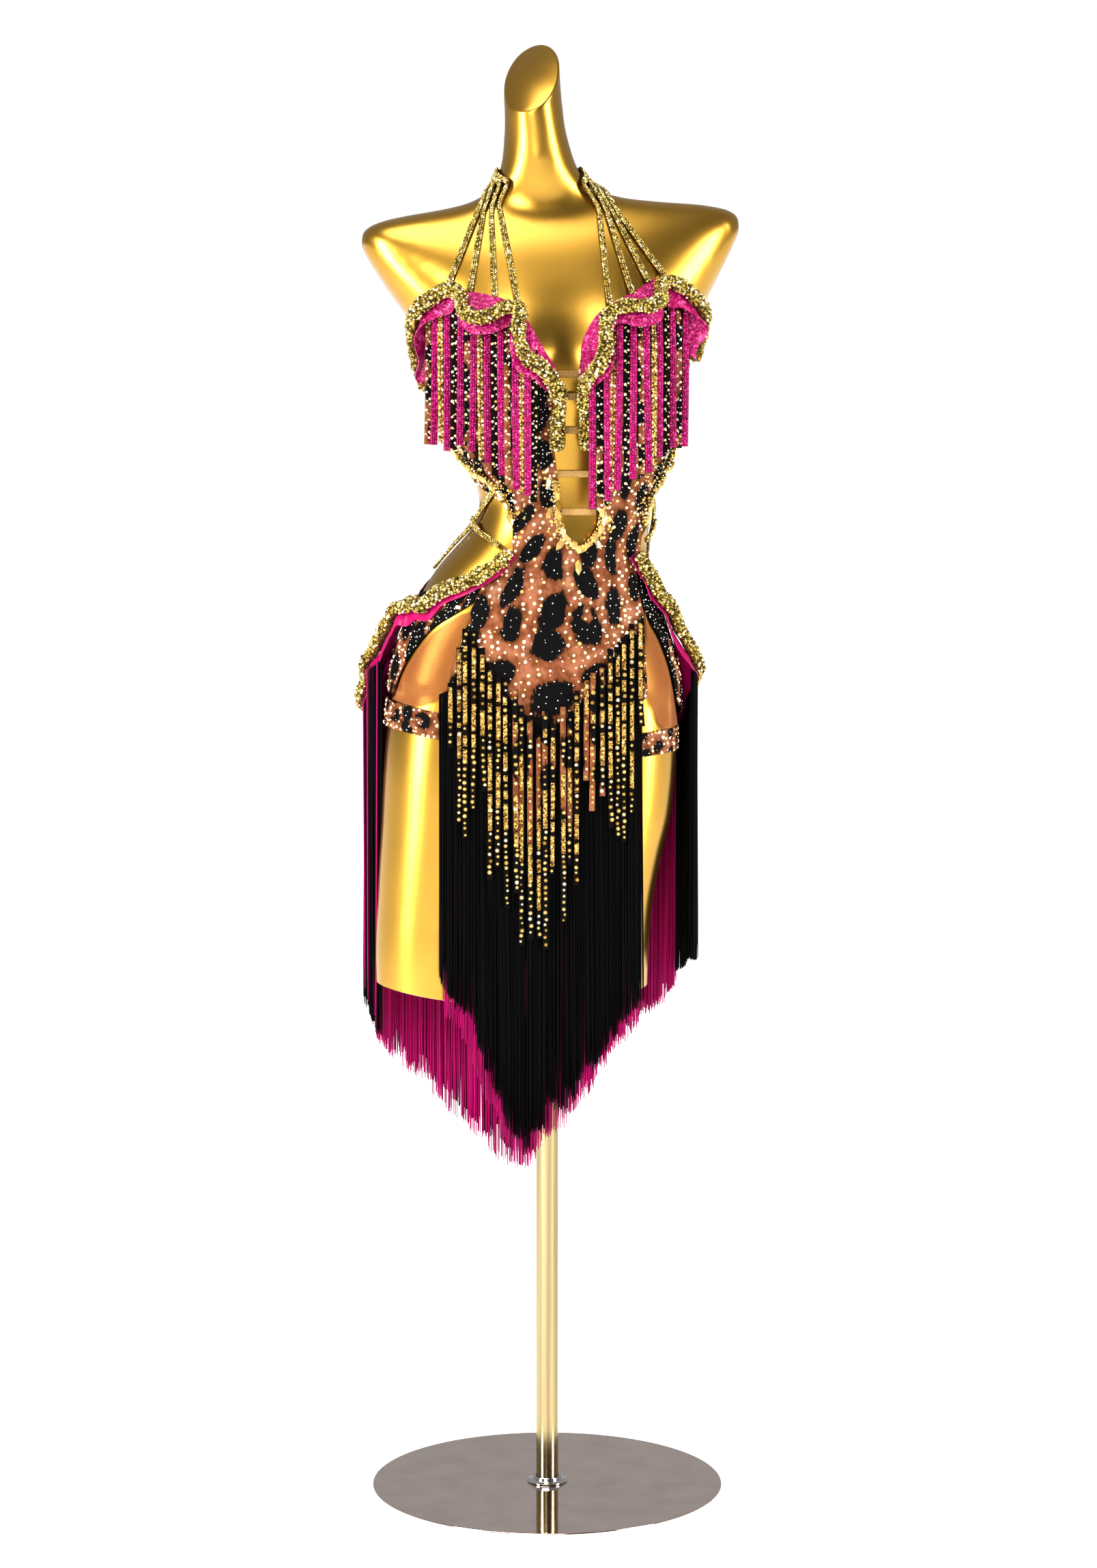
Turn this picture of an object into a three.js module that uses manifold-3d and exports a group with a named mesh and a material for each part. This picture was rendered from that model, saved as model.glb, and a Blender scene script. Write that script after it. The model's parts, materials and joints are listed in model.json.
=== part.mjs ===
// A latin dance dress on a slant-necked display form, standing on a pole and a round base plate.
// Millimetres, +Z up, the front faces -Y, +X is on the right as seen from the front.
// The origin is the centre of the base plate's underside. Angles on the body run in degrees from
// the centre front: +90 is the right-hand side as seen from the front, -90 the left, 180 the back.
import * as THREE from 'three';
import { mergeVertices } from 'three/addons/utils/BufferGeometryUtils.js';
import Module from 'manifold-3d';

const wasm = await Module();
wasm.setup();

// ---------------------------------------------------------------- driving sizes
const BASE = { diameter: 395, thickness: 6, edge: 1.2, sides: 36 };
const COLLAR = { diameter: 46, height: 7, bore: 26.2 };
const POLE = { diameter: 25, top: 905, socketTop: 906, socketDiameter: 26 };
const YAW = THREE.MathUtils.degToRad(7); // the form is turned a little to the right

const CLOTH = 1.2; // wall of a sewn panel
const SATIN = 1.2; // wall of a flounce
const SKIN_GAP = 1.2; // clear of the form
const SEAM = 0.4; // between two panels that are sewn edge to edge
const CUP_EASE = 4.4; // more room over the fullest part of the cups
const OVER_CLOTH = SKIN_GAP + CLOTH + 0.8; // where the next layer starts

const ROPE = { bust: 5.4, hip: 5.4, sides: 5, bustGap: 1.6, hipGap: 0.9 };
const TRIM = { plunge: 3.2, side: 2.9, sides: 5 };
const STRAP = { neck: 5, side: 5.5, cross: 7, thickness: 2, elastic: 1.1, gap: 1.8 };
const NECK_BAND = { width: 9, z: 1468, thickness: 2 };
const BACK_BAND = { width: 24, z: 1216 };

// ---------------------------------------------------------------- the body
// Sections of the trunk and neck. half, front and back are half-sizes about (cx, cy); power is the
// superellipse's exponent; roll and pitch tilt the section: z rises by roll per mm in x, pitch in y.
const TRUNK = table(['z', 'cx', 'cy', 'half', 'front', 'back', 'power', 'roll', 'pitch'], [
  [845, -15, 4, 162, 80, 88, 2.8, -0.05, 0],
  [880, -15, 4, 162, 82, 93, 2.7, -0.05, 0],
  [905, -14, 3, 161, 83, 97, 2.6, -0.05, 0],
  [940, -12, 2, 155, 84, 101, 2.4, -0.05, 0],
  [960, -11, 1, 149, 84, 101, 2.3, -0.05, 0],
  [983, -10, 0, 140, 84, 97, 2.2, -0.04, 0],
  [1018, -7, 0, 126, 82, 87, 2.2, -0.03, 0],
  [1040, -3, 0, 116, 79, 79, 2.2, -0.02, 0],
  [1060, 4, 0, 106, 76, 73, 2.2, -0.01, 0],
  [1082, 14, 0, 98, 73, 67, 2.2, 0, 0],
  [1103, 20, 0, 95, 71, 64, 2.2, 0, 0],
  [1122, 22, 0, 98, 71, 64, 2.2, 0.005, 0],
  [1145, 22, 0, 106, 73, 66, 2.2, 0.01, 0],
  [1180, 19, 1, 118, 78, 72, 2.2, 0.02, 0],
  [1220, 17, 3, 129, 84, 79, 2.2, 0.03, 0],
  [1262, 15, 5, 140, 87, 84, 2.2, 0.04, 0],
  [1300, 12, 7, 153, 84, 85, 2.3, 0.047, 0],
  [1340, 8, 9, 176, 74, 80, 2.5, 0.047, 0],
  [1365, 6, 10, 191, 65, 73, 2.7, 0.047, 0],
  [1385, 5, 11, 202, 57, 66, 2.8, 0.047, 0],
  [1404, 4, 12, 210, 48, 58, 2.8, 0.047, 0],
  [1416, 4, 13, 208, 41, 51, 2.7, 0.047, 0],
  [1424, 4, 13, 193, 36, 46, 2.5, 0.047, 0],
  [1430, 3, 13, 163, 33, 42, 2.3, 0.047, 0],
  [1435, 1, 13, 118, 33, 41, 2.1, 0.045, 0],
  [1441, -2, 12, 84, 37, 42, 2, 0.04, 0],
  [1449, -5, 11, 64, 40, 43, 2, 0.03, 0],
  [1460, -7, 9, 51, 41, 42, 2, 0.02, 0],
  [1474, -9, 7, 43, 41, 41, 2, 0.01, 0],
  [1494, -11, 5, 37.5, 40, 40, 2, 0, 0],
  [1524, -14, 2, 33, 39, 39, 2, 0, 0],
  [1570, -17, 0, 30.5, 38, 38, 2, 0.45, 1.05],
]);
const TRUNK_TOP = 1570;
const TRUNK_FULL = 905; // below this the trunk rounds in to its floor
const FLOOR_DEPTH = 25;

// Two bust mounds that the cups are cut for.
const BUST = { aside: 62, z: 1258, height: 32, width: 44, above: 50, below: 40 };

// Sections of the two short thighs, turned with the trunk.
const THIGH_COLUMNS = ['z', 'cx', 'cy', 'half', 'front', 'back', 'roll'];
const THIGHS = {
  left: table(THIGH_COLUMNS, [
    [930, -91, -9, 68, 62, 76, 0],
    [905, -94, -9, 76, 68, 82, 0],
    [880, -96.5, -10, 78.5, 70, 82, 0],
    [835, -99.5, -11, 80.5, 70, 79, 0],
    [760, -108, -12, 76, 68, 73, 0],
    [680, -117, -13, 71.5, 65, 68, 0],
    [604, -123.5, -14, 68, 62, 64, 0],
    [576, -125, -14, 66.5, 61, 62, -0.17],
    [570, -125, -14, 63, 58, 59, -0.17],
  ]),
  right: table(THIGH_COLUMNS, [
    [930, 66, 9, 62, 58, 74, 0],
    [905, 72, 9, 68, 62, 80, 0],
    [880, 80, 9, 63.5, 63, 79, 0],
    [835, 81, 8, 62.5, 62, 76, 0],
    [770, 78.5, 6, 60, 60, 72, 0],
    [720, 73, 4, 54.5, 59, 70, 0],
    [660, 67.5, 2, 49.5, 58, 67, 0],
    [604, 65.5, 0, 47.5, 57, 63, 0],
    [576, 65.5, 0, 46, 56, 61, 0.12],
    [570, 65.5, 0, 43, 53, 58, 0.12],
  ]),
};

// ---------------------------------------------------------------- pattern lines, seen from the front
// Cup tops and their flounces, from the plunge to the underarm. root is where the flounce is sewn,
// rope the beaded roll on it, out the roll's distance from the body, drop how far the satin's free
// edge hangs below the roll. An x beyond the body's edge means the side of the body.
const BUST_COLUMNS = ['rootX', 'rootZ', 'ropeX', 'ropeZ', 'out', 'drop'];
const BUST_FLOUNCE = {
  left: table(BUST_COLUMNS, [
    [12, 1222, 12, 1205, 15, 6],
    [14, 1238, 13, 1226, 16, 7],
    [8, 1256, 6, 1240, 17, 9],
    [-3, 1274, -6, 1255, 20, 11],
    [-12, 1290, -22, 1268, 23, 12],
    [-20, 1304, -31, 1284, 26, 12],
    [-27, 1316, -31, 1302, 25, 14],
    [-36, 1324, -30, 1318, 20, 9],
    [-48, 1330, -44, 1320, 21, 11],
    [-62, 1334, -62, 1311, 27, 11],
    [-76, 1337, -78, 1309, 30, 10],
    [-87, 1340, -91, 1320, 26, 11],
    [-95, 1343, -93, 1334, 18, 16],
    [-106, 1344, -106, 1341, 15, 20],
    [-120, 1336, -128, 1329, 16, 18],
    [-132, 1320, -143, 1313, 15, 15],
    [-133, 1300, -145, 1294, 14, 12],
    [-131, 1280, -142, 1272, 14, 10],
    [-128, 1260, -138, 1251, 14, 8],
    [-124, 1244, -133, 1233, 14, 6],
  ]),
  right: table(BUST_COLUMNS, [
    [41, 1218, 42, 1204, 16, 6],
    [38, 1234, 39, 1220, 17, 7],
    [36, 1250, 40, 1237, 16, 9],
    [36, 1264, 47, 1249, 19, 11],
    [37, 1280, 57, 1262, 24, 12],
    [42, 1294, 63, 1278, 27, 13],
    [48, 1305, 63, 1296, 25, 11],
    [57, 1316, 66, 1312, 21, 11],
    [68, 1324, 76, 1321, 21, 12],
    [82, 1332, 92, 1322, 25, 13],
    [95, 1339, 108, 1322, 28, 13],
    [105, 1346, 121, 1328, 25, 12],
    [113, 1351, 123, 1339, 18, 14],
    [122, 1355, 124, 1349, 15, 18],
    [136, 1353, 139, 1348, 15, 21],
    [146, 1340, 156, 1337, 16, 19],
    [152, 1322, 169, 1319, 17, 17],
    [152, 1304, 170, 1302, 16, 14],
    [150, 1288, 164, 1284, 14, 11],
    [147, 1274, 159, 1266, 13, 8],
  ]),
};
// The beaded roll runs on below the flounce along the plunge.
const ROPE_TAIL = {
  left: table(['x', 'z', 'out'], [[10.5, 1168, 9], [11.5, 1186, 10]]),
  right: table(['x', 'z', 'out'], [[44, 1170, 9], [42, 1187, 11]]),
};

const PLUNGE = {
  left: table(['x', 'z'], [[8, 1256], [14, 1236], [11, 1206], [8, 1166], [11, 1138], [13, 1111],
    [15, 1090], [21, 1074], [31, 1066], [33.6, 1061]]),
  right: table(['x', 'z'], [[36, 1256], [34, 1237], [38, 1217], [45, 1182], [50, 1160], [53, 1124],
    [55, 1105], [55, 1090], [49, 1077], [40, 1068], [34.4, 1061]]),
};
// Outer edge of each half of the bodice below the underarm, down to the waist.
const BODICE_SIDE = 97; // degrees from the centre front
const BODICE_EDGE = {
  left: table(['x', 'z'], [[-200, 1190], [-96, 1168], [-78, 1146], [-58, 1131], [-45, 1112],
    [-38, 1092], [-37, 1061]]),
  right: table(['x', 'z'], [[200, 1186], [135, 1170], [127, 1146], [115, 1126], [107, 1108],
    [103, 1085], [100, 1061]]),
};
const WAIST_SEAM = 1060;

// Edges of the front panel below the waist seam, and its pointed lower edge.
const FRONT_EDGE = {
  left: table(['x', 'z'], [[-37, 1060], [-48, 1048], [-61, 1034], [-74, 1014], [-84, 990],
    [-91, 965], [-101, 933], [-108, 900]]),
  right: table(['x', 'z'], [[100, 1060], [96, 1041], [98, 1017], [104, 989], [106, 952],
    [106, 900]]),
};
const FRONT_HEM = table(['x', 'z'], [[-108, 900], [-80, 880], [-45, 862], [-5, 849], [40, 862],
  [80, 882], [106, 900]]);

// Seat panel: top edge and leg openings, by angle round the body.
const SEAT_TOP = table(['angle', 'z'], [[-118, 1030], [-150, 1037], [-180, 1039], [-210, 1037],
  [-242, 1030]]);
const SEAT_TOP_SIDE = {
  left: table(['x', 'z'], [[-58, 1040], [-76, 1034], [-101, 1026], [-121, 1017], [-200, 1013]]),
  right: table(['x', 'z'], [[98.5, 1044], [104, 1034], [112, 1022], [118, 1015], [200, 1012]]),
};
const LEG_OPENING = {
  left: table(['x', 'z'], [[-80, 1002], [-97, 993], [-122, 977], [-141, 956], [-153, 938],
    [-161, 921], [-167, 904]]),
  right: table(['x', 'z'], [[103, 996], [112, 981], [121, 965], [128, 948], [134, 930],
    [138, 912], [141, 894]]),
};
const SEAT_BOTTOM = table(['angle', 'z'], [[-100, 901], [-130, 893], [-180, 886], [-230, 876],
  [-258, 880]]);

// Leg bands: middle height of the top and bottom edges at the thigh's centre, and their slope.
const LEG_BAND = {
  left: { top: 880, bottom: 851, roll: -0.2 },
  right: { top: 857, bottom: 831, roll: 0.11 },
};
const BAND_GAP = 1; // clear of the thigh
const SEAT_GAP = 1.5; // the seat panel has more room than the front

// Hip flounces from the waist to the centre back.
const HIP_FRONT = {
  left: table(BUST_COLUMNS, [
    [-40, 1061, -40, 1060, 13, 6],
    [-50, 1052, -49, 1050, 13, 7],
    [-61, 1044, -61, 1041, 13, 8],
    [-78, 1037, -79, 1031, 13, 8],
    [-98, 1028, -101, 1022, 13, 9],
    [-114, 1018, -121, 1013, 13, 10],
    [-127, 1006, -136, 1000, 13, 12],
  ]),
  right: table(BUST_COLUMNS, [
    [99, 1059, 99, 1056, 13, 7],
    [103, 1047, 106, 1043, 13, 8],
    [107, 1033, 114, 1029, 13, 8],
    [112, 1018, 122, 1013, 13, 9],
  ]),
};
const HIP_SIDE_COLUMNS = ['angle', 'rootZ', 'ropeZ', 'out', 'drop'];
const HIP_SIDE = {
  left: table(HIP_SIDE_COLUMNS, [
    [-73, 1000, 993, 13, 14],
    [-81, 993, 985, 15, 16],
    [-86, 985, 980, 20, 20],
    [-90, 976, 966, 19, 20],
    [-93, 968, 948, 21, 16],
    [-96, 961, 931, 24, 14],
    [-99, 954, 920, 29, 14],
    [-104, 947, 905, 26, 12],
    [-108, 941, 886, 34, 12],
    [-115, 937, 876, 37, 12],
    [-125, 934, 888, 32, 12],
    [-136, 931, 872, 35, 12],
    [-148, 929, 886, 31, 12],
    [-160, 927, 870, 33, 12],
    [-171, 926, 884, 29, 12],
    [-179, 925, 876, 30, 12],
  ]),
  right: table(HIP_SIDE_COLUMNS, [
    [74, 1002, 995, 14, 11],
    [79, 987, 975, 14, 16],
    [84, 974, 956, 18, 18],
    [87, 966, 944, 22, 18],
    [90, 959, 932, 24, 14],
    [93, 953, 919, 20, 14],
    [96, 948, 905, 17, 14],
    [100, 943, 889, 19, 14],
    [106, 939, 877, 20, 12],
    [114, 936, 866, 26, 12],
    [124, 933, 882, 30, 12],
    [135, 931, 868, 29, 12],
    [147, 929, 884, 29, 12],
    [159, 927, 870, 32, 12],
    [170, 926, 884, 29, 12],
    [179, 925, 876, 30, 12],
  ]),
};

// Straps. Neck straps run from the cup tops to one point on each side of the neck.
const NECK_STRAPS = {
  left: table(['x', 'z'], [[-104, 1352], [-82, 1347], [-57, 1342], [-33, 1334]]),
  right: table(['x', 'z'], [[66, 1335], [89, 1345], [106, 1357], [121, 1365]]),
};
const NECK_POINT = {
  left: { angle: -80, fan: 11, z: 1451, rise: 2.5 },
  right: { angle: 80, fan: 11, z: 1448, rise: 2.5 },
};
const CROSS_STRAPS = [1250, 1226, 1190, 1143, 1102];
const SIDE_STRAP = {
  left: table(['angle', 'z'], [[-58, 1124], [-74, 1106], [-84, 1086], [-93, 1062], [-103, 1034]]),
  right: table(['angle', 'z'], [[62, 1118], [76, 1104], [85, 1086], [94, 1062], [103, 1034]]),
};
const WAIST_STRAP = {
  left: table(['angle', 'z'], [[-84.5, 1091], [-64, 1079], [-47, 1070]]),
  right: table(['angle', 'z'], [[85.5, 1091], [70, 1079], [60, 1071]]),
};

// Fringes: root and bottom heights across the width, strand width and thickness.
const BUST_FRINGE = {
  left: { from: -124, to: -31, strands: 14,
    bottoms: table(['x', 'z'], [[-134, 1176], [-105, 1172], [-81, 1168], [-65, 1154], [-43, 1135],
      [-17, 1114], [-8, 1106]]) },
  right: { from: 62, to: 146, strands: 12,
    bottoms: table(['x', 'z'], [[51, 1106], [72, 1121], [97, 1139], [112, 1150], [128, 1168],
      [152, 1174]]) },
  width: 5.4, thickness: 1.6, hang: 9, rootBelow: 18, highest: 1296, strip: 7,
};
const GOLD_FRINGE = {
  from: -102, to: 100, strands: 21, width: 5.4, thickness: 1.5, strip: 6,
  roots: table(['x', 'z'], [[-106, 908], [-101, 926], [-92, 952], [-84, 972], [-76, 962], [-64, 941],
    [-45, 912], [-23, 886], [-3, 872], [21, 883], [50, 919], [72, 947], [90, 968], [98, 972],
    [104, 962]]),
  bottoms: table(['x', 'z'], [[-108, 815], [-96, 768], [-82, 732], [-68, 716], [-56, 690], [-48, 676],
    [-34, 650], [-23, 612], [-10, 640], [0, 622], [14, 642], [24, 690], [34, 698], [46, 742],
    [58, 716], [66, 762], [76, 750], [91, 735], [104, 800]]),
};
const SKIRT_FRINGE = {
  width: 4.2, thickness: 1.8, strip: 7, frontStrands: 24, frontPinkStrands: 17,
  backPinkStrands: 22,
  blackHem: table(['x', 'z'], [[-119, 590], [-100, 568], [-85, 538], [-66, 491], [-48, 452],
    [-35, 414], [-26, 400], [-9, 418], [1, 434], [29, 462], [38, 480], [69, 522], [104, 571]]),
  pinkHem: table(['x', 'z'], [[-119, 566], [-100, 544], [-85, 512], [-67, 466], [-48, 426],
    [-36, 392], [-27, 380], [-9, 404], [1, 418], [29, 448], [69, 508], [104, 560]]),
  backHem: table(['x', 'z'], [[-224, 574], [-201, 534], [-181, 497], [-158, 466], [-127, 433],
    [-95, 396], [-60, 362], [-27, 342], [1, 378], [31, 416], [73, 476], [105, 512], [131, 545],
    [160, 590]]),
};
const PINK_OUT = table(['angle', 'out'], [[-98, 12], [-112, 20], [-130, 24], [-180, 20], [-225, 15],
  [-245, 9], [-264, 6]]);

// ---------------------------------------------------------------- tables and curves
function table(columns, rows) {
  return rows.map((row) => Object.fromEntries(columns.map((name, i) => [name, row[i]])));
}

// Smooth value of a table's column at a place along another column, without overshoot.
function smoothAt(rows, along, name, place) {
  const xs = rows.map((row) => row[along]);
  const ys = rows.map((row) => row[name]);
  const rising = xs[xs.length - 1] > xs[0];
  if (!rising) {
    xs.reverse();
    ys.reverse();
  }
  const last = xs.length - 1;
  const x = THREE.MathUtils.clamp(place, xs[0], xs[last]);
  let i = 0;
  while (i < last - 1 && x > xs[i + 1]) i += 1;
  const step = (k) => (ys[k + 1] - ys[k]) / (xs[k + 1] - xs[k]);
  const slope = (k) => {
    if (k === 0) return step(0);
    if (k === last) return step(last - 1);
    const [before, after] = [step(k - 1), step(k)];
    return before * after <= 0 ? 0 : (2 * before * after) / (before + after);
  };
  const width = xs[i + 1] - xs[i];
  const t = (x - xs[i]) / width;
  const [t2, t3] = [t * t, t * t * t];
  return (2 * t3 - 3 * t2 + 1) * ys[i] + (t3 - 2 * t2 + t) * width * slope(i)
    + (3 * t2 - 2 * t3) * ys[i + 1] + (t3 - t2) * width * slope(i + 1);
}

function lineAt(rows, along, name, place) {
  const rising = rows[rows.length - 1][along] > rows[0][along];
  const sorted = rising ? rows : [...rows].reverse();
  const x = THREE.MathUtils.clamp(place, sorted[0][along], sorted[sorted.length - 1][along]);
  let i = 0;
  while (i < sorted.length - 2 && x > sorted[i + 1][along]) i += 1;
  const [a, b] = [sorted[i], sorted[i + 1]];
  return THREE.MathUtils.lerp(a[name], b[name], (x - a[along]) / (b[along] - a[along]));
}

// A smooth curve's points, a fixed number for each stop, so that lines with equal stops keep step.
function follow(points, perStop) {
  return new THREE.CatmullRomCurve3(points, false, 'centripetal')
    .getPoints((points.length - 1) * perStop);
}

// Points spread evenly along a smooth curve through the given ones.
function spread(points, count) {
  return new THREE.CatmullRomCurve3(points, false, 'centripetal').getSpacedPoints(count);
}

// ---------------------------------------------------------------- the body's surface
function section(row, angle, extra = 0) {
  const turn = THREE.MathUtils.degToRad(angle);
  const [sin, cos] = [Math.sin(turn), Math.cos(turn)];
  const power = 2 / (row.power ?? 2);
  const aside = Math.sign(sin) * row.half * Math.abs(sin) ** power;
  const depth = cos > 0 ? row.front : row.back;
  const forward = Math.sign(cos) * depth * Math.abs(cos) ** power + (cos > 0 ? extra(aside) : 0);
  const x = aside * Math.cos(YAW) + forward * Math.sin(YAW);
  const y = aside * Math.sin(YAW) - forward * Math.cos(YAW);
  const z = row.z + row.roll * x + (row.pitch ?? 0) * y;
  return new THREE.Vector3(row.cx + x, row.cy + y, z);
}

function rowAt(rows, z) {
  const row = { z };
  for (const name of Object.keys(rows[0])) {
    if (name === 'z') continue;
    const pick = name === 'roll' || name === 'pitch' ? lineAt : smoothAt;
    row[name] = pick(rows, 'z', name, z);
  }
  return row;
}

const trunkRows = new Map();
function trunkRow(z) {
  const key = Math.round(z * 100);
  if (!trunkRows.has(key)) trunkRows.set(key, rowAt(TRUNK, z));
  return trunkRows.get(key);
}

// How much of the mounds' full height stands at a place, 0 to 1.
function fullness(z, aside) {
  const rise = z - BUST.z;
  const tall = Math.exp(-((rise / (rise > 0 ? BUST.above : BUST.below)) ** 2));
  return tall * (Math.exp(-(((aside - BUST.aside) / BUST.width) ** 2))
    + Math.exp(-(((aside + BUST.aside) / BUST.width) ** 2)));
}

function trunkPoint(z, angle) {
  return section(trunkRow(z), angle, (aside) => BUST.height * fullness(z, aside));
}

// Outward normal of a surface given by a function of height and angle.
function normalAt(point, z, angle) {
  const up = point(z + 1, angle).sub(point(z - 1, angle));
  const round = point(z, angle + 1.5).sub(point(z, angle - 1.5));
  return round.cross(up).normalize();
}

// A point off the body's surface, at a section's height and an angle.
function skin(z, angle, out) {
  const aside = trunkRow(z).half * Math.sin(THREE.MathUtils.degToRad(angle));
  const ease = Math.abs(angle) < 90 ? CUP_EASE * Math.min(1, 4.5 * fullness(z, aside)) : 0;
  return trunkPoint(z, angle).addScaledVector(normalAt(trunkPoint, z, angle), out + ease);
}

// The angle and section height of the point that shows at (x, z) from the front.
function seen(x, z, out = 0) {
  let height = z;
  let angle = 0;
  for (let pass = 0; pass < 3; pass += 1) {
    let [low, high] = [-BODICE_SIDE, BODICE_SIDE];
    for (let i = 0; i < 22; i += 1) {
      angle = (low + high) / 2;
      if (skin(height, angle, out).x < x) low = angle;
      else high = angle;
    }
    height += z - skin(height, angle, out).z;
  }
  return { angle, z: height };
}

function onFront(x, z, out) {
  const at = seen(x, z, out);
  return skin(at.z, at.angle, out);
}

// Angle and height pairs of a pattern line that is given from the front.
function patternLine(rows) {
  return rows.map((row) => seen(row.x, row.z));
}

// ---------------------------------------------------------------- meshes
function closedMesh(vertices, faces) {
  const geometry = new THREE.BufferGeometry().setFromPoints(vertices);
  geometry.setIndex(faces.flat());
  return geometry;
}

// A closed solid through rings of the same number of points, capped at both ends.
function loft(rings) {
  const count = rings[0].length;
  const vertices = rings.flat();
  const faces = [];
  for (let i = 0; i + 1 < rings.length; i += 1) {
    for (let j = 0; j < count; j += 1) {
      const [a, b] = [i * count + j, i * count + ((j + 1) % count)];
      faces.push([a, b, b + count], [a, b + count, a + count]);
    }
  }
  const middle = (ring) => ring.reduce((sum, p) => sum.add(p), new THREE.Vector3())
    .divideScalar(count);
  const [start, end] = [vertices.length, vertices.length + 1];
  vertices.push(middle(rings[0]), middle(rings[rings.length - 1]));
  const top = (rings.length - 1) * count;
  for (let j = 0; j < count; j += 1) {
    const next = (j + 1) % count;
    faces.push([start, next, j], [end, top + j, top + next]);
  }
  return closedMesh(vertices, faces);
}

// A wall between an inner and an outer grid of points; round joins each row's ends.
function wall(inner, outer, round = false) {
  const [rows, columns] = [inner.length, inner[0].length];
  const vertices = [...inner.flat(), ...outer.flat()];
  const shift = rows * columns;
  const faces = [];
  const across = round ? columns : columns - 1;
  const at = (i, j) => i * columns + (j % columns);
  for (let i = 0; i + 1 < rows; i += 1) {
    for (let j = 0; j < across; j += 1) {
      const quad = [at(i, j), at(i, j + 1), at(i + 1, j + 1), at(i + 1, j)];
      const [a, b, c, d] = quad.map((k) => k + shift);
      faces.push([a, b, c], [a, c, d]);
      faces.push([quad[0], quad[2], quad[1]], [quad[0], quad[3], quad[2]]);
    }
  }
  const rim = (a, b) => faces.push([a, b, b + shift], [a, b + shift, a + shift]);
  for (let j = 0; j < across; j += 1) {
    rim(at(0, j), at(0, j + 1));
    rim(at(rows - 1, j + 1), at(rows - 1, j));
  }
  for (let i = 0; !round && i + 1 < rows; i += 1) {
    rim(at(i + 1, 0), at(i, 0));
    rim(at(i, columns - 1), at(i + 1, columns - 1));
  }
  return closedMesh(vertices, faces);
}

function toSolid(geometry) {
  const bare = new THREE.BufferGeometry();
  bare.setAttribute('position', geometry.getAttribute('position').clone());
  if (geometry.index) bare.setIndex(geometry.index.clone());
  const merged = mergeVertices(bare, 1e-3);
  const solid = new wasm.Manifold(new wasm.Mesh({
    numProp: 3,
    vertProperties: new Float32Array(merged.getAttribute('position').array),
    triVerts: new Uint32Array(merged.index.array),
  }));
  if (solid.volume() > 0) return solid;
  const index = merged.index.array;
  for (let i = 0; i < index.length; i += 3) [index[i + 1], index[i + 2]] = [index[i + 2], index[i + 1]];
  return toSolid(merged);
}

function toGeometry(solid) {
  const mesh = solid.getMesh();
  const count = mesh.numProp;
  const positions = new Float32Array(mesh.numVert * 3);
  for (let i = 0; i < mesh.numVert; i += 1) {
    positions.set(mesh.vertProperties.subarray(i * count, i * count + 3), i * 3);
  }
  const geometry = new THREE.BufferGeometry();
  geometry.setAttribute('position', new THREE.BufferAttribute(positions, 3));
  geometry.setIndex(new THREE.BufferAttribute(new Uint32Array(mesh.triVerts), 1));
  return geometry;
}

// Both ways round are tried, so that every solid's faces point out.
function facingOut(geometry) {
  return toGeometry(toSolid(geometry));
}

// A panel of cloth laid on the body: four edges of angle and height pairs, filled between.
function layPanel({ top, bottom, left, right, columns, rows, gap = () => SKIN_GAP }) {
  const edge = (line, count) => {
    const points = line.map((p) => new THREE.Vector3(p.angle * 2, p.z, 0));
    return new THREE.CatmullRomCurve3(points, false, 'centripetal').getSpacedPoints(count);
  };
  const [tops, bottoms] = [edge(top, columns), edge(bottom, columns)];
  const [lefts, rights] = [edge(left, rows), edge(right, rows)];
  const mix = (a, b, t) => a.clone().lerp(b, t);
  const grids = [[], []];
  for (let i = 0; i <= rows; i += 1) {
    const t = i / rows;
    const lines = [[], []];
    for (let j = 0; j <= columns; j += 1) {
      const s = j / columns;
      const corner = mix(mix(tops[0], tops[columns], s), mix(bottoms[0], bottoms[columns], s), t);
      const spot = mix(tops[j], bottoms[j], t).add(mix(lefts[i], rights[i], s)).sub(corner);
      const [angle, z] = [spot.x / 2, spot.y];
      const out = gap(z);
      lines[0].push(skin(z, angle, out));
      lines[1].push(skin(z, angle, out + CLOTH));
    }
    grids[0].push(lines[0]);
    grids[1].push(lines[1]);
  }
  return wall(grids[0], grids[1]);
}

// A strip or roll along a path: each stop has its own middle, outward normal and section.
function sweep(path, normals, outline) {
  const rings = path.map((point, i) => {
    const before = path[Math.max(i - 1, 0)];
    const after = path[Math.min(i + 1, path.length - 1)];
    const along = after.clone().sub(before).normalize();
    const across = normals[i].clone().cross(along).normalize();
    const up = along.clone().cross(across).normalize();
    return outline(i / (path.length - 1)).map(([a, b]) => point.clone()
      .addScaledVector(across, a).addScaledVector(up, b));
  });
  return loft(rings);
}

function bar(width, thickness) {
  const [w, t] = [width / 2, thickness / 2];
  return () => [[-w, -t], [w, -t], [w, t], [-w, t]];
}

function roll(radius, sides) {
  return (share) => {
    const taper = Math.min(1, 0.55 + 6 * Math.min(share, 1 - share));
    return Array.from({ length: sides }, (_, k) => {
      const turn = (2 * Math.PI * k) / sides;
      return [radius * taper * Math.cos(turn), radius * taper * Math.sin(turn)];
    });
  };
}

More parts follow.
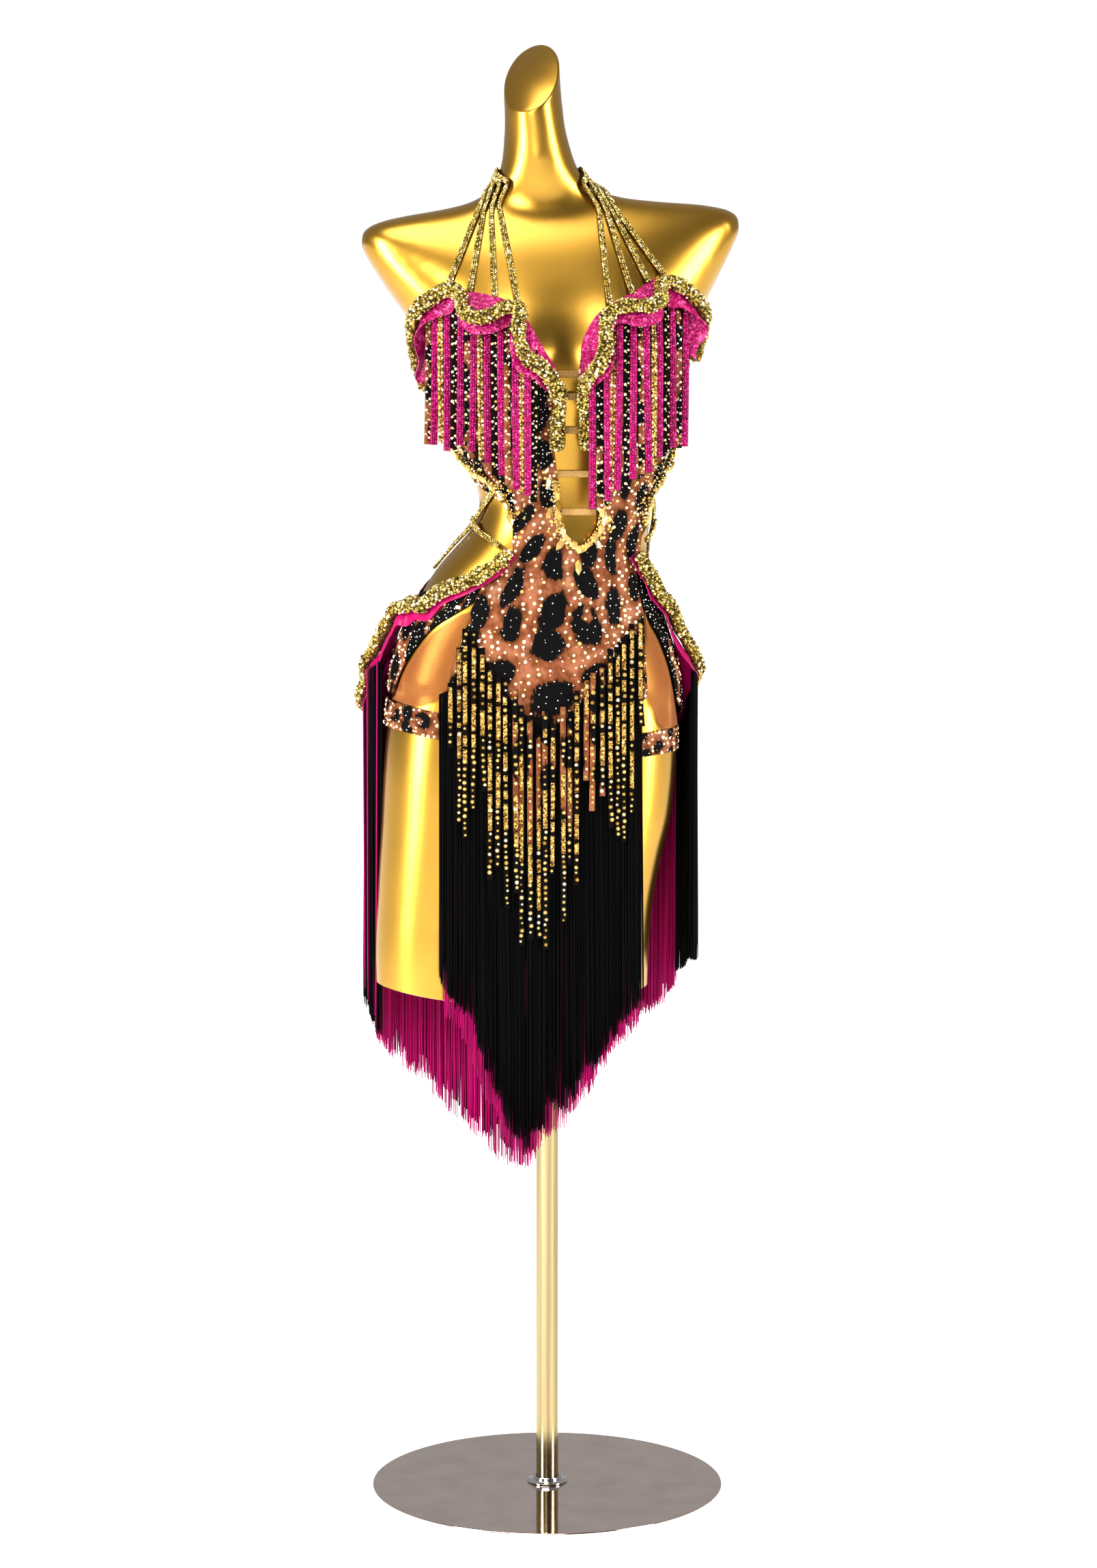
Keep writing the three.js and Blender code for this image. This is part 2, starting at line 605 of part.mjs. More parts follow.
// ---------------------------------------------------------------- form and stand
const root = new THREE.Group();
const MATERIALS = {
  form: [0xb9872b, 0.28, 0.9], pole: [0xd9bc73, 0.18, 1], chrome: [0xc9c6c2, 0.08, 1],
  print: [0xa8683f, 0.75, 0], satin: [0xd1127a, 0.35, 0], beads: [0xb89b3a, 0.3, 0.8],
  elastic: [0xb98a45, 0.7, 0.1], mesh: [0xc88148, 0.6, 0], black: [0x0b0b0c, 0.6, 0],
  pink: [0xc2127a, 0.5, 0], strips: [0x9c6a2c, 0.4, 0.5],
};

function add(name, geometry, finish) {
  const [color, roughness, metalness] = MATERIALS[finish];
  const material = new THREE.MeshStandardMaterial({ color, roughness, metalness });
  const mesh = new THREE.Mesh(facingOut(geometry), material);
  mesh.name = name;
  root.add(mesh);
}

function ringOf(point, count) {
  return Array.from({ length: count }, (_, j) => point((360 * j) / count));
}

function buildForm() {
  const angles = [...rangeOf({ from: -90, to: 90, strands: 27 }),
    ...rangeOf({ from: 108, to: 252, strands: 9 })];
  const ringAt = (point) => angles.map(point);
  const rings = [];
  const floorSteps = [[0.99, 0.45], [0.8, 0.78], [0.45, 0.94]];
  for (const [depth, scale] of floorSteps) {
    const row = rowAt(TRUNK, TRUNK_FULL);
    for (const size of ['half', 'front', 'back']) row[size] *= scale;
    row.z = TRUNK_FULL - FLOOR_DEPTH * depth;
    rings.push(ringAt((angle) => section(row, angle, () => 0)));
  }
  const heights = [905, 930, 957, 983, 1008, 1030, 1048, 1063, 1078, 1091, 1104, 1117, 1132, 1149,
    1171, 1195, 1215, 1231, 1245, 1259, 1273, 1289, 1308, 1332, 1360, 1388, 1406, 1416, 1424, 1430,
    1435, 1441, 1445, 1449, 1454, 1461, 1477, 1505, TRUNK_TOP];
  for (const z of heights) rings.push(ringAt((angle) => trunkPoint(z, angle)));
  let form = toSolid(loft(rings));
  for (const rows of Object.values(THIGHS)) {
    const stops = [...rows].reverse().map((row) => ringOf((a) => section(row, a, () => 0), 18));
    form = form.add(toSolid(loft(stops)));
  }
  const socket = new THREE.CylinderGeometry(POLE.socketDiameter / 2, POLE.socketDiameter / 2,
    POLE.socketTop - 500, 20);
  socket.rotateX(Math.PI / 2).translate(0, 0, (POLE.socketTop + 500) / 2);
  add('form_body', toGeometry(form.subtract(toSolid(socket))), 'form');
}

function buildStand() {
  const radius = BASE.diameter / 2;
  const plate = new THREE.LatheGeometry([
    new THREE.Vector2(0, 0),
    new THREE.Vector2(radius - BASE.edge, 0),
    new THREE.Vector2(radius, BASE.edge),
    new THREE.Vector2(radius, BASE.thickness - BASE.edge),
    new THREE.Vector2(radius - BASE.edge, BASE.thickness),
    new THREE.Vector2(0, BASE.thickness),
  ], BASE.sides).rotateX(Math.PI / 2);
  add('base_plate', plate, 'chrome');

  const [inner, outer] = [COLLAR.bore / 2, COLLAR.diameter / 2];
  const low = BASE.thickness + 0.3;
  const collar = new THREE.LatheGeometry([
    new THREE.Vector2(inner, low),
    new THREE.Vector2(outer, low),
    new THREE.Vector2(outer, low + 2),
    new THREE.Vector2(inner + 4, low + COLLAR.height),
    new THREE.Vector2(inner, low + COLLAR.height),
    new THREE.Vector2(inner, low),
  ], BASE.sides / 2).rotateX(Math.PI / 2);
  add('pole_collar', collar, 'chrome');

  const length = POLE.top - low;
  const pole = new THREE.CylinderGeometry(POLE.diameter / 2, POLE.diameter / 2, length, 24);
  pole.rotateX(Math.PI / 2).translate(0, 0, low + length / 2);
  add('stand_pole', pole, 'pole');
}

// ---------------------------------------------------------------- sewn panels
function buildBodice(side) {
  const sign = side === 'left' ? -1 : 1;
  const roots = BUST_FLOUNCE[side].map((row) => ({ x: row.rootX, z: row.rootZ - 3 }));
  const onTop = roots.slice(2).filter((row) => Math.abs(row.x) < 199);
  const underarm = { angle: sign * BODICE_SIDE, z: 1298 };
  const top = [underarm, ...patternLine([...onTop].reverse())];
  const plunge = patternLine(PLUNGE[side]);
  plunge[0] = top[top.length - 1];
  const outer = [underarm, { angle: sign * BODICE_SIDE, z: 1250 },
    { angle: sign * BODICE_SIDE, z: BODICE_EDGE[side][0].z },
    ...patternLine(BODICE_EDGE[side].slice(1))];
  const bottom = [outer[outer.length - 1], plunge[plunge.length - 1]];
  add(`bodice_${side}`, layPanel({ top, bottom, left: outer, right: plunge, columns: 12, rows: 16 }),
    'print');
}

// Below the hips the front panel hangs clear of the thighs.
function apronGap(z) {
  return SKIN_GAP + 5.6 * THREE.MathUtils.smoothstep(940 - z, 0, 45);
}

function buildFrontPanel() {
  const [left, right] = [patternLine(FRONT_EDGE.left), patternLine(FRONT_EDGE.right)];
  const top = [left[0], ...patternLine([{ x: 0, z: WAIST_SEAM }, { x: 34, z: WAIST_SEAM },
    { x: 70, z: WAIST_SEAM }]), right[0]];
  const hem = patternLine(FRONT_HEM);
  hem[0] = left[left.length - 1];
  hem[hem.length - 1] = right[right.length - 1];
  add('front_panel', layPanel({ top, bottom: hem, left, right, columns: 12, rows: 11,
    gap: apronGap }), 'print');
}

// The same line a little further from the front panel, for the piece that is sewn to it.
function besideFront(side, fromZ, toZ, away) {
  const sign = side === 'left' ? -1 : 1;
  return patternLine([0, 0.25, 0.5, 0.75, 1].map((t) => {
    const z = THREE.MathUtils.lerp(fromZ, toZ, t);
    return { x: smoothAt(FRONT_EDGE[side], 'z', 'x', z) + sign * away, z };
  }));
}

function buildSeatPanel() {
  const back = (line) => line.map((p) => ({ angle: p.angle - 360, z: p.z }));
  const left = besideFront('left', 1040, 1004, SEAM + 0.4);
  const right = back(besideFront('right', 1044, 998, SEAM + 0.4));
  const top = [left[0], ...patternLine(SEAT_TOP_SIDE.left.slice(1)), ...SEAT_TOP,
    ...back(patternLine(SEAT_TOP_SIDE.right.slice(1)).reverse()), right[0]];
  const bottom = [left[4], ...patternLine(LEG_OPENING.left.slice(1)), ...SEAT_BOTTOM,
    ...back(patternLine(LEG_OPENING.right.slice(1)).reverse()), right[4]];
  add('seat_panel', layPanel({ top, bottom, left, right, columns: 36, rows: 5,
    gap: () => SEAT_GAP }), 'print');
}

// Sheer inset between the leg opening, the front panel and the leg band.
function buildMeshLeg(side) {
  const sign = side === 'left' ? -1 : 1;
  const band = LEG_BAND[side];
  const thigh = rowAt(THIGHS[side], band.top);
  const lowAt = (x) => band.top + band.roll * (x - thigh.cx) + 3;
  const opening = LEG_OPENING[side];
  const outerX = opening[opening.length - 1].x;
  const outerLow = { x: outerX + sign, z: lowAt(outerX) };
  const panelLow = Math.max(lowAt(sign * 108), 902);
  const inner = besideFront(side, 994, panelLow, 2);
  const outer = patternLine([{ x: opening[0].x - 4 * sign + sign * 6, z: 994 },
    ...opening.slice(1).map((row) => ({ x: row.x - sign * 2.5, z: row.z - 2.5 })), outerLow]);
  const middleX = (outerX + sign * 110) / 2;
  const bottom = [outer[outer.length - 1], seen(middleX, lowAt(middleX)), inner[4]];
  add(`mesh_leg_${side}`, layPanel({ top: [outer[0], inner[0]], bottom, left: outer, right: inner,
    columns: 5, rows: 7 }), 'mesh');
}

function buildLegBand(side) {
  const { top, bottom, roll: slope } = LEG_BAND[side];
  const point = (z, angle) => section({ ...rowAt(THIGHS[side], z), roll: slope }, angle, () => 0);
  const ring = (z, out) => ringOf((angle) => point(z, angle)
    .addScaledVector(normalAt(point, z, angle), out), 22);
  const heights = [bottom, top];
  const inner = heights.map((z) => ring(z, BAND_GAP));
  const outer = heights.map((z) => ring(z, BAND_GAP + CLOTH));
  add(`leg_band_${side}`, wall(inner, outer, true), 'print');
}

// ---------------------------------------------------------------- flounces and beaded rolls
// The lines along a flounce: where it is sewn, where it touches its beaded roll, its free edge, and
// the roll itself with its upward direction. The satin runs straight from its seam to the roll.
function flounceLines(side, stops, radius, gap) {
  const lines = { root: [], under: [], edge: [], rope: [], lift: [] };
  const clear = radius + SATIN / 2 + gap;
  const down = new THREE.Vector3(0, 0, -1);
  const ropes = stops.map((stop) => skin(stop.rope.z, stop.rope.angle, stop.out));
  for (const [i, stop] of stops.entries()) {
    const rope = ropes[i];
    const root = skin(stop.root.z, stop.root.angle, OVER_CLOTH + 0.3 + SATIN / 2);
    const run = ropes[Math.min(i + 1, stops.length - 1)].clone().sub(ropes[Math.max(i - 1, 0)])
      .normalize();
    const square = (vector) => vector.addScaledVector(run, -vector.dot(run));
    const reach = square(rope.clone().sub(root));
    const along = reach.clone().normalize();
    const rise = along.clone().cross(run).multiplyScalar(side === 'left' ? -1 : 1);
    const lean = Math.min(clear / reach.length(), 0.95);
    const lift = along.clone().multiplyScalar(lean)
      .addScaledVector(rise, Math.sqrt(1 - lean * lean));
    const under = rope.clone().addScaledVector(lift, -clear);
    const fall = square(along.multiplyScalar(0.35).add(down));
    const edge = under.clone().addScaledVector(fall, stop.drop);
    lines.root.push(root);
    lines.under.push(under);
    lines.edge.push(edge);
    lines.rope.push(rope);
    lines.lift.push(lift);
  }
  return lines;
}

function flounceWall(lines, perStop) {
  const middle = [lines.root, lines.under, lines.edge].map((line) => follow(line, perStop));
  const last = middle[0].length - 1;
  const shifted = (way) => middle.map((line, i) => line.map((point, j) => {
    const along = line[Math.min(j + 1, last)].clone().sub(line[Math.max(j - 1, 0)]);
    const [low, high] = [middle[Math.max(i - 1, 0)][j], middle[Math.min(i + 1, 2)][j]];
    const normal = high.clone().sub(low).cross(along).normalize();
    return point.clone().addScaledVector(normal, (way * SATIN) / 2);
  }));
  return wall(shifted(-1), shifted(1));
}

function ropeSweep(points, lifts, radius) {
  return sweep(follow(points, 2), follow(lifts, 2), roll(radius, ROPE.sides));
}

function buildBustFlounce(side) {
  const stops = BUST_FLOUNCE[side].map((row) => ({
    root: seen(row.rootX, row.rootZ, OVER_CLOTH),
    rope: seen(row.ropeX, row.ropeZ, row.out),
    out: row.out,
    drop: row.drop,
  }));
  const lines = flounceLines(side, stops, ROPE.bust, ROPE.bustGap);
  add(`bust_flounce_${side}`, flounceWall(lines, 2), 'satin');
  const tail = ROPE_TAIL[side].map((row) => onFront(row.x, row.z, row.out));
  const up = new THREE.Vector3(0, -1, 0);
  add(`bust_rope_${side}`, ropeSweep([...tail, ...lines.rope], [up, up, ...lines.lift], ROPE.bust),
    'beads');
}

const hipEdges = {};

function buildHipFlounce(side) {
  const front = HIP_FRONT[side].map((row) => ({
    root: seen(row.rootX, row.rootZ, OVER_CLOTH),
    rope: seen(row.ropeX, row.ropeZ, row.out),
    out: row.out,
    drop: row.drop,
  }));
  const round = HIP_SIDE[side].map((row) => ({
    root: { angle: row.angle, z: row.rootZ },
    rope: { angle: row.angle, z: row.ropeZ },
    out: row.out,
    drop: row.drop,
  }));
  const lines = flounceLines(side, [...front, ...round], ROPE.hip, ROPE.hipGap);
  add(`hip_flounce_${side}`, flounceWall(lines, 2), 'satin');
  add(`hip_rope_${side}`, ropeSweep(lines.rope, lines.lift, ROPE.hip), 'beads');
  hipEdges[side] = { edge: lines.edge, first: front.length };
}

// ---------------------------------------------------------------- straps and trims
function strapOn(places, out, width, thickness, count, name, finish) {
  const points = places.map((p) => skin(p.z, p.angle, out));
  const normals = places.map((p) => normalAt(trunkPoint, p.z, p.angle));
  add(name, sweep(spread(points, count), spread(normals, count), bar(width, thickness)), finish);
}

function between(from, to, count) {
  return Array.from({ length: count + 1 }, (_, i) => ({
    angle: THREE.MathUtils.lerp(from.angle, to.angle, i / count),
    z: THREE.MathUtils.lerp(from.z, to.z, i / count),
  }));
}

function buildNeckStraps(side) {
  const sign = side === 'left' ? -1 : 1;
  const ends = NECK_POINT[side];
  const out = STRAP.gap + STRAP.thickness / 2;
  const inwards = side === 'left' ? NECK_STRAPS.left : [...NECK_STRAPS.right].reverse();
  inwards.forEach((row, i) => {
    const end = skin(ends.z + i * ends.rise, ends.angle - sign * i * ends.fan, out);
    const start = onFront(row.x, row.z, out);
    const stops = [0, 0.2, 0.4, 0.55, 0.7, 0.8, 0.88, 0.94, 1].map((t) => {
      const flat = start.clone().lerp(end, t);
      return seen(flat.x, flat.z, out);
    });
    strapOn(stops, out, STRAP.neck, STRAP.thickness, 9, `neck_strap_${side}_${i + 1}`, 'beads');
  });
}

function buildNeckBand() {
  const out = STRAP.gap + NECK_BAND.thickness / 2;
  const stops = between({ angle: -84, z: NECK_BAND.z }, { angle: -276, z: NECK_BAND.z }, 16);
  strapOn(stops, out, NECK_BAND.width, NECK_BAND.thickness, 14, 'neck_band', 'beads');
}

function buildBodyStraps(side) {
  const out = STRAP.gap + STRAP.thickness / 2;
  const { side: width, thickness } = STRAP;
  strapOn(SIDE_STRAP[side], out, width, thickness, 8, `side_strap_${side}`, 'beads');
  const waist = out + thickness + 1.3;
  strapOn(WAIST_STRAP[side], waist, width, thickness, 5, `waist_strap_${side}`, 'beads');
}

function buildCrossStraps() {
  CROSS_STRAPS.forEach((z, i) => {
    const out = STRAP.gap + CLOTH / 2;
    const [from, to] = ['left', 'right'].map((side) => smoothAt(PLUNGE[side], 'z', 'x', z));
    const [a, b] = [onFront(from + 3 * SEAM, z, out), onFront(to - 3 * SEAM, z, out)];
    const middle = a.clone().lerp(b, 0.5);
    middle.y = Math.min(middle.y, onFront(middle.x, z, SKIN_GAP + 1).y);
    const path = spread([a, middle, b], 4);
    const ahead = new THREE.Vector3(Math.sin(YAW), -Math.cos(YAW), 0);
    add(`cross_strap_${i + 1}`, sweep(path, path.map(() => ahead), bar(STRAP.cross, STRAP.elastic)),
      'elastic');
  });
}

function buildBackBand() {
  const out = SKIN_GAP + CLOTH / 2;
  const stops = between({ angle: -BODICE_SIDE - 0.4, z: BACK_BAND.z },
    { angle: -360 + BODICE_SIDE + 0.4, z: BACK_BAND.z }, 20);
  strapOn(stops, out, BACK_BAND.width, CLOTH, 14, 'back_band', 'print');
}

function trimAlong(places, radius, count, name) {
  const out = OVER_CLOTH + radius;
  const points = places.map((p) => skin(p.z, p.angle, out));
  const normals = places.map((p) => normalAt(trunkPoint, p.z, p.angle));
  add(name, sweep(spread(points, count), spread(normals, count), roll(radius, TRIM.sides)), 'beads');
}

function buildTrims() {
  const inward = { left: -1, right: 1 };
  const edge = (side) => patternLine(PLUNGE[side].filter((row) => row.z < 1162 && row.z > 1064)
    .map((row) => ({ x: row.x + 2 * inward[side], z: row.z - 1 })));
  const foot = seen(34, 1061);
  trimAlong([...edge('left'), foot, ...edge('right').reverse()], TRIM.plunge, 24, 'plunge_trim');
  for (const side of ['left', 'right']) {
    const rows = BODICE_EDGE[side].slice(1, -1);
    const start = { angle: inward[side] * 90, z: BODICE_EDGE[side][0].z + 2 };
    trimAlong([start, ...patternLine(rows.map((row) => ({ x: row.x - 2 * inward[side], z: row.z + 1 })))],
      TRIM.side, 10, `side_trim_${side}`);
  }
}

// ---------------------------------------------------------------- fringes
// A comb: strands hung from a narrow strip, all one body. Each strand is a list of points from the
// middle of the strip down; outwards holds the strip's outward normal at each strand.
function fringe(name, strands, outwards, strip, width, thickness, finish) {
  const vertices = [];
  const faces = [];
  const quad = (a, b, c, d) => faces.push([a, b, c], [a, c, d]);
  const tops = strands.map((strand, i) => {
    const along = strands[Math.min(i + 1, strands.length - 1)][0].clone()
      .sub(strands[Math.max(i - 1, 0)][0]).normalize();
    const rise = outwards[i].clone().cross(along).normalize();
    const level = along.clone().setZ(0).normalize();
    const ahead = outwards[i].clone().setZ(0).normalize();
    const corner = (point, aside, across, deep, depth) => vertices.push(point.clone()
      .addScaledVector(aside, across).addScaledVector(deep, depth)) - 1;
    const [half, deep] = [width / 2, thickness / 2];
    const ring = (point, aside, out, size) => [[-1, 1], [1, 1], [1, -1], [-1, -1]]
      .map(([x, y]) => corner(point, aside, x * half * size, out, y * deep));
    const lift = rise.z < 0 ? -0.5 : 0.5;
    const upper = ring(strand[0].clone().addScaledVector(rise, lift * strip), along, outwards[i], 1);
    let above = ring(strand[0].clone().addScaledVector(rise, -lift * strip), along, outwards[i], 1);
    const root = above;
    strand.slice(1).forEach((point, k) => {
      const below = ring(point, level, ahead, k + 2 === strand.length ? 0.8 : 1);
      for (let j = 0; j < 4; j += 1) {
        const next = (j + 1) % 4;
        quad(above[j], above[next], below[next], below[j]);
      }
      above = below;
    });
    quad(above[0], above[1], above[2], above[3]);
    return { upper, root };
  });
  tops.forEach(({ upper, root }, i) => {
    quad(upper[0], upper[1], root[1], root[0]);
    quad(upper[2], upper[3], root[3], root[2]);
    quad(upper[3], upper[2], upper[1], upper[0]);
    const next = tops[i + 1];
    if (!next) return;
    quad(upper[1], next.upper[0], next.root[0], root[1]);
    quad(next.upper[3], upper[2], root[2], next.root[3]);
    quad(upper[2], next.upper[3], next.upper[0], upper[1]);
    quad(root[1], next.root[0], next.root[3], root[2]);
  });
  const [first, last] = [tops[0], tops[tops.length - 1]];
  quad(first.upper[0], first.root[0], first.root[3], first.upper[3]);
  quad(last.upper[1], last.upper[2], last.root[2], last.root[1]);
  add(name, closedMesh(vertices, faces), finish);
}

function rangeOf({ from, to, strands }) {
  return Array.from({ length: strands }, (_, i) => THREE.MathUtils.lerp(from, to, i / (strands - 1)));
}

function buildBustFringe(side) {
  const { width, thickness, hang, rootBelow, highest, strip } = BUST_FRINGE;
  const layer = BUST_FRINGE[side];
  const roots = BUST_FLOUNCE[side].slice(2, 17);
  const out = OVER_CLOTH + thickness / 2 + 0.3;
  const outwards = [];
  const strands = rangeOf(layer).map((x) => {
    const rootZ = Math.min(smoothAt(roots, 'rootX', 'rootZ', x) - rootBelow, highest);
    const place = seen(x, rootZ, out);
    outwards.push(normalAt(trunkPoint, place.z, place.angle));
    const start = skin(place.z, place.angle, out);
    const full = onFront(x, Math.min(1262, rootZ - 12), hang);
    return [start, full, new THREE.Vector3(full.x, full.y, smoothAt(layer.bottoms, 'x', 'z', x))];
  });
  fringe(`bust_fringe_${side}`, strands, outwards, strip, width, thickness, 'pink');
}

// The fringes on the front panel lie in three layers: pink behind it, black and gold before it.
const APRON_LAYERS = {
  pink: -1.6 - SKIRT_FRINGE.thickness / 2,
  black: CLOTH + 0.7 + SKIRT_FRINGE.thickness / 2,
  gold: CLOTH + 3.4 + SKIRT_FRINGE.thickness + GOLD_FRINGE.thickness / 2,
};

function buildGoldFringe() {
  const { roots, bottoms, width, thickness, strip } = GOLD_FRINGE;
  const outwards = [];
  const strands = rangeOf(GOLD_FRINGE).map((x) => {
    const z = smoothAt(roots, 'x', 'z', x);
    const place = seen(x, z);
    outwards.push(normalAt(trunkPoint, place.z, place.angle));
    const start = onFront(x, z, apronGap(z) + CLOTH + 1 + thickness / 2);
    const belly = onFront(x, Math.min(z - 14, 893), apronGap(0) + APRON_LAYERS.gold);
    belly.x = start.x;
    return [start, belly, new THREE.Vector3(start.x, belly.y, lineAt(bottoms, 'x', 'z', x))];
  });
  fringe('gold_fringe', strands, outwards, strip, width, thickness, 'strips');
}

function buildFrontFringe(name, from, to, count, hem, layer, finish) {
  const { width, thickness, strip } = SKIRT_FRINGE;
  const outwards = [];
  const strands = rangeOf({ from, to, strands: count }).map((x) => {
    const z = smoothAt(FRONT_HEM, 'x', 'z', x) + 5;
    const start = onFront(x, z, apronGap(z) + layer);
    outwards.push(new THREE.Vector3(Math.sin(YAW), -Math.cos(YAW), 0));
    return [start, new THREE.Vector3(start.x, start.y, lineAt(hem, 'x', 'z', x))];
  });
  fringe(name, strands, outwards, strip, width, thickness, finish);
}

// Points on a hip flounce's free edge, two for each stop, between two places counted in stops from
// the first one at the side.
function edgePoints(side, from, to) {
  const { edge, first } = hipEdges[side];
  return follow(edge, 2).slice(2 * (first + from), 2 * (first + to) + 1);
}

// Black fringe hung just under the flounce's free edge.
function buildEdgeFringe(name, edge, hemRise, gap) {
  const { width, thickness, strip, backHem } = SKIRT_FRINGE;
  const starts = edge.map((point, i) => {
    const run = edge[Math.min(i + 1, edge.length - 1)].clone().sub(edge[Math.max(i - 1, 0)]);
    const level = Math.hypot(run.x, run.y) / run.length();
    return point.clone().setZ(point.z - (strip / 2 + gap) / Math.max(level, 0.5));
  });
  const outwards = starts.map((point) => new THREE.Vector3(point.x - TRUNK[3].cx, point.y, 0)
    .normalize());
  const strands = starts.map((start) => [start,
    new THREE.Vector3(start.x, start.y, smoothAt(backHem, 'x', 'z', start.x) + hemRise)]);
  fringe(name, strands, outwards, strip, width, thickness, 'black');
}

// Pink fringe on the seat panel, inside the black one.
function buildPinkFringe() {
  const { width, thickness, strip, backHem, backPinkStrands } = SKIRT_FRINGE;
  const roots = [...HIP_SIDE.left, ...[...HIP_SIDE.right].reverse()
    .map((row) => ({ ...row, angle: row.angle - 360 }))];
  const outwards = [];
  const strands = rangeOf({ from: -104, to: -247, strands: backPinkStrands }).map((angle) => {
    const root = smoothAt(roots, 'angle', 'rootZ', angle) - 24;
    const start = skin(root, angle, OVER_CLOTH + thickness / 2 + 0.1);
    outwards.push(normalAt(trunkPoint, root, angle));
    const widest = skin(smoothAt(roots, 'angle', 'ropeZ', angle) - 34, angle,
      smoothAt(PINK_OUT, 'angle', 'out', angle));
    return [start, widest, new THREE.Vector3(widest.x, widest.y, smoothAt(backHem, 'x', 'z', widest.x))];
  });
  fringe('back_fringe_pink', strands, outwards, strip, width, thickness, 'pink');
}

// ---------------------------------------------------------------- assembly
buildStand();
buildForm();
buildFrontPanel();
buildSeatPanel();
for (const side of ['left', 'right']) {
  buildBodice(side);
  buildMeshLeg(side);
  buildLegBand(side);
  buildBustFlounce(side);
  buildHipFlounce(side);
  buildNeckStraps(side);
  buildBodyStraps(side);
  buildBustFringe(side);
}
buildNeckBand();
buildBackBand();
buildCrossStraps();
buildTrims();
buildGoldFringe();
const { frontStrands, frontPinkStrands } = SKIRT_FRINGE;
buildFrontFringe('front_fringe_black', -115, 101, frontStrands, SKIRT_FRINGE.blackHem,
  APRON_LAYERS.black, 'black');
buildFrontFringe('front_fringe_pink', -108, 97, frontPinkStrands, SKIRT_FRINGE.pinkHem,
  APRON_LAYERS.pink, 'pink');
buildEdgeFringe('side_fringe_left', edgePoints('left', 6, 8.5), 14, 1.3);
buildEdgeFringe('side_fringe_right', edgePoints('right', 4.5, 8.5), 14, 1.3);
buildEdgeFringe('back_fringe_black', [...edgePoints('left', 9, 15),
  ...edgePoints('right', 9, 15).reverse()], 18, 1.8);
buildPinkFringe();

export default root;
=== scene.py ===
"""Looks of a fringed latin dance dress on its display form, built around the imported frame.

Sizes in the tables are millimetres in the frame's own axes: x to the right, z up, the front faces -y.
Angles on the body run in degrees from the centre front: +90 is the right side, 180 the back.
"""

from __future__ import annotations

import json
import logging
import math
from dataclasses import dataclass, field
from enum import Enum
from typing import Callable, Iterable, Sequence

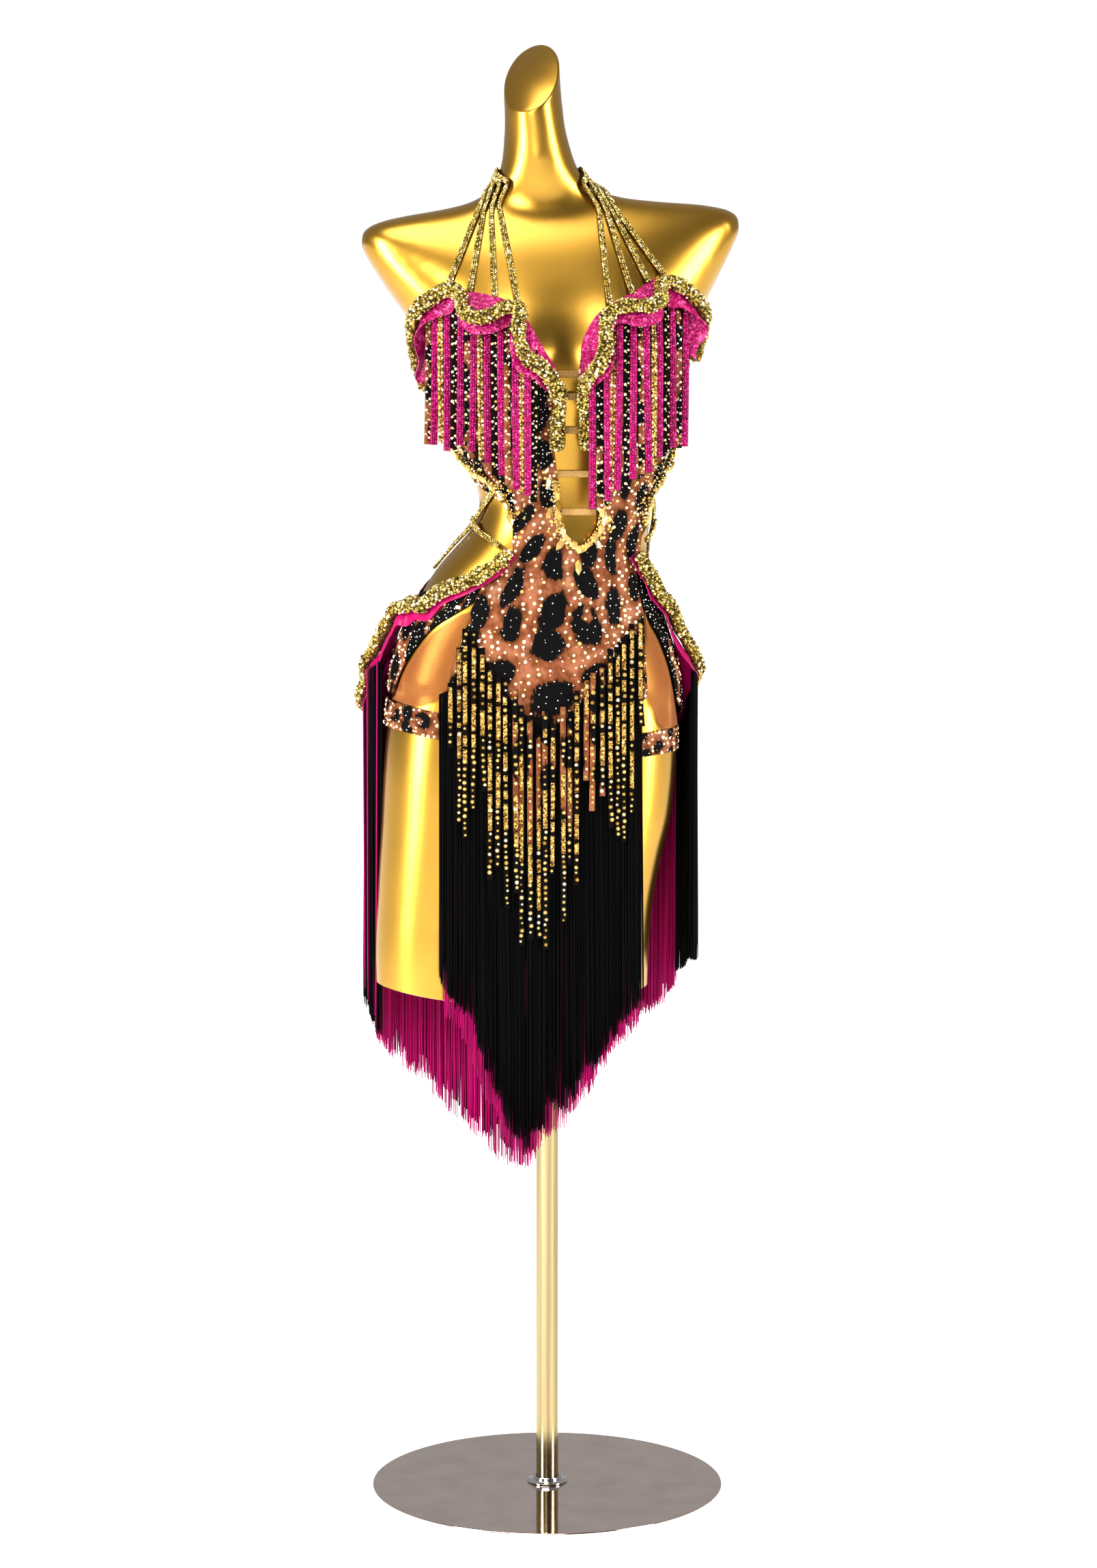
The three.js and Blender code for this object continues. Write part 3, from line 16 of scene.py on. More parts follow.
import bmesh
import bpy
import numpy as np
from mathutils import Matrix, Vector
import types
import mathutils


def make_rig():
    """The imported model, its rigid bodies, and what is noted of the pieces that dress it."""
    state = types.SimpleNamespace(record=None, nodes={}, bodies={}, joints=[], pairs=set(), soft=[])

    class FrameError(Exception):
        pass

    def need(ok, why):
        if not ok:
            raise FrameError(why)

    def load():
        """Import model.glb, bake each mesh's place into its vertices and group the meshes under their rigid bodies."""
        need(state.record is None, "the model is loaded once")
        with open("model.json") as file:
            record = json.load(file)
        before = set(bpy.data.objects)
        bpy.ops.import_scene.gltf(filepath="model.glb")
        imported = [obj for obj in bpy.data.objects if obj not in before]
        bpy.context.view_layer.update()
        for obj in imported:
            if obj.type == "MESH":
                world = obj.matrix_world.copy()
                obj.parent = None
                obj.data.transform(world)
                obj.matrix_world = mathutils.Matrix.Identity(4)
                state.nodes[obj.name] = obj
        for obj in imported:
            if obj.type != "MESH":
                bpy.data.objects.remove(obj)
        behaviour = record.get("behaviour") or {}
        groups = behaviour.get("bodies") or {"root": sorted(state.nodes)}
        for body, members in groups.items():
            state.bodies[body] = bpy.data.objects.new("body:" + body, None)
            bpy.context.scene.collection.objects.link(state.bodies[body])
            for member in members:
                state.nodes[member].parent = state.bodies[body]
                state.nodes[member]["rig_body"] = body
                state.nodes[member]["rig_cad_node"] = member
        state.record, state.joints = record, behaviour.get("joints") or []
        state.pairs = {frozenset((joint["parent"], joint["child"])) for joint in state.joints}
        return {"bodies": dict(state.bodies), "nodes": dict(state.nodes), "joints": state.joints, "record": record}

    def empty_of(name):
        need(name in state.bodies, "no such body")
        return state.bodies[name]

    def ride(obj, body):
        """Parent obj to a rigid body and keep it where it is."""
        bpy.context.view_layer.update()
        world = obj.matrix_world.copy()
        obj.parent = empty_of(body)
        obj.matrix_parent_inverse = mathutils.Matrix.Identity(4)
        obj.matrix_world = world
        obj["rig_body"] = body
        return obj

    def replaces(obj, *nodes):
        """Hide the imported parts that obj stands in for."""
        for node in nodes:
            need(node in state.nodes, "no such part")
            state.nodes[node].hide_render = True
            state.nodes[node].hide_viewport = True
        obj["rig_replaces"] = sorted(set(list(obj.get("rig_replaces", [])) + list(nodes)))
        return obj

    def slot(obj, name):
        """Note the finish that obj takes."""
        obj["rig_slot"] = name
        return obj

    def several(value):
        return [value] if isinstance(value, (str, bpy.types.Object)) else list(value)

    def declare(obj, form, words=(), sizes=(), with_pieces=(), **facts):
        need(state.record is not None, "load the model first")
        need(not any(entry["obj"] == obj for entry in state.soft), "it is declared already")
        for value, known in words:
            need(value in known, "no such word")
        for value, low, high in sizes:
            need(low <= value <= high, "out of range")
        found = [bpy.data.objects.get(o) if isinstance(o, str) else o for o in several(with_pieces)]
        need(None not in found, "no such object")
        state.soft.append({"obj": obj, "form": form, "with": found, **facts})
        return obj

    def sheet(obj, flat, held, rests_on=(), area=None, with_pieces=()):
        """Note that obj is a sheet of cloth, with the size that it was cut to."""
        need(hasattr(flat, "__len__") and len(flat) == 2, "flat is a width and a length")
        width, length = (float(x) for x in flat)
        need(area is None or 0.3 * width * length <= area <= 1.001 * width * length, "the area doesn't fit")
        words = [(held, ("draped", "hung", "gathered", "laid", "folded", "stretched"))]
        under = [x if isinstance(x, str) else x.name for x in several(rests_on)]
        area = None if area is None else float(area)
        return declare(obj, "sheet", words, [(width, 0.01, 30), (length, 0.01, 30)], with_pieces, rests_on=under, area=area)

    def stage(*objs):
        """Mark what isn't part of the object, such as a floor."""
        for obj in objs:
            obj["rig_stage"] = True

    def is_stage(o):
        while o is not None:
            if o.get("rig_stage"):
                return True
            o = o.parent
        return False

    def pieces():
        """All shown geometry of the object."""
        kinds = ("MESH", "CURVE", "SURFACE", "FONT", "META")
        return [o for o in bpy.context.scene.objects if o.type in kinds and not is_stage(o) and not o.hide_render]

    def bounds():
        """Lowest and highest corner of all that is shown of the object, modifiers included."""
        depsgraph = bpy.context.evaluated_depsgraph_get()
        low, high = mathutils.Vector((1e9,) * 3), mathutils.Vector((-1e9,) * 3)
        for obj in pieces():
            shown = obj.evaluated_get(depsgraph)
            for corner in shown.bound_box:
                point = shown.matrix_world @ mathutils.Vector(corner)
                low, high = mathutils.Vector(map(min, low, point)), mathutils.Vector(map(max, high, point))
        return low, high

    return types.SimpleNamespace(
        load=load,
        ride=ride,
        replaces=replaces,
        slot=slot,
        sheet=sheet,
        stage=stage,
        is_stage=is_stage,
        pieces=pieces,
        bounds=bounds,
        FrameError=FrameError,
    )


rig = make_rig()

Array = np.ndarray
Table = dict[str, Array]
Link = bpy.types.NodeSocket
Piece = bpy.types.Object
Chance = np.random.Generator

log = logging.getLogger("dress")
MM = 0.001
YAW = math.radians(7)
AHEAD = np.array([math.sin(YAW), -math.cos(YAW), 0.0])
CLOTH = 1.2
SKIN_GAP = 1.2
SEAM = 0.4
CUP_EASE = 4.4
OVER_CLOTH = SKIN_GAP + CLOTH + 0.8
BODICE_SIDE = 97.0
WAIST_SEAM = 1060.0


class Side(Enum):
    """The two sides of the dress, as seen from the front."""

    LEFT = -1
    RIGHT = 1

    @property
    def label(self) -> str:
        """The side's name as it stands in the frame's nodes."""
        return self.name.lower()


class Cut(Enum):
    """Shapes of a set stone or bead."""

    BEAD = "bead"
    STONE = "stone"
    DROP = "drop"


# ---------------------------------------------------------------- tables


def table(columns: str, *rows: Sequence[float]) -> Table:
    """Gives named columns to short rows.

    Args:
        columns: The columns' names, parted by spaces.
        rows: One tuple for each section, stop or fold.

    Returns:
        Each column as an array under its name.
    """
    return dict(zip(columns.split(), np.array(rows, float).T))


TRUNK = table(
    "z cx cy half front back power roll pitch",
    (845, -15, 4, 162, 80, 88, 2.8, -0.05, 0),
    (880, -15, 4, 162, 82, 93, 2.7, -0.05, 0),
    (905, -14, 3, 161, 83, 97, 2.6, -0.05, 0),
    (940, -12, 2, 155, 84, 101, 2.4, -0.05, 0),
    (960, -11, 1, 149, 84, 101, 2.3, -0.05, 0),
    (983, -10, 0, 140, 84, 97, 2.2, -0.04, 0),
    (1018, -7, 0, 126, 82, 87, 2.2, -0.03, 0),
    (1040, -3, 0, 116, 79, 79, 2.2, -0.02, 0),
    (1060, 4, 0, 106, 76, 73, 2.2, -0.01, 0),
    (1082, 14, 0, 98, 73, 67, 2.2, 0, 0),
    (1103, 20, 0, 95, 71, 64, 2.2, 0, 0),
    (1122, 22, 0, 98, 71, 64, 2.2, 0.005, 0),
    (1145, 22, 0, 106, 73, 66, 2.2, 0.01, 0),
    (1180, 19, 1, 118, 78, 72, 2.2, 0.02, 0),
    (1220, 17, 3, 129, 84, 79, 2.2, 0.03, 0),
    (1262, 15, 5, 140, 87, 84, 2.2, 0.04, 0),
    (1300, 12, 7, 153, 84, 85, 2.3, 0.047, 0),
    (1340, 8, 9, 176, 74, 80, 2.5, 0.047, 0),
    (1365, 6, 10, 191, 65, 73, 2.7, 0.047, 0),
    (1385, 5, 11, 202, 57, 66, 2.8, 0.047, 0),
    (1404, 4, 12, 210, 48, 58, 2.8, 0.047, 0),
    (1416, 4, 13, 208, 41, 51, 2.7, 0.047, 0),
    (1424, 4, 13, 193, 36, 46, 2.5, 0.047, 0),
    (1430, 3, 13, 163, 33, 42, 2.3, 0.047, 0),
    (1435, 1, 13, 118, 33, 41, 2.1, 0.045, 0),
    (1441, -2, 12, 84, 37, 42, 2, 0.04, 0),
    (1449, -5, 11, 64, 40, 43, 2, 0.03, 0),
    (1460, -7, 9, 51, 41, 42, 2, 0.02, 0),
    (1474, -9, 7, 43, 41, 41, 2, 0.01, 0),
    (1494, -11, 5, 37.5, 40, 40, 2, 0, 0),
    (1524, -14, 2, 33, 39, 39, 2, 0, 0),
    (1570, -17, 0, 30.5, 38, 38, 2, 0.45, 1.05),
)
THIGH_COLUMNS = "z cx cy half front back"
THIGHS = {
    Side.LEFT: table(
        THIGH_COLUMNS,
        (540, -125, -14, 64, 59, 60), (604, -123.5, -14, 68, 62, 64),
        (680, -117, -13, 71.5, 65, 68), (760, -108, -12, 76, 68, 73),
        (835, -99.5, -11, 80.5, 70, 79), (880, -96.5, -10, 78.5, 70, 82),
        (905, -94, -9, 76, 68, 82), (930, -91, -9, 68, 62, 76),
    ),
    Side.RIGHT: table(
        THIGH_COLUMNS,
        (540, 65.5, 0, 45, 55, 60), (604, 65.5, 0, 47.5, 57, 63), (660, 67.5, 2, 49.5, 58, 67),
        (720, 73, 4, 54.5, 59, 70), (770, 78.5, 6, 60, 60, 72), (835, 81, 8, 62.5, 62, 76),
        (880, 80, 9, 63.5, 63, 79), (905, 72, 9, 68, 62, 80), (930, 66, 9, 62, 58, 74),
    ),
}
THIGH_SLANT = {Side.LEFT: -0.17, Side.RIGHT: 0.12}
THIGH_END = 570.0
NECK_END = 1570.0

STOPS = "root_x root_z rope_x rope_z out drop"
BUST_FLOUNCE = {
    Side.LEFT: table(
        STOPS,
        (12, 1222, 12, 1205, 15, 6), (14, 1238, 13, 1226, 16, 7), (8, 1256, 6, 1240, 17, 9),
        (-3, 1274, -6, 1255, 20, 11), (-12, 1290, -22, 1268, 23, 12),
        (-20, 1304, -31, 1284, 26, 12), (-27, 1316, -31, 1302, 25, 14),
        (-36, 1324, -30, 1318, 20, 9), (-48, 1330, -44, 1320, 21, 11),
        (-62, 1334, -62, 1311, 27, 11), (-76, 1337, -78, 1309, 30, 10),
        (-87, 1340, -91, 1320, 26, 11), (-95, 1343, -93, 1334, 18, 16),
        (-106, 1344, -106, 1341, 15, 20), (-120, 1336, -128, 1329, 16, 18),
        (-132, 1320, -143, 1313, 15, 15), (-133, 1300, -145, 1294, 14, 12),
        (-131, 1280, -142, 1272, 14, 10), (-128, 1260, -138, 1251, 14, 8),
        (-124, 1244, -133, 1233, 14, 6),
    ),
    Side.RIGHT: table(
        STOPS,
        (41, 1218, 42, 1204, 16, 6), (38, 1234, 39, 1220, 17, 7), (36, 1250, 40, 1237, 16, 9),
        (36, 1264, 47, 1249, 19, 11), (37, 1280, 57, 1262, 24, 12), (42, 1294, 63, 1278, 27, 13),
        (48, 1305, 63, 1296, 25, 11), (57, 1316, 66, 1312, 21, 11), (68, 1324, 76, 1321, 21, 12),
        (82, 1332, 92, 1322, 25, 13), (95, 1339, 108, 1322, 28, 13), (105, 1346, 121, 1328, 25, 12),
        (113, 1351, 123, 1339, 18, 14), (122, 1355, 124, 1349, 15, 18),
        (136, 1353, 139, 1348, 15, 21), (146, 1340, 156, 1337, 16, 19),
        (152, 1322, 169, 1319, 17, 17), (152, 1304, 170, 1302, 16, 14),
        (150, 1288, 164, 1284, 14, 11), (147, 1274, 159, 1266, 13, 8),
    ),
}
ROPE_TAIL = {
    Side.LEFT: table("x z out", (10.5, 1168, 9), (11.5, 1186, 10)),
    Side.RIGHT: table("x z out", (44, 1170, 9), (42, 1187, 11)),
}
PLUNGE = {
    Side.LEFT: table(
        "x z",
        (8, 1256), (14, 1236), (11, 1206), (8, 1166), (11, 1138), (13, 1111), (15, 1090), (21, 1074),
        (31, 1066), (33.6, 1061),
    ),
    Side.RIGHT: table(
        "x z",
        (36, 1256), (34, 1237), (38, 1217), (45, 1182), (50, 1160), (53, 1124), (55, 1105), (55, 1090),
        (49, 1077), (40, 1068), (34.4, 1061),
    ),
}
BODICE_EDGE = {
    Side.LEFT: table(
        "x z",
        (-200, 1190), (-96, 1168), (-78, 1146), (-58, 1131), (-45, 1112), (-38, 1092), (-37, 1061),
    ),
    Side.RIGHT: table(
        "x z",
        (200, 1186), (135, 1170), (127, 1146), (115, 1126), (107, 1108), (103, 1085), (100, 1061),
    ),
}
FRONT_EDGE = {
    Side.LEFT: table(
        "x z",
        (-37, 1060), (-48, 1048), (-61, 1034), (-74, 1014), (-84, 990), (-91, 965), (-101, 933),
        (-108, 900),
    ),
    Side.RIGHT: table(
        "x z", (100, 1060), (96, 1041), (98, 1017), (104, 989), (106, 952), (106, 900)
    ),
}
FRONT_HEM = table(
    "x z", (-108, 900), (-80, 880), (-45, 862), (-5, 849), (40, 862), (80, 882), (106, 900)
)
SEAT_TOP = table(
    "angle z", (-118, 1030), (-150, 1037), (-180, 1039), (-210, 1037), (-242, 1030)
)
SEAT_TOP_SIDE = {
    Side.LEFT: table("x z", (-76, 1034), (-101, 1026), (-121, 1017), (-200, 1013)),
    Side.RIGHT: table("x z", (104, 1034), (112, 1022), (118, 1015), (200, 1012)),
}
LEG_OPENING = {
    Side.LEFT: table(
        "x z",
        (-80, 1002), (-97, 993), (-122, 977), (-141, 956), (-153, 938), (-161, 921), (-167, 904),
    ),
    Side.RIGHT: table(
        "x z", (103, 996), (112, 981), (121, 965), (128, 948), (134, 930), (138, 912), (141, 894)
    ),
}
SEAT_BOTTOM = table(
    "angle z", (-100, 901), (-130, 893), (-180, 886), (-230, 876), (-258, 880)
)
LEG_BAND = {
    Side.LEFT: {"top": 880.0, "bottom": 851.0, "roll": -0.2},
    Side.RIGHT: {"top": 857.0, "bottom": 831.0, "roll": 0.11},
}
HIP_FRONT = {
    Side.LEFT: table(
        STOPS,
        (-40, 1061, -40, 1060, 13, 6), (-50, 1052, -49, 1050, 13, 7), (-61, 1044, -61, 1041, 13, 8),
        (-78, 1037, -79, 1031, 13, 8), (-98, 1028, -101, 1022, 13, 9),
        (-114, 1018, -121, 1013, 13, 10), (-127, 1006, -136, 1000, 13, 12),
    ),
    Side.RIGHT: table(
        STOPS,
        (99, 1059, 99, 1056, 13, 7), (103, 1047, 106, 1043, 13, 8), (107, 1033, 114, 1029, 13, 8),
        (112, 1018, 122, 1013, 13, 9),
    ),
}
ROUND_STOPS = "angle root_z rope_z out drop"
HIP_SIDE = {
    Side.LEFT: table(
        ROUND_STOPS,
        (-73, 1000, 993, 13, 14), (-81, 993, 985, 15, 16), (-86, 985, 980, 20, 20),
        (-90, 976, 966, 19, 20), (-93, 968, 948, 21, 16), (-96, 961, 931, 24, 14),
        (-99, 954, 920, 29, 14), (-104, 947, 905, 26, 12), (-108, 941, 886, 34, 12),
        (-115, 937, 876, 37, 12), (-125, 934, 888, 32, 12), (-136, 931, 872, 35, 12),
        (-148, 929, 886, 31, 12), (-160, 927, 870, 33, 12), (-171, 926, 884, 29, 12),
        (-179, 925, 876, 30, 12),
    ),
    Side.RIGHT: table(
        ROUND_STOPS,
        (74, 1002, 995, 14, 11), (79, 987, 975, 14, 16), (84, 974, 956, 18, 18),
        (87, 966, 944, 22, 18), (90, 959, 932, 24, 14), (93, 953, 919, 20, 14),
        (96, 948, 905, 17, 14), (100, 943, 889, 19, 14), (106, 939, 877, 20, 12),
        (114, 936, 866, 26, 12), (124, 933, 882, 30, 12), (135, 931, 868, 29, 12),
        (147, 929, 884, 29, 12), (159, 927, 870, 32, 12), (170, 926, 884, 29, 12),
        (179, 925, 876, 30, 12),
    ),
}
NECK_STRAPS = {
    Side.LEFT: table("x z", (-104, 1352), (-82, 1347), (-57, 1342), (-33, 1334)),
    Side.RIGHT: table("x z", (121, 1365), (106, 1357), (89, 1345), (66, 1335)),
}
NECK_POINT = {Side.LEFT: (-80.0, 1451.0), Side.RIGHT: (80.0, 1448.0)}
NECK_KNOT = {Side.LEFT: (-9.0, -6.0, -25.0), Side.RIGHT: (17.0, -6.0, -29.0)}
NECK_FAN, NECK_RISE = 11.0, 2.5
PENDANTS = table(
    "x z lean",
    (34, 1043, 180), (15, 1068, 215), (55, 1068, 145), (3, 1102, 205), (62, 1098, 160), (2, 1134, 190),
)
CROSS_STRAPS = (1250, 1226, 1190, 1143, 1102)
SIDE_STRAP = {
    Side.LEFT: table("angle z", (-58, 1124), (-74, 1106), (-84, 1086), (-93, 1062), (-103, 1034)),
    Side.RIGHT: table("angle z", (62, 1118), (76, 1104), (85, 1086), (94, 1062), (103, 1034)),
}
WAIST_STRAP = {
    Side.LEFT: table("angle z", (-84.5, 1091), (-64, 1079), (-47, 1070), (-35, 1063)),
    Side.RIGHT: table("angle z", (85.5, 1091), (70, 1079), (60, 1071)),
}
BUST_BOTTOMS = {
    Side.LEFT: table(
        "x z",
        (-134, 1176), (-105, 1172), (-81, 1168), (-65, 1154), (-43, 1135), (-17, 1114), (-8, 1106),
    ),
    Side.RIGHT: table(
        "x z", (51, 1106), (72, 1121), (97, 1139), (112, 1150), (128, 1168), (152, 1174)
    ),
}
GOLD_ROOTS = table(
    "x z",
    (-106, 908), (-101, 926), (-92, 952), (-84, 972), (-76, 962), (-64, 941), (-45, 912), (-23, 886),
    (-3, 872), (21, 883), (50, 919), (72, 947), (90, 968), (98, 972), (104, 962),
)
GOLD_BOTTOMS = table(
    "x z",
    (-108, 815), (-96, 768), (-82, 732), (-68, 716), (-56, 690), (-48, 676), (-34, 650), (-23, 612),
    (-10, 640), (0, 622), (14, 642), (24, 690), (34, 698), (46, 742), (58, 716), (66, 762), (76, 750),
    (91, 735), (104, 800),
)
BLACK_HEM = table(
    "x z",
    (-119, 590), (-100, 568), (-85, 538), (-66, 491), (-48, 452), (-35, 414), (-26, 400), (-9, 418),
    (1, 434), (29, 462), (38, 480), (69, 522), (104, 571),
)
PINK_HEM = table(
    "x z",
    (-119, 566), (-100, 544), (-85, 512), (-67, 466), (-48, 426), (-36, 392), (-27, 380), (-9, 404),
    (1, 418), (29, 448), (69, 508), (104, 560),
)
BACK_HEM = table(
    "x z",
    (-224, 574), (-201, 534), (-181, 497), (-158, 466), (-127, 433), (-95, 396), (-60, 362),
    (-27, 342), (1, 378), (31, 416), (73, 476), (105, 512), (131, 545), (160, 590),
)
PINK_OUT = table(
    "angle out",
    (-98, 12), (-112, 20), (-130, 24), (-180, 20), (-225, 15), (-245, 9), (-264, 6),
)


# ---------------------------------------------------------------- curves


def unit(vectors: Array) -> Array:
    """Vectors of length one."""
    return vectors / np.maximum(np.linalg.norm(vectors, axis=-1, keepdims=True), 1e-9)


def rising(rows: Table, along: str, name: str) -> tuple[Array, Array]:
    """Two columns in rising order of the first."""
    order = np.argsort(rows[along])
    return rows[along][order], rows[name][order]


def line_at(rows: Table, along: str, name: str, at: Array | float) -> Array:
    """Straight-line value of a column at places along another."""
    return np.interp(at, *rising(rows, along, name))


def smooth_at(rows: Table, along: str, name: str, at: Array | float) -> Array:
    """Smooth value of a column at places along another, without overshoot.

    Args:
        rows: The table.
        along: The column that holds the places.
        name: The column that is read.
        at: The places.

    Returns:
        One value for each place.
    """
    xs, ys = rising(rows, along, name)
    width = np.diff(xs)
    step = np.diff(ys) / width
    slope = np.concatenate([step[:1], np.zeros(len(xs) - 2), step[-1:]])
    before, after = step[:-1], step[1:]
    same = before * after > 0
    total = np.where(same, before + after, 1)
    slope[1:-1] = np.where(same, 2 * before * after / total, 0)
    place = np.clip(at, xs[0], xs[-1])
    i = np.clip(np.searchsorted(xs, place) - 1, 0, len(xs) - 2)
    t = (place - xs[i]) / width[i]
    t2, t3 = t * t, t * t * t
    return (
        (2 * t3 - 3 * t2 + 1) * ys[i]
        + (t3 - 2 * t2 + t) * width[i] * slope[i]
        + (3 * t2 - 2 * t3) * ys[i + 1]
        + (t3 - t2) * width[i] * slope[i + 1]
    )


def follow(points: Array, per_stop: int) -> Array:
    """A smooth centripetal curve through stops.

    Args:
        points: The stops, one row each.
        per_stop: Points on the curve for each stop, so that lines with equal stops keep step.

    Returns:
        The curve's points.
    """
    points = np.asarray(points, float)
    ends = (2 * points[:1] - points[1:2], points, 2 * points[-1:] - points[-2:-1])
    p = np.concatenate(ends)
    gap = np.maximum(np.linalg.norm(np.diff(p, axis=0), axis=1) ** 0.5, 1e-4)[:, None]
    p0, p1, p2, p3 = p[:-3], p[1:-2], p[2:-1], p[3:]
    d0, d1, d2 = gap[:-2], gap[1:-1], gap[2:]
    m1 = ((p1 - p0) / d0 - (p2 - p0) / (d0 + d1) + (p2 - p1) / d1) * d1
    m2 = ((p2 - p1) / d1 - (p3 - p1) / (d1 + d2) + (p3 - p2) / d2) * d1
    t = (np.arange(per_stop) / per_stop)[None, :, None]
    t2, t3 = t * t, t * t * t
    curve = (
        (2 * t3 - 3 * t2 + 1) * p1[:, None]
        + (t3 - 2 * t2 + t) * m1[:, None]
        + (3 * t2 - 2 * t3) * p2[:, None]
        + (t3 - t2) * m2[:, None]
    )
    return np.concatenate([curve.reshape(-1, points.shape[1]), points[-1:]])


def lengths(points: Array) -> Array:
    """Distance run along a line at each of its points."""
    return np.concatenate([[0], np.cumsum(np.linalg.norm(np.diff(points, axis=0), axis=1))])


def along_line(points: Array, at: Array, other: Array | None = None) -> Array:
    """Values on a line at distances run along it.

    Args:
        points: The line.
        at: Distances from its start.
        other: Values that go with the line's points, in place of the points themselves.

    Returns:
        One row for each distance.
    """
    run = lengths(points)
    values = points if other is None else other
    return np.stack([np.interp(at, run, column) for column in values.T], -1)


def spread(points: Array, count: int) -> Array:
    """Points spread evenly along a smooth curve through the given ones."""
    dense = follow(points, 24)
    return along_line(dense, np.linspace(0, lengths(dense)[-1], count + 1))


def wander(rng: Chance, count: int, reach: float, amount: float) -> Array:
    """Smooth random values along a row of things.

    Args:
        rng: The source of chance.
        count: How many values.
        reach: Over how many things the value keeps its sign.
        amount: The usual size of a value.

    Returns:
        The values.
    """
    knots = max(3, int(count / reach) + 3)
    raw = rng.normal(0, amount, (knots, 1))
    dense = follow(raw, 16)[:, 0]
    return np.interp(np.linspace(0, 1, count), np.linspace(0, 1, len(dense)), dense)


# ---------------------------------------------------------------- the body's surface


@dataclass(frozen=True)
class Body:
    """The form's trunk as sections, with room for the cups, and places seen on it from the front."""

    bust_aside: float = 62
    bust_z: float = 1258
    bust_height: float = 32
    bust_width: float = 44
    bust_above: float = 50
    bust_below: float = 40

    @staticmethod
    def section(row: Table, angle: Array, extra: Callable[[Array], Array] | None = None) -> Array:
        """Points on sections of the body.

        Args:
            row: The sections' sizes, one value for each angle.
            angle: Degrees from the centre front.
            extra: How far the front stands out, by the distance aside.

        Returns:
            The points.
        """
        turn = np.radians(angle)
        sin, cos = np.sin(turn), np.cos(turn)
        power = 2 / row.get("power", 2.0)
        aside = np.sign(sin) * row["half"] * np.abs(sin) ** power
        depth = np.where(cos > 0, row["front"], row["back"])
        forward = np.sign(cos) * depth * np.abs(cos) ** power
        if extra is not None:
            forward = forward + np.where(cos > 0, extra(aside), 0)
        x = aside * math.cos(YAW) + forward * math.sin(YAW)
        y = aside * math.sin(YAW) - forward * math.cos(YAW)
        z = row["z"] + row.get("roll", 0.0) * x + row.get("pitch", 0.0) * y
        return np.stack([row["cx"] + x, row["cy"] + y, z + 0 * x], -1)

    @staticmethod
    def row_at(rows: Table, z: Array) -> Table:
        """The sections' sizes at heights."""
        pick = {name: line_at if name in ("roll", "pitch") else smooth_at for name in rows}
        return {"z": z} | {name: pick[name](rows, "z", name, z) for name in rows if name != "z"}

    def fullness(self, z: Array, aside: Array) -> Array:
        """How much of the cups' full height stands at a place, 0 to 1.

        Args:
            z: Heights.
            aside: Distances from the body's middle.

        Returns:
            One share for each place.
        """
        rise = z - self.bust_z
        tall = np.exp(-((rise / np.where(rise > 0, self.bust_above, self.bust_below)) ** 2))
        near = np.exp(-(((aside - self.bust_aside) / self.bust_width) ** 2))
        far = np.exp(-(((aside + self.bust_aside) / self.bust_width) ** 2))
        return tall * (near + far)

    def trunk(self, z: Array, angle: Array) -> Array:
        """Points on the trunk's surface."""
        z, angle = np.broadcast_arrays(np.asarray(z, float), np.asarray(angle, float))
        row = self.row_at(TRUNK, z)
        return self.section(row, angle, lambda aside: self.bust_height * self.fullness(z, aside))

    def normal(self, z: Array, angle: Array) -> Array:
        """Outward directions on the trunk."""
        z, angle = np.asarray(z, float), np.asarray(angle, float)
        up = self.trunk(z + 1, angle) - self.trunk(z - 1, angle)
        around = self.trunk(z, angle + 1.5) - self.trunk(z, angle - 1.5)
        return unit(np.cross(around, up))

    def skin(self, z: Array, angle: Array, out: Array | float) -> Array:
        """Points off the trunk's surface.

        Args:
            z: Heights of the sections.
            angle: Degrees from the centre front.
            out: Distance from the surface.

        Returns:
            The points, with the cups' ease added.
        """
        z, angle, out = np.broadcast_arrays(
            np.asarray(z, float), np.asarray(angle, float), np.asarray(out, float)
        )
        aside = self.row_at(TRUNK, z)["half"] * np.sin(np.radians(angle))
        ease = CUP_EASE * np.minimum(1, 4.5 * self.fullness(z, aside))
        room = out + np.where(np.abs(angle) < 90, ease, 0)
        return self.trunk(z, angle) + self.normal(z, angle) * room[..., None]

    def seen(self, x: Array, z: Array, out: Array | float = 0.0) -> tuple[Array, Array]:
        """Finds what shows at a place from the front.

        Args:
            x: Places to the right.
            z: Places up.
            out: Distance from the surface.

        Returns:
            Angles and section heights.
        """
        x, z, out = np.broadcast_arrays(
            np.asarray(x, float), np.asarray(z, float), np.asarray(out, float)
        )
        height = z.copy()
        angle = np.zeros_like(height)
        for _ in range(3):
            low, high = np.full_like(angle, -BODICE_SIDE), np.full_like(angle, BODICE_SIDE)
            for _ in range(20):
                angle = (low + high) / 2
                short = self.skin(height, angle, out)[..., 0] < x
                low, high = np.where(short, angle, low), np.where(short, high, angle)
            height = height + z - self.skin(height, angle, out)[..., 2]
        return angle, height

    def on_front(self, x: Array, z: Array, out: Array | float) -> Array:
        """Points off the surface where a place shows from the front."""
        angle, height = self.seen(x, z, out)
        return self.skin(height, angle, out)

    def front_normal(self, x: Array, z: Array, out: Array | float = 0.0) -> Array:
        """Outward directions where a place shows from the front."""
        angle, height = self.seen(x, z, out)
        return self.normal(height, angle)

    def pattern(self, rows: Table) -> Array:
        """Angle and height pairs of a pattern line that is given from the front."""
        return np.stack(self.seen(rows["x"], rows["z"]), -1)


BODY = Body()


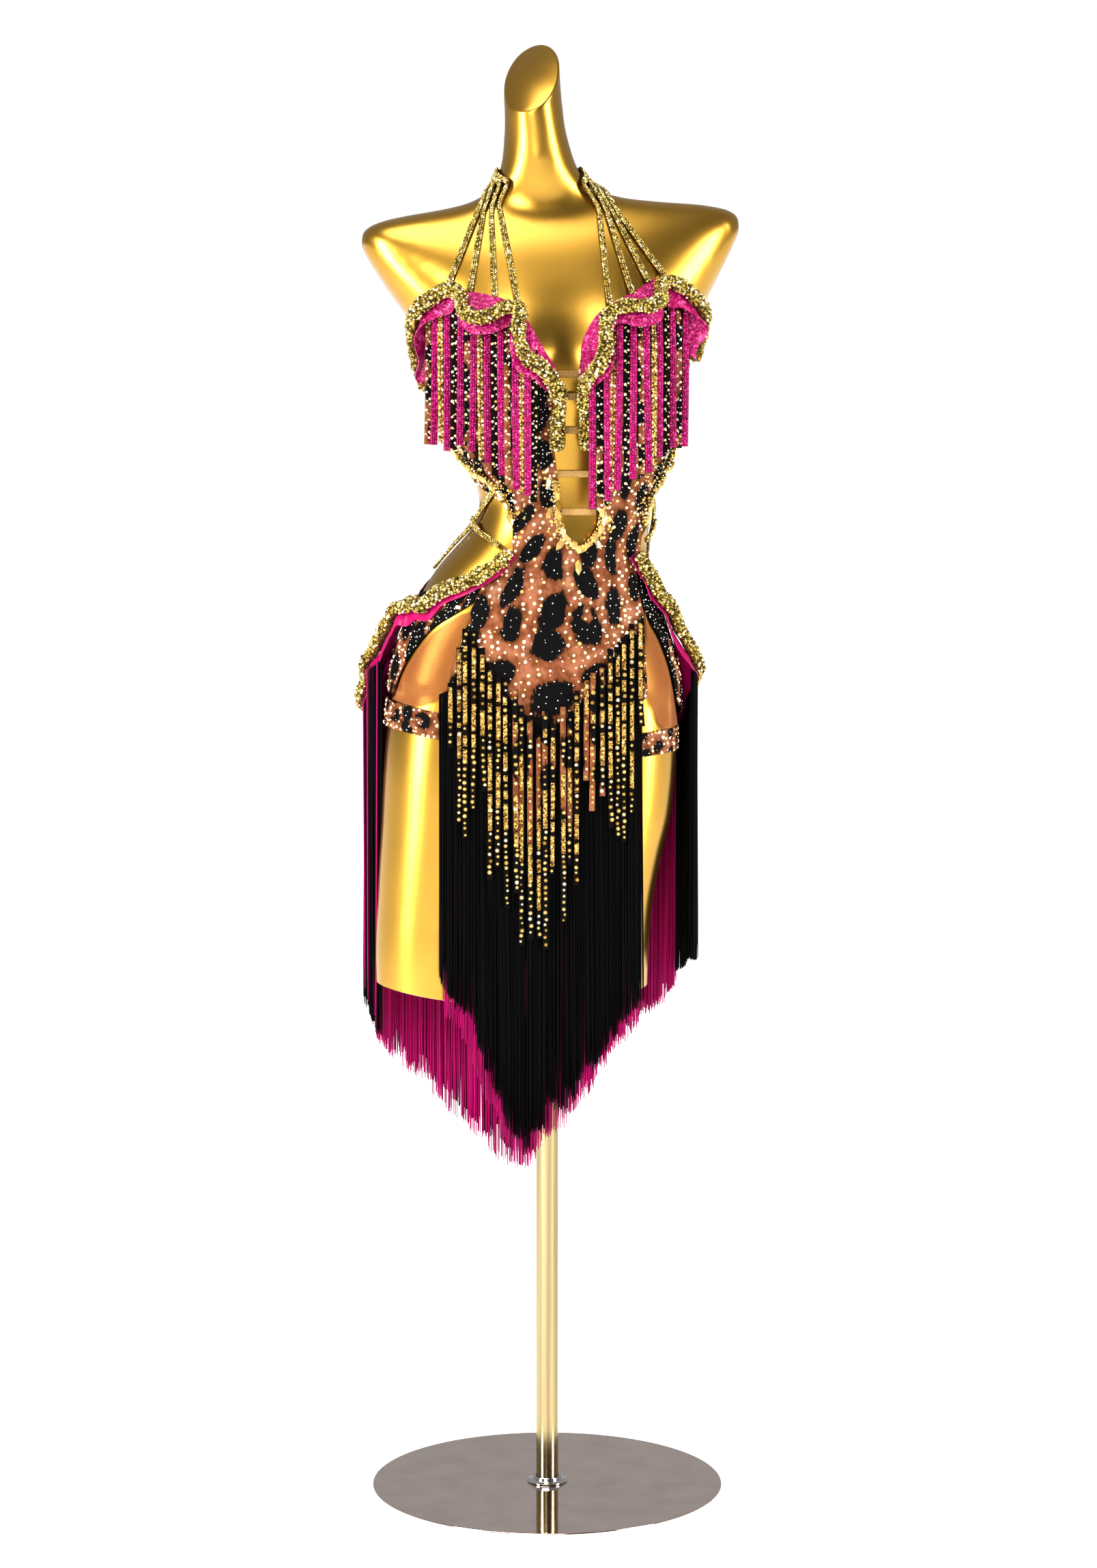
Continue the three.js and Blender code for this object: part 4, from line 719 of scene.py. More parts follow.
@dataclass(frozen=True)
class PrintSpots:
    """The print's dark spots, on a staggered lattice laid round the body."""

    seed: int = 21
    across: float = 30.0
    up: float = 46.0
    radius: float = 110.0
    widths: tuple[float, float] = (8.0, 13.0)
    heights: tuple[float, float] = (15.0, 24.0)
    bitten: float = 0.22
    bite: float = 0.42

    def lattice(self) -> Table:
        """Centres, half sizes, tilts and bites of the spots.

        Returns:
            One value for each spot under each name.
        """
        rng = np.random.default_rng(self.seed)
        column = np.arange(-24, 14)
        u, v = np.meshgrid(column * self.across, 815 + np.arange(14) * self.up)
        v = v + np.where(column % 2, 0.5, 0.0) * self.up
        count = u.size
        bite = rng.random(count) < self.bitten
        turn = rng.uniform(0, 2 * np.pi, count)
        half_u, half_v = rng.uniform(*self.widths, count), rng.uniform(*self.heights, count)
        grow = np.where(bite, 1.18, 1.0)
        return {
            "u": u.ravel() + rng.uniform(-0.13, 0.13, count) * self.across,
            "v": v.ravel() + rng.uniform(-0.17, 0.17, count) * self.up,
            "half_u": half_u * grow,
            "half_v": half_v * grow,
            "tilt": rng.normal(0, 0.28, count),
            "bite_u": np.where(bite, np.cos(turn) * half_u * 0.55, 1e4),
            "bite_v": np.where(bite, np.sin(turn) * half_v * 0.55, 1e4),
        }

    def depth(self, u: Array, v: Array) -> Array:
        """How far a place lies inside the nearest spot.

        Args:
            u: Millimetres round the body from the centre front.
            v: Heights.

        Returns:
            Millimetres, less than nought outside.
        """
        rows = self.lattice()
        best = np.full(np.shape(u), -30.0)
        for i in range(len(rows["u"])):
            one = {name: values[i] for name, values in rows.items()}
            du, dv = u - one["u"], v - one["v"]
            cos, sin = math.cos(one["tilt"]), math.sin(one["tilt"])
            a, b = du * cos + dv * sin, dv * cos - du * sin
            small = min(one["half_u"], one["half_v"])
            inside = (1 - np.hypot(a / one["half_u"], b / one["half_v"])) * small
            away = np.hypot((a - one["bite_u"]) / one["half_u"], (b - one["bite_v"]) / one["half_v"])
            hole = (1 - away / self.bite) * small * self.bite
            best = np.maximum(best, np.minimum(inside, -hole))
        return best


SPOTS = PrintSpots()
BAND_SPOTS = PrintSpots(7, 21.0, 25.0, widths=(5.0, 7.5), heights=(7.0, 10.0), bitten=0.1)


def angled(rows: Table, turn: float = 0.0) -> Array:
    """Angle and height pairs of a line that is given by angle."""
    return np.stack([rows["angle"] + turn, rows["z"]], -1)


# ---------------------------------------------------------------- meshes


def build_mesh(name: str, points: Array, faces: Iterable[Array], smooth: bool = True) -> Piece:
    """Makes an object of closed shells whose faces all point out.

    Args:
        name: The object's name.
        points: Corners in millimetres.
        faces: Arrays of faces, each array with one number of corners.
        smooth: Whether the faces are shaded as one surface.

    Returns:
        The object, linked to the scene.
    """
    faces = [np.asarray(f, np.int64) for f in faces if len(f)]
    corners = [points[f[:, [0, k, k + 1]]] for f in faces for k in range(1, f.shape[1] - 1)]
    tri = np.concatenate(corners)
    if np.einsum("ij,ij->", tri[:, 0], np.cross(tri[:, 1], tri[:, 2])) < 0:
        faces = [f[:, ::-1] for f in faces]
    mesh = bpy.data.meshes.new(name)
    sizes = np.concatenate([np.full(len(f), f.shape[1]) for f in faces])
    loops = np.concatenate([f.ravel() for f in faces])
    mesh.vertices.add(len(points))
    mesh.vertices.foreach_set("co", (points * MM).astype(np.float32).ravel())
    mesh.loops.add(len(loops))
    mesh.loops.foreach_set("vertex_index", loops.astype(np.int32))
    mesh.polygons.add(len(sizes))
    starts = np.concatenate([[0], np.cumsum(sizes)[:-1]]).astype(np.int32)
    mesh.polygons.foreach_set("loop_start", starts)
    mesh.polygons.foreach_set("use_smooth", np.full(len(sizes), smooth))
    mesh.update(calc_edges=True)
    mesh.validate()
    obj = bpy.data.objects.new(name, mesh)
    bpy.context.scene.collection.objects.link(obj)
    return obj


def tint(obj: Piece, name: str, values: Array) -> None:
    """Stores one number for each corner of a mesh, for its finish to read."""
    layer = obj.data.attributes.new(name, "FLOAT", "POINT")
    layer.data.foreach_set("value", np.asarray(values, np.float32).ravel())


def place(obj: Piece, slot: str, finish: "Finish | Sequence[Finish]", nodes: Sequence[str] = ()) -> Piece:
    """Dresses a piece and tells the frame what it is.

    Args:
        obj: The piece.
        slot: The record's material slot.
        finish: Its finish, or its finishes in the order of its material indices.
        nodes: The frame's nodes that it stands for.

    Returns:
        The piece.
    """
    finishes = [finish] if isinstance(finish, Finish) else list(finish)
    obj.data.materials.clear()
    for each in finishes:
        obj.data.materials.append(each.material())
    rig.ride(obj, "root")
    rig.slot(obj, slot)
    if nodes:
        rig.replaces(obj, *nodes)
    return obj


def tubes(paths: Array, across: Array, outward: Array, outline: Array) -> tuple[Array, list[Array]]:
    """Closed strips or tubes along many paths at once.

    Args:
        paths: Strands by points by 3.
        across: Sideways directions at the points.
        outward: Outward directions at the points.
        outline: Corners of the section, or one set of corners for each point.

    Returns:
        Corners, and faces as quads and end caps.
    """
    outline = np.broadcast_to(outline, (*paths.shape[:2], *outline.shape[-2:]))
    ring = (
        paths[:, :, None]
        + across[:, :, None] * outline[..., :1]
        + outward[:, :, None] * outline[..., 1:]
    )
    index = np.arange(ring[..., 0].size).reshape(ring.shape[:3])
    near, far = index[:, :-1], index[:, 1:]
    quads = np.stack([near, np.roll(near, -1, 2), np.roll(far, -1, 2), far], -1).reshape(-1, 4)
    return ring.reshape(-1, 3), [quads, index[:, 0, ::-1], index[:, -1]]


def frames(path: Array, normals: Array) -> tuple[Array, Array]:
    """Sideways and outward directions along one path, or along many."""
    along = unit(np.gradient(path, axis=-2))
    across = unit(np.cross(normals, along))
    return across, unit(np.cross(along, across))


def sweep(name: str, path: Array, normals: Array, outline: Array) -> Piece:
    """A strip or roll along one path.

    Args:
        name: The object's name.
        path: The middle line.
        normals: Outward directions along it.
        outline: Corners of the section, or one set for each point.

    Returns:
        The object.
    """
    across, outward = frames(path, normals)
    points, faces = tubes(path[None], across[None], outward[None], outline)
    return build_mesh(name, points, faces)


def ellipse(half_width: float, half_depth: float, sides: int) -> Array:
    """Corners of a round section."""
    turn = 2 * np.pi * np.arange(sides) / sides
    return np.stack([half_width * np.cos(turn), half_depth * np.sin(turn)], -1)


def soft_bar(width: float, thickness: float) -> Array:
    """Corners of a flat section with rounded edges."""
    w, t = width / 2, thickness / 2
    half = [(-w, 0), (-0.86 * w, -0.8 * t), (-0.5 * w, -t), (0.5 * w, -t), (0.86 * w, -0.8 * t), (w, 0)]
    return np.array(half + [(0.86 * w, 0.8 * t), (0.5 * w, t), (-0.5 * w, t), (-0.86 * w, 0.8 * t)])


@dataclass
class Cloth:
    """A sewn panel as grids of points on its two faces."""

    inner: Array
    outer: Array
    closed: bool = False
    depth: Array | None = None

    def object(self, name: str) -> Piece:
        """Makes the panel as a thin closed wall.

        Args:
            name: The object's name.

        Returns:
            The object.
        """
        rows, columns = self.inner.shape[:2]
        index = np.arange(rows * columns).reshape(rows, columns)
        shift = rows * columns
        if self.closed:
            index = np.concatenate([index, index[:, :1]], 1)
        a, b = index[:-1, :-1], index[:-1, 1:]
        d, c = index[1:, :-1], index[1:, 1:]
        inside = np.stack([a, d, c, b], -1).reshape(-1, 4)
        outside = np.stack([a, b, c, d], -1).reshape(-1, 4) + shift
        rims = [(index[0, :-1], index[0, 1:]), (index[-1, 1:], index[-1, :-1])]
        if not self.closed:
            rims += [(index[1:, 0], index[:-1, 0]), (index[:-1, -1], index[1:, -1])]
        edges = [np.stack([p, q, q + shift, p + shift], -1) for p, q in rims]
        points = np.concatenate([self.inner.reshape(-1, 3), self.outer.reshape(-1, 3)])
        obj = build_mesh(name, points, [inside, outside, *edges])
        obj.data.set_sharp_from_angle(angle=math.radians(50))
        if self.depth is not None:
            tint(obj, "spot", np.concatenate([self.depth.ravel()] * 2))
        return obj

    def cut(self) -> dict[str, object]:
        """The flat size and area in metres that the panel was cut to.

        Returns:
            Both, under the names that a sheet is declared with.
        """
        grid = (self.inner + self.outer) / 2 * MM
        if self.closed:
            grid = np.concatenate([grid, grid[:, :1]], 1)
        across = np.linalg.norm(np.diff(grid, axis=1), axis=2).sum(1)
        down = np.linalg.norm(np.diff(grid, axis=0), axis=2).sum(0)
        p, q = grid[1:, 1:] - grid[:-1, :-1], grid[1:, :-1] - grid[:-1, 1:]
        area = np.linalg.norm(np.cross(p, q), axis=-1).sum() / 2
        return {"flat": (float(across.max()), float(down.max())), "area": float(area)}

    def spots(self, rng: Chance, pitch: float, jitter: float = 0.34) -> tuple[Array, Array, Array]:
        """Scatters places for stones over the panel's face.

        Args:
            rng: The source of chance.
            pitch: The usual distance between stones.
            jitter: How far a stone may stray, as a share of the pitch.

        Returns:
            Points on the outer face, outward directions, and depths in the print's spots.
        """
        grid = self.outer
        widths = np.linalg.norm(np.diff(grid, axis=1), axis=2).sum(1)
        down = np.linalg.norm(np.diff(grid, axis=0), axis=2).sum(0).mean()
        places = []
        count = max(2, round(down / (pitch * 0.87)))
        for i in range(count):
            t = (i + 0.5) / count
            across = max(1, round(widths[round(t * (len(grid) - 1))] / pitch))
            s = (np.arange(across) + 0.5 + 0.5 * (i % 2) - 0.25) / across
            places.append(np.stack([s, np.full(across, t)], -1))
        st = np.concatenate(places)
        st += rng.uniform(-jitter, jitter, st.shape) / [widths.mean() / pitch, count]
        st = np.clip(st, 0.01, 0.99)
        return self.at(st[:, 0], st[:, 1])

    def at(self, s: Array, t: Array) -> tuple[Array, Array, Array]:
        """Points, outward directions and spot depths at shares across and down.

        Args:
            s: Shares across.
            t: Shares down.

        Returns:
            One row or number for each place.
        """
        grid, back, depth = self.outer, self.inner, self.depth[..., None]
        v, u = t * (grid.shape[0] - 1), s * (grid.shape[1] - 1)
        i = np.minimum(v.astype(int), grid.shape[0] - 2)
        j = np.minimum(u.astype(int), grid.shape[1] - 2)
        v, u = (v - i)[:, None], (u - j)[:, None]

        def blend(g: Array) -> Array:
            """Value between the four nearest grid points."""
            top = g[i, j] * (1 - u) + g[i, j + 1] * u
            low = g[i + 1, j] * (1 - u) + g[i + 1, j + 1] * u
            return top * (1 - v) + low * v

        return blend(grid), unit(blend(grid) - blend(back)), blend(depth)[:, 0]


def lay_panel(
    top: Array,
    bottom: Array,
    left: Array,
    right: Array,
    columns: int,
    rows: int,
    gap: Callable[[Array], Array] = lambda z: SKIN_GAP + 0 * z,
    relief: Callable[[Array, Array], Array] | None = None,
) -> Cloth:
    """A panel laid on the body between four edges of angle and height pairs.

    Args:
        top: Upper edge.
        bottom: Lower edge.
        left: Left edge, from the top down.
        right: Right edge, from the top down.
        columns: Steps across.
        rows: Steps down.
        gap: Distance from the body by height.
        relief: Extra distance of both faces by angle and height, for soft creases.

    Returns:
        The panel.
    """
    stretch = np.array([2.0, 1.0])
    tops, bottoms = spread(top * stretch, columns), spread(bottom * stretch, columns)
    lefts, rights = spread(left * stretch, rows), spread(right * stretch, rows)
    s = np.linspace(0, 1, columns + 1)[None, :, None]
    t = np.linspace(0, 1, rows + 1)[:, None, None]
    upper = tops[0] * (1 - s) + tops[-1] * s
    lower = bottoms[0] * (1 - s) + bottoms[-1] * s
    corner = upper * (1 - t) + lower * t
    spot = tops[None] * (1 - t) + bottoms[None] * t + lefts[:, None] * (1 - s) + rights[:, None] * s
    spot = (spot - corner) / stretch
    angle, z = spot[..., 0], spot[..., 1]
    out = gap(z)
    if relief is not None:
        out = out + relief(angle, z)
    depth = SPOTS.depth(np.radians(angle) * SPOTS.radius, z)
    return Cloth(BODY.skin(z, angle, out), BODY.skin(z, angle, out + CLOTH), depth=depth)


# ---------------------------------------------------------------- shader maths


class Wire:
    """A socket in shader maths: arithmetic on it adds Math nodes."""

    def __init__(self, nodes: "Nodes", socket: Link) -> None:
        """Keeps the socket and the tree that it belongs to."""
        self.nodes, self.socket = nodes, socket

    def _math(self, operation: str, *values: "Wire | float") -> "Wire":
        """Adds one Math node."""
        inputs = dict(enumerate(values))
        return self.nodes.node("ShaderNodeMath", {"operation": operation}, inputs, "Value")

    def __add__(self, other: "Wire | float") -> "Wire":
        """Sum."""
        return self._math("ADD", self, other)

    def __radd__(self, other: float) -> "Wire":
        """Sum with a number on the left."""
        return self._math("ADD", other, self)

    def __sub__(self, other: "Wire | float") -> "Wire":
        """Difference."""
        return self._math("SUBTRACT", self, other)

    def __rsub__(self, other: float) -> "Wire":
        """Difference from a number."""
        return self._math("SUBTRACT", other, self)

    def __mul__(self, other: "Wire | float") -> "Wire":
        """Product."""
        return self._math("MULTIPLY", self, other)

    def __rmul__(self, other: float) -> "Wire":
        """Product with a number on the left."""
        return self._math("MULTIPLY", other, self)

    def sine(self) -> "Wire":
        """Sine of a value in radians."""
        return self._math("SINE", self)

    def most(self, other: "Wire | float") -> "Wire":
        """The larger of two values."""
        return self._math("MAXIMUM", self, other)

    def step(self, low: float, high: float) -> "Wire":
        """Soft step from 0 at low to 1 at high."""
        values = {"Value": self, "From Min": low, "From Max": high}
        return self.nodes.node("ShaderNodeMapRange", {"interpolation_type": "SMOOTHSTEP"}, values, "Result")

    def part(self, kind: str, name: str) -> "Wire":
        """One part of a vector or a colour."""
        return self.nodes.node(f"ShaderNodeSeparate{kind}", {}, {0: self}, name)


Value = Wire | float | Sequence[float]


class Nodes:
    """A node tree, emptied, to which nodes are added."""

    def __init__(self, tree: bpy.types.NodeTree) -> None:
        """Empties the tree."""
        self.tree = tree
        tree.nodes.clear()

    @staticmethod
    def pick(sockets: Iterable[Link], key: str | int) -> Link:
        """Finds a socket by its number, its identifier or its name.

        Args:
            sockets: A node's inputs or outputs.
            key: Which one.

        Returns:
            The socket.
        """
        sockets = list(sockets)
        if isinstance(key, int):
            return sockets[key]
        by_id = [s for s in sockets if s.identifier == key]
        return (by_id or [s for s in sockets if s.name == key and s.enabled])[0]

    def put(self, socket: Link, value: Value) -> None:
        """Links a wire to a socket, or sets the socket's own value.

        Args:
            socket: The socket that is fed.
            value: The wire, number or colour.
        """
        if isinstance(value, Wire):
            self.tree.links.new(value.socket, socket)
        elif hasattr(socket.default_value, "__len__"):
            size = len(socket.default_value)
            socket.default_value = tuple(value) + (1.0,) * (size - len(value))
        else:
            socket.default_value = value

    def node(
        self, kind: str, settings: dict[str, object], inputs: dict[str | int, Value], output: str | int = 0
    ) -> Wire:
        """Adds a node.

        Args:
            kind: The node's type.
            settings: Its own settings; "stops" holds a ramp's places and colours.
            inputs: Values or wires by socket.
            output: Which output to give back.

        Returns:
            That output.
        """
        node = self.tree.nodes.new(kind)
        for name, value in settings.items():
            if name == "stops":
                ramp = node.color_ramp.elements
                while len(ramp) < len(value):
                    ramp.new(0.5)
                for element, (place_at, colour) in zip(ramp, value):
                    element.position, element.color = place_at, (*colour, 1.0)
            else:
                setattr(node, name, value)
        for key, value in inputs.items():
            self.put(self.pick(node.inputs, key), value)
        return Wire(self, self.pick(node.outputs, output))


class Shader(Nodes):
    """A material's node tree with one Principled surface."""

    def __init__(self, name: str) -> None:
        """Starts a material with nothing but its surface and output.

        Args:
            name: The material's name.
        """
        self.material = bpy.data.materials.new(name)
        self.material.use_nodes = True
        super().__init__(self.material.node_tree)
        self.surface = self.tree.nodes.new("ShaderNodeBsdfPrincipled")
        output = self.tree.nodes.new("ShaderNodeOutputMaterial")
        self.tree.links.new(self.surface.outputs[0], output.inputs[0])

    def mix(self, factor: Wire, a: Value, b: Value) -> Wire:
        """Mixes two colours."""
        inputs = {"Factor_Float": factor, "A_Color": a, "B_Color": b}
        return self.node("ShaderNodeMix", {"data_type": "RGBA"}, inputs, "Result_Color")

    def coords(self, scale: Sequence[float] = (1, 1, 1)) -> Wire:
        """Places on the piece in metres, stretched by scale."""
        inputs = {0: self.node("ShaderNodeTexCoord", {}, {}, "Object"), 1: scale}
        return self.node("ShaderNodeVectorMath", {"operation": "MULTIPLY"}, inputs, "Vector")

    def noise(self, where: Wire, scale: float, detail: float = 2.0) -> Wire:
        """Cloudy noise."""
        inputs = {"Vector": where, "Scale": scale, "Detail": detail}
        return self.node("ShaderNodeTexNoise", {}, inputs, "Fac")

    def cells(self, where: Wire, scale: float, output: str = "Distance") -> Wire:
        """Scattered cells: the distance to the nearest one, or its colour."""
        return self.node("ShaderNodeTexVoronoi", {}, {"Vector": where, "Scale": scale}, output)

    def lots(self, where: Wire, scale: float) -> Wire:
        """A number from 0 to 1 for each cell."""
        return self.cells(where, scale, "Color").part("Color", "Red")

    def island(self) -> Wire:
        """A number from 0 to 1 that differs from bead to bead or strand to strand."""
        return self.node("ShaderNodeNewGeometry", {}, {}, "Random Per Island")

    def bump(self, height: Wire, strength: float, distance: float) -> None:
        """Feeds a height to the surface's normal."""
        inputs = {"Height": height, "Strength": strength, "Distance": distance}
        self.put(self.surface.inputs["Normal"], self.node("ShaderNodeBump", {}, inputs, "Normal"))

    def feed(self, **values: Value) -> None:
        """Sets or links the surface's sockets, named with underscores for spaces."""
        for name, value in values.items():
            self.put(self.surface.inputs[name.replace("_", " ")], value)


# ---------------------------------------------------------------- finishes


@dataclass(frozen=True)
class Finish:
    """A surface finish. Its nodes are made once and shared by its pieces."""

    name: str
    colour: tuple[float, float, float]
    roughness: float
    metallic: float = 0.0

    def material(self) -> bpy.types.Material:
        """The finish's material, made when first asked for.

        Returns:
            The material.
        """
        made = bpy.data.materials.get(self.name)
        if made is None:
            shader = Shader(self.name)
            shader.feed(Base_Color=self.colour, Roughness=self.roughness, Metallic=self.metallic)
            self.dress(shader)
            made = shader.material
        return made

    def dress(self, shader: Shader) -> None:
        """Adds what varies over the surface."""


@dataclass(frozen=True)
class Lacquer(Finish):
    """Metallic paint, rubbed a little uneven, under a thin clear coat."""

    deep: tuple[float, float, float] = (0.42, 0.21, 0.03)
    flake: float = 1400.0

    def dress(self, shader: Shader) -> None:
        """Adds flake, uneven tone and a clear coat.

        Args:
            shader: The material's tree.
        """
        where = shader.coords()
        cloud = shader.noise(where, 7.0, 3.0)
        shader.feed(
            Base_Color=shader.mix(cloud.step(0.35, 0.9) * 0.25, self.colour, self.deep),
            Roughness=shader.noise(where, 18.0) * 0.05 + (self.roughness - 0.025),
            Coat_Weight=0.5,
            Coat_Roughness=0.22,
            Coat_IOR=1.65,
        )
        shader.bump(shader.noise(where, self.flake, 1.0), 0.05, 0.0004)


@dataclass(frozen=True)
class Polish(Finish):
    """Polished metal with faint handling marks; on the pole, long dark streaks that are painted reflections."""

    marks: float = 0.03
    drawn: float = 0.25
    grain: float = 22.0
    # How dark the smears go: a little tarnish on the plate and collar, painted reflection streaks on the pole.
    worn: float = 0.86

    def dress(self, shader: Shader) -> None:
        """Adds smears and a little tarnish, drawn out lengthwise; on the pole they are drawn into long streaks and
        darkened much, as painted reflections of the surroundings.

        Args:
            shader: The material's tree.
        """
        where = shader.coords((1, 1, self.drawn))
        smear_and_reflection_streak = shader.noise(where, self.grain, 4.0)
        tarnish_and_reflection_tone = tuple(self.worn * c for c in self.colour)
        shader.feed(
            Roughness=smear_and_reflection_streak.step(0.4, 0.8) * self.marks + self.roughness,
            # tarnish on the plate and collar; on the pole, painted reflections as dark vertical streaks
            Base_Color=shader.mix(smear_and_reflection_streak.step(0.3, 0.85), self.colour, tarnish_and_reflection_tone),
        )
        shader.bump(shader.noise(where, 300.0, 1.0), 0.02, 0.0002)


@dataclass(frozen=True)
class AnimalPrint(Finish):
    """Stretch cloth with a soft-edged leopard print, after the depths stored on its mesh."""

    spot: tuple[float, float, float] = (0.004, 0.0035, 0.0035)
    brown: tuple[float, float, float] = (0.13, 0.036, 0.008)
    light: tuple[float, float, float] = (0.44, 0.23, 0.15)

    def dress(self, shader: Shader) -> None:
        """Adds the spots with furry edges, the browned ground and the weave.

        Args:
            shader: The material's tree.
        """
        depth = shader.node("ShaderNodeAttribute", {"attribute_name": "spot"}, {}, "Fac")
        where = shader.coords()
        large = shader.noise(where, 55.0, 2.0)
        fur = shader.noise(shader.coords((1, 1, 0.35)), 420.0, 2.0)
        ragged = depth + (large - 0.5) * 9.0 + (fur - 0.5) * 5.0
        spots = ragged.step(-0.9, 0.9)
        near = (ragged + (shader.noise(where, 110.0, 3.0) - 0.5) * 18.0).step(-10.0, 1.0)
        pale = shader.noise(where, 24.0, 2.0).step(0.5, 0.75)
        ground = shader.mix(near * 0.85, shader.mix(pale * 0.7, self.colour, self.light), self.brown)
        shader.feed(
            Base_Color=shader.mix(spots, ground, self.spot),
            Roughness=spots * -0.15 + self.roughness,
            Specular_IOR_Level=0.08,
        )
        weave = shader.noise(shader.coords((1, 1, 0.6)), 1600.0, 1.0)
        shader.bump(weave + spots * 0.3, 0.25, 0.0003)


@dataclass(frozen=True)
class Satin(Finish):
    """Glossy satin, with a glitter of tiny sequins where asked; painted shade darkens its creases, and painted sparkle
    lights some sequins while painted shade darkens others.
    """

    # The first colour is painted shade, in the creases and on some sequins; the second is painted sparkle, a painted
    # glint on other sequins.
    shade: tuple[float, float, float] = (0.2, 0.0, 0.06)
    spark: tuple[float, float, float] = (0.9, 0.13, 0.38)
    glitter: float = 0.0
    sequins: float = 360.0

    def dress(self, shader: Shader) -> None:
        """Adds soft creases with painted shade in them, the weave, and the glitter with painted sparkle on some
        sequins and painted shade on others.

        Args:
            shader: The material's tree.
        """
        where = shader.coords()
        crease = shader.noise(shader.coords((1, 1, 0.35)), 45.0, 2.0)
        # painted shade: the satin darkens along its creases
        tone = shader.mix(crease.step(0.42, 0.78) * 0.5, self.colour, self.shade)
        height = crease * 1.2 + shader.noise(where, 1500.0, 1.0) * 0.08
        if self.glitter > 0:
            chance = shader.lots(where, self.sequins)
            # painted sparkle on some sequins, then painted shade on some others
            tone = shader.mix(chance.step(0.72, 0.9) * 0.8, tone, self.spark)
            tone = shader.mix(chance.step(0.3, 0.1) * 0.6, tone, self.shade)
            height = height + shader.cells(where, self.sequins) * self.glitter
        shader.feed(
            Base_Color=tone, Sheen_Weight=0.2, Sheen_Tint=(1.0, 0.45, 0.75), Sheen_Roughness=0.3
        )
        shader.bump(height, 0.5, 0.0015)


@dataclass(frozen=True)
class Jewel(Finish):
    """Beads or foiled stones, each a little different in tone."""

    other: tuple[float, float, float] = (0.5, 0.36, 0.1)
    third: tuple[float, float, float] = (0.95, 0.9, 0.75)

    def dress(self, shader: Shader) -> None:
        """Gives each bead its own tone and polish.

        Args:
            shader: The material's tree.
        """
        lot = shader.island()
        tones = {"stops": [(0.0, self.other), (0.4, self.colour), (0.75, self.colour), (1.0, self.third)]}
        tone = shader.node("ShaderNodeValToRGB", tones, {"Fac": lot}, "Color")
        shader.feed(Base_Color=tone, Roughness=lot * 0.12 + self.roughness)


@dataclass(frozen=True)
class Yarn(Finish):
    """Glossy twisted fringe yarn, each strand a little different."""

    other: tuple[float, float, float] = (0.0, 0.0, 0.0)
    gloss: float = 0.3

    def dress(self, shader: Shader) -> None:
        """Adds the strands' tones and the twist.

        Args:
            shader: The material's tree.
        """
        lot = shader.island()
        where = shader.coords((1, 1, 0.9))
        twist = shader.noise(where, 900.0, 1.0)
        shader.feed(
            Base_Color=shader.mix(lot, self.colour, self.other),
            Roughness=lot * 0.15 + self.roughness,
            Specular_IOR_Level=self.gloss,
        )
        shader.bump(twist, 0.5, 0.0004)


@dataclass(frozen=True)
class Sequins(Finish):
    """A strip crusted with tiny sequins."""

    dark: tuple[float, float, float] = (0.12, 0.05, 0.01)
    grain: float = 480.0

    def dress(self, shader: Shader) -> None:
        """Adds the sequins' tilt, with painted shade in the gaps between them and on some sequins at random.

        Args:
            shader: The material's tree.
        """
        where = shader.coords()
        chance = shader.lots(where, self.grain)
        gap = shader.cells(where, self.grain)
        # painted shade: darker in the gaps between sequins and on a share of the sequins, as if they tilted away from
        # the light
        sequin_shade = (gap.step(0.35, 0.6) * 0.7).most(chance.step(0.62, 0.8))
        shader.feed(Base_Color=shader.mix(sequin_shade, self.colour, self.dark))
        shader.bump(chance * 0.6 - gap, 0.9, 0.0012)


@dataclass(frozen=True)
class Braid(Finish):
    """Flat braided elastic."""

    dark: tuple[float, float, float] = (0.36, 0.19, 0.05)
    strands: float = 2100.0

    def dress(self, shader: Shader) -> None:
        """Adds the braid's crossing strands, with painted shade in the hollows between them.

        Args:
            shader: The material's tree.
        """
        where = shader.coords()
        split, rise = where.part("XYZ", "X"), where.part("XYZ", "Z")
        knit = ((split + rise) * self.strands).sine() * ((split - rise) * self.strands).sine()
        # painted shade: the colour goes dark where the strands' height is low, in the hollows of the braid
        shader.feed(Base_Color=shader.mix(knit.step(-0.4, 0.5), self.dark, self.colour))
        shader.bump(knit, 0.6, 0.0006)


@dataclass(frozen=True)
class Sheer(Finish):
    """Fine stretch mesh that the form shows through."""

    alpha: float = 0.4

    def dress(self, shader: Shader) -> None:
        """Adds the mesh's grain.

        Args:
            shader: The material's tree.
        """
        where = shader.coords((1, 1, 0.7))
        shader.feed(Alpha=self.alpha, Specular_IOR_Level=0.2, Sheen_Weight=0.2)
        shader.bump(shader.noise(where, 1300.0, 1.0), 0.2, 0.0003)


FORM_GOLD = Lacquer("gold_lacquer", (0.64, 0.37, 0.048), 0.29, 1.0, deep=(0.32, 0.15, 0.012))
PLATE_STEEL = Polish("mirror_plate", (0.95, 0.8, 0.73), 0.05, 1.0)
COLLAR_STEEL = Polish("collar_polish", (0.8, 0.79, 0.77), 0.08, 1.0)
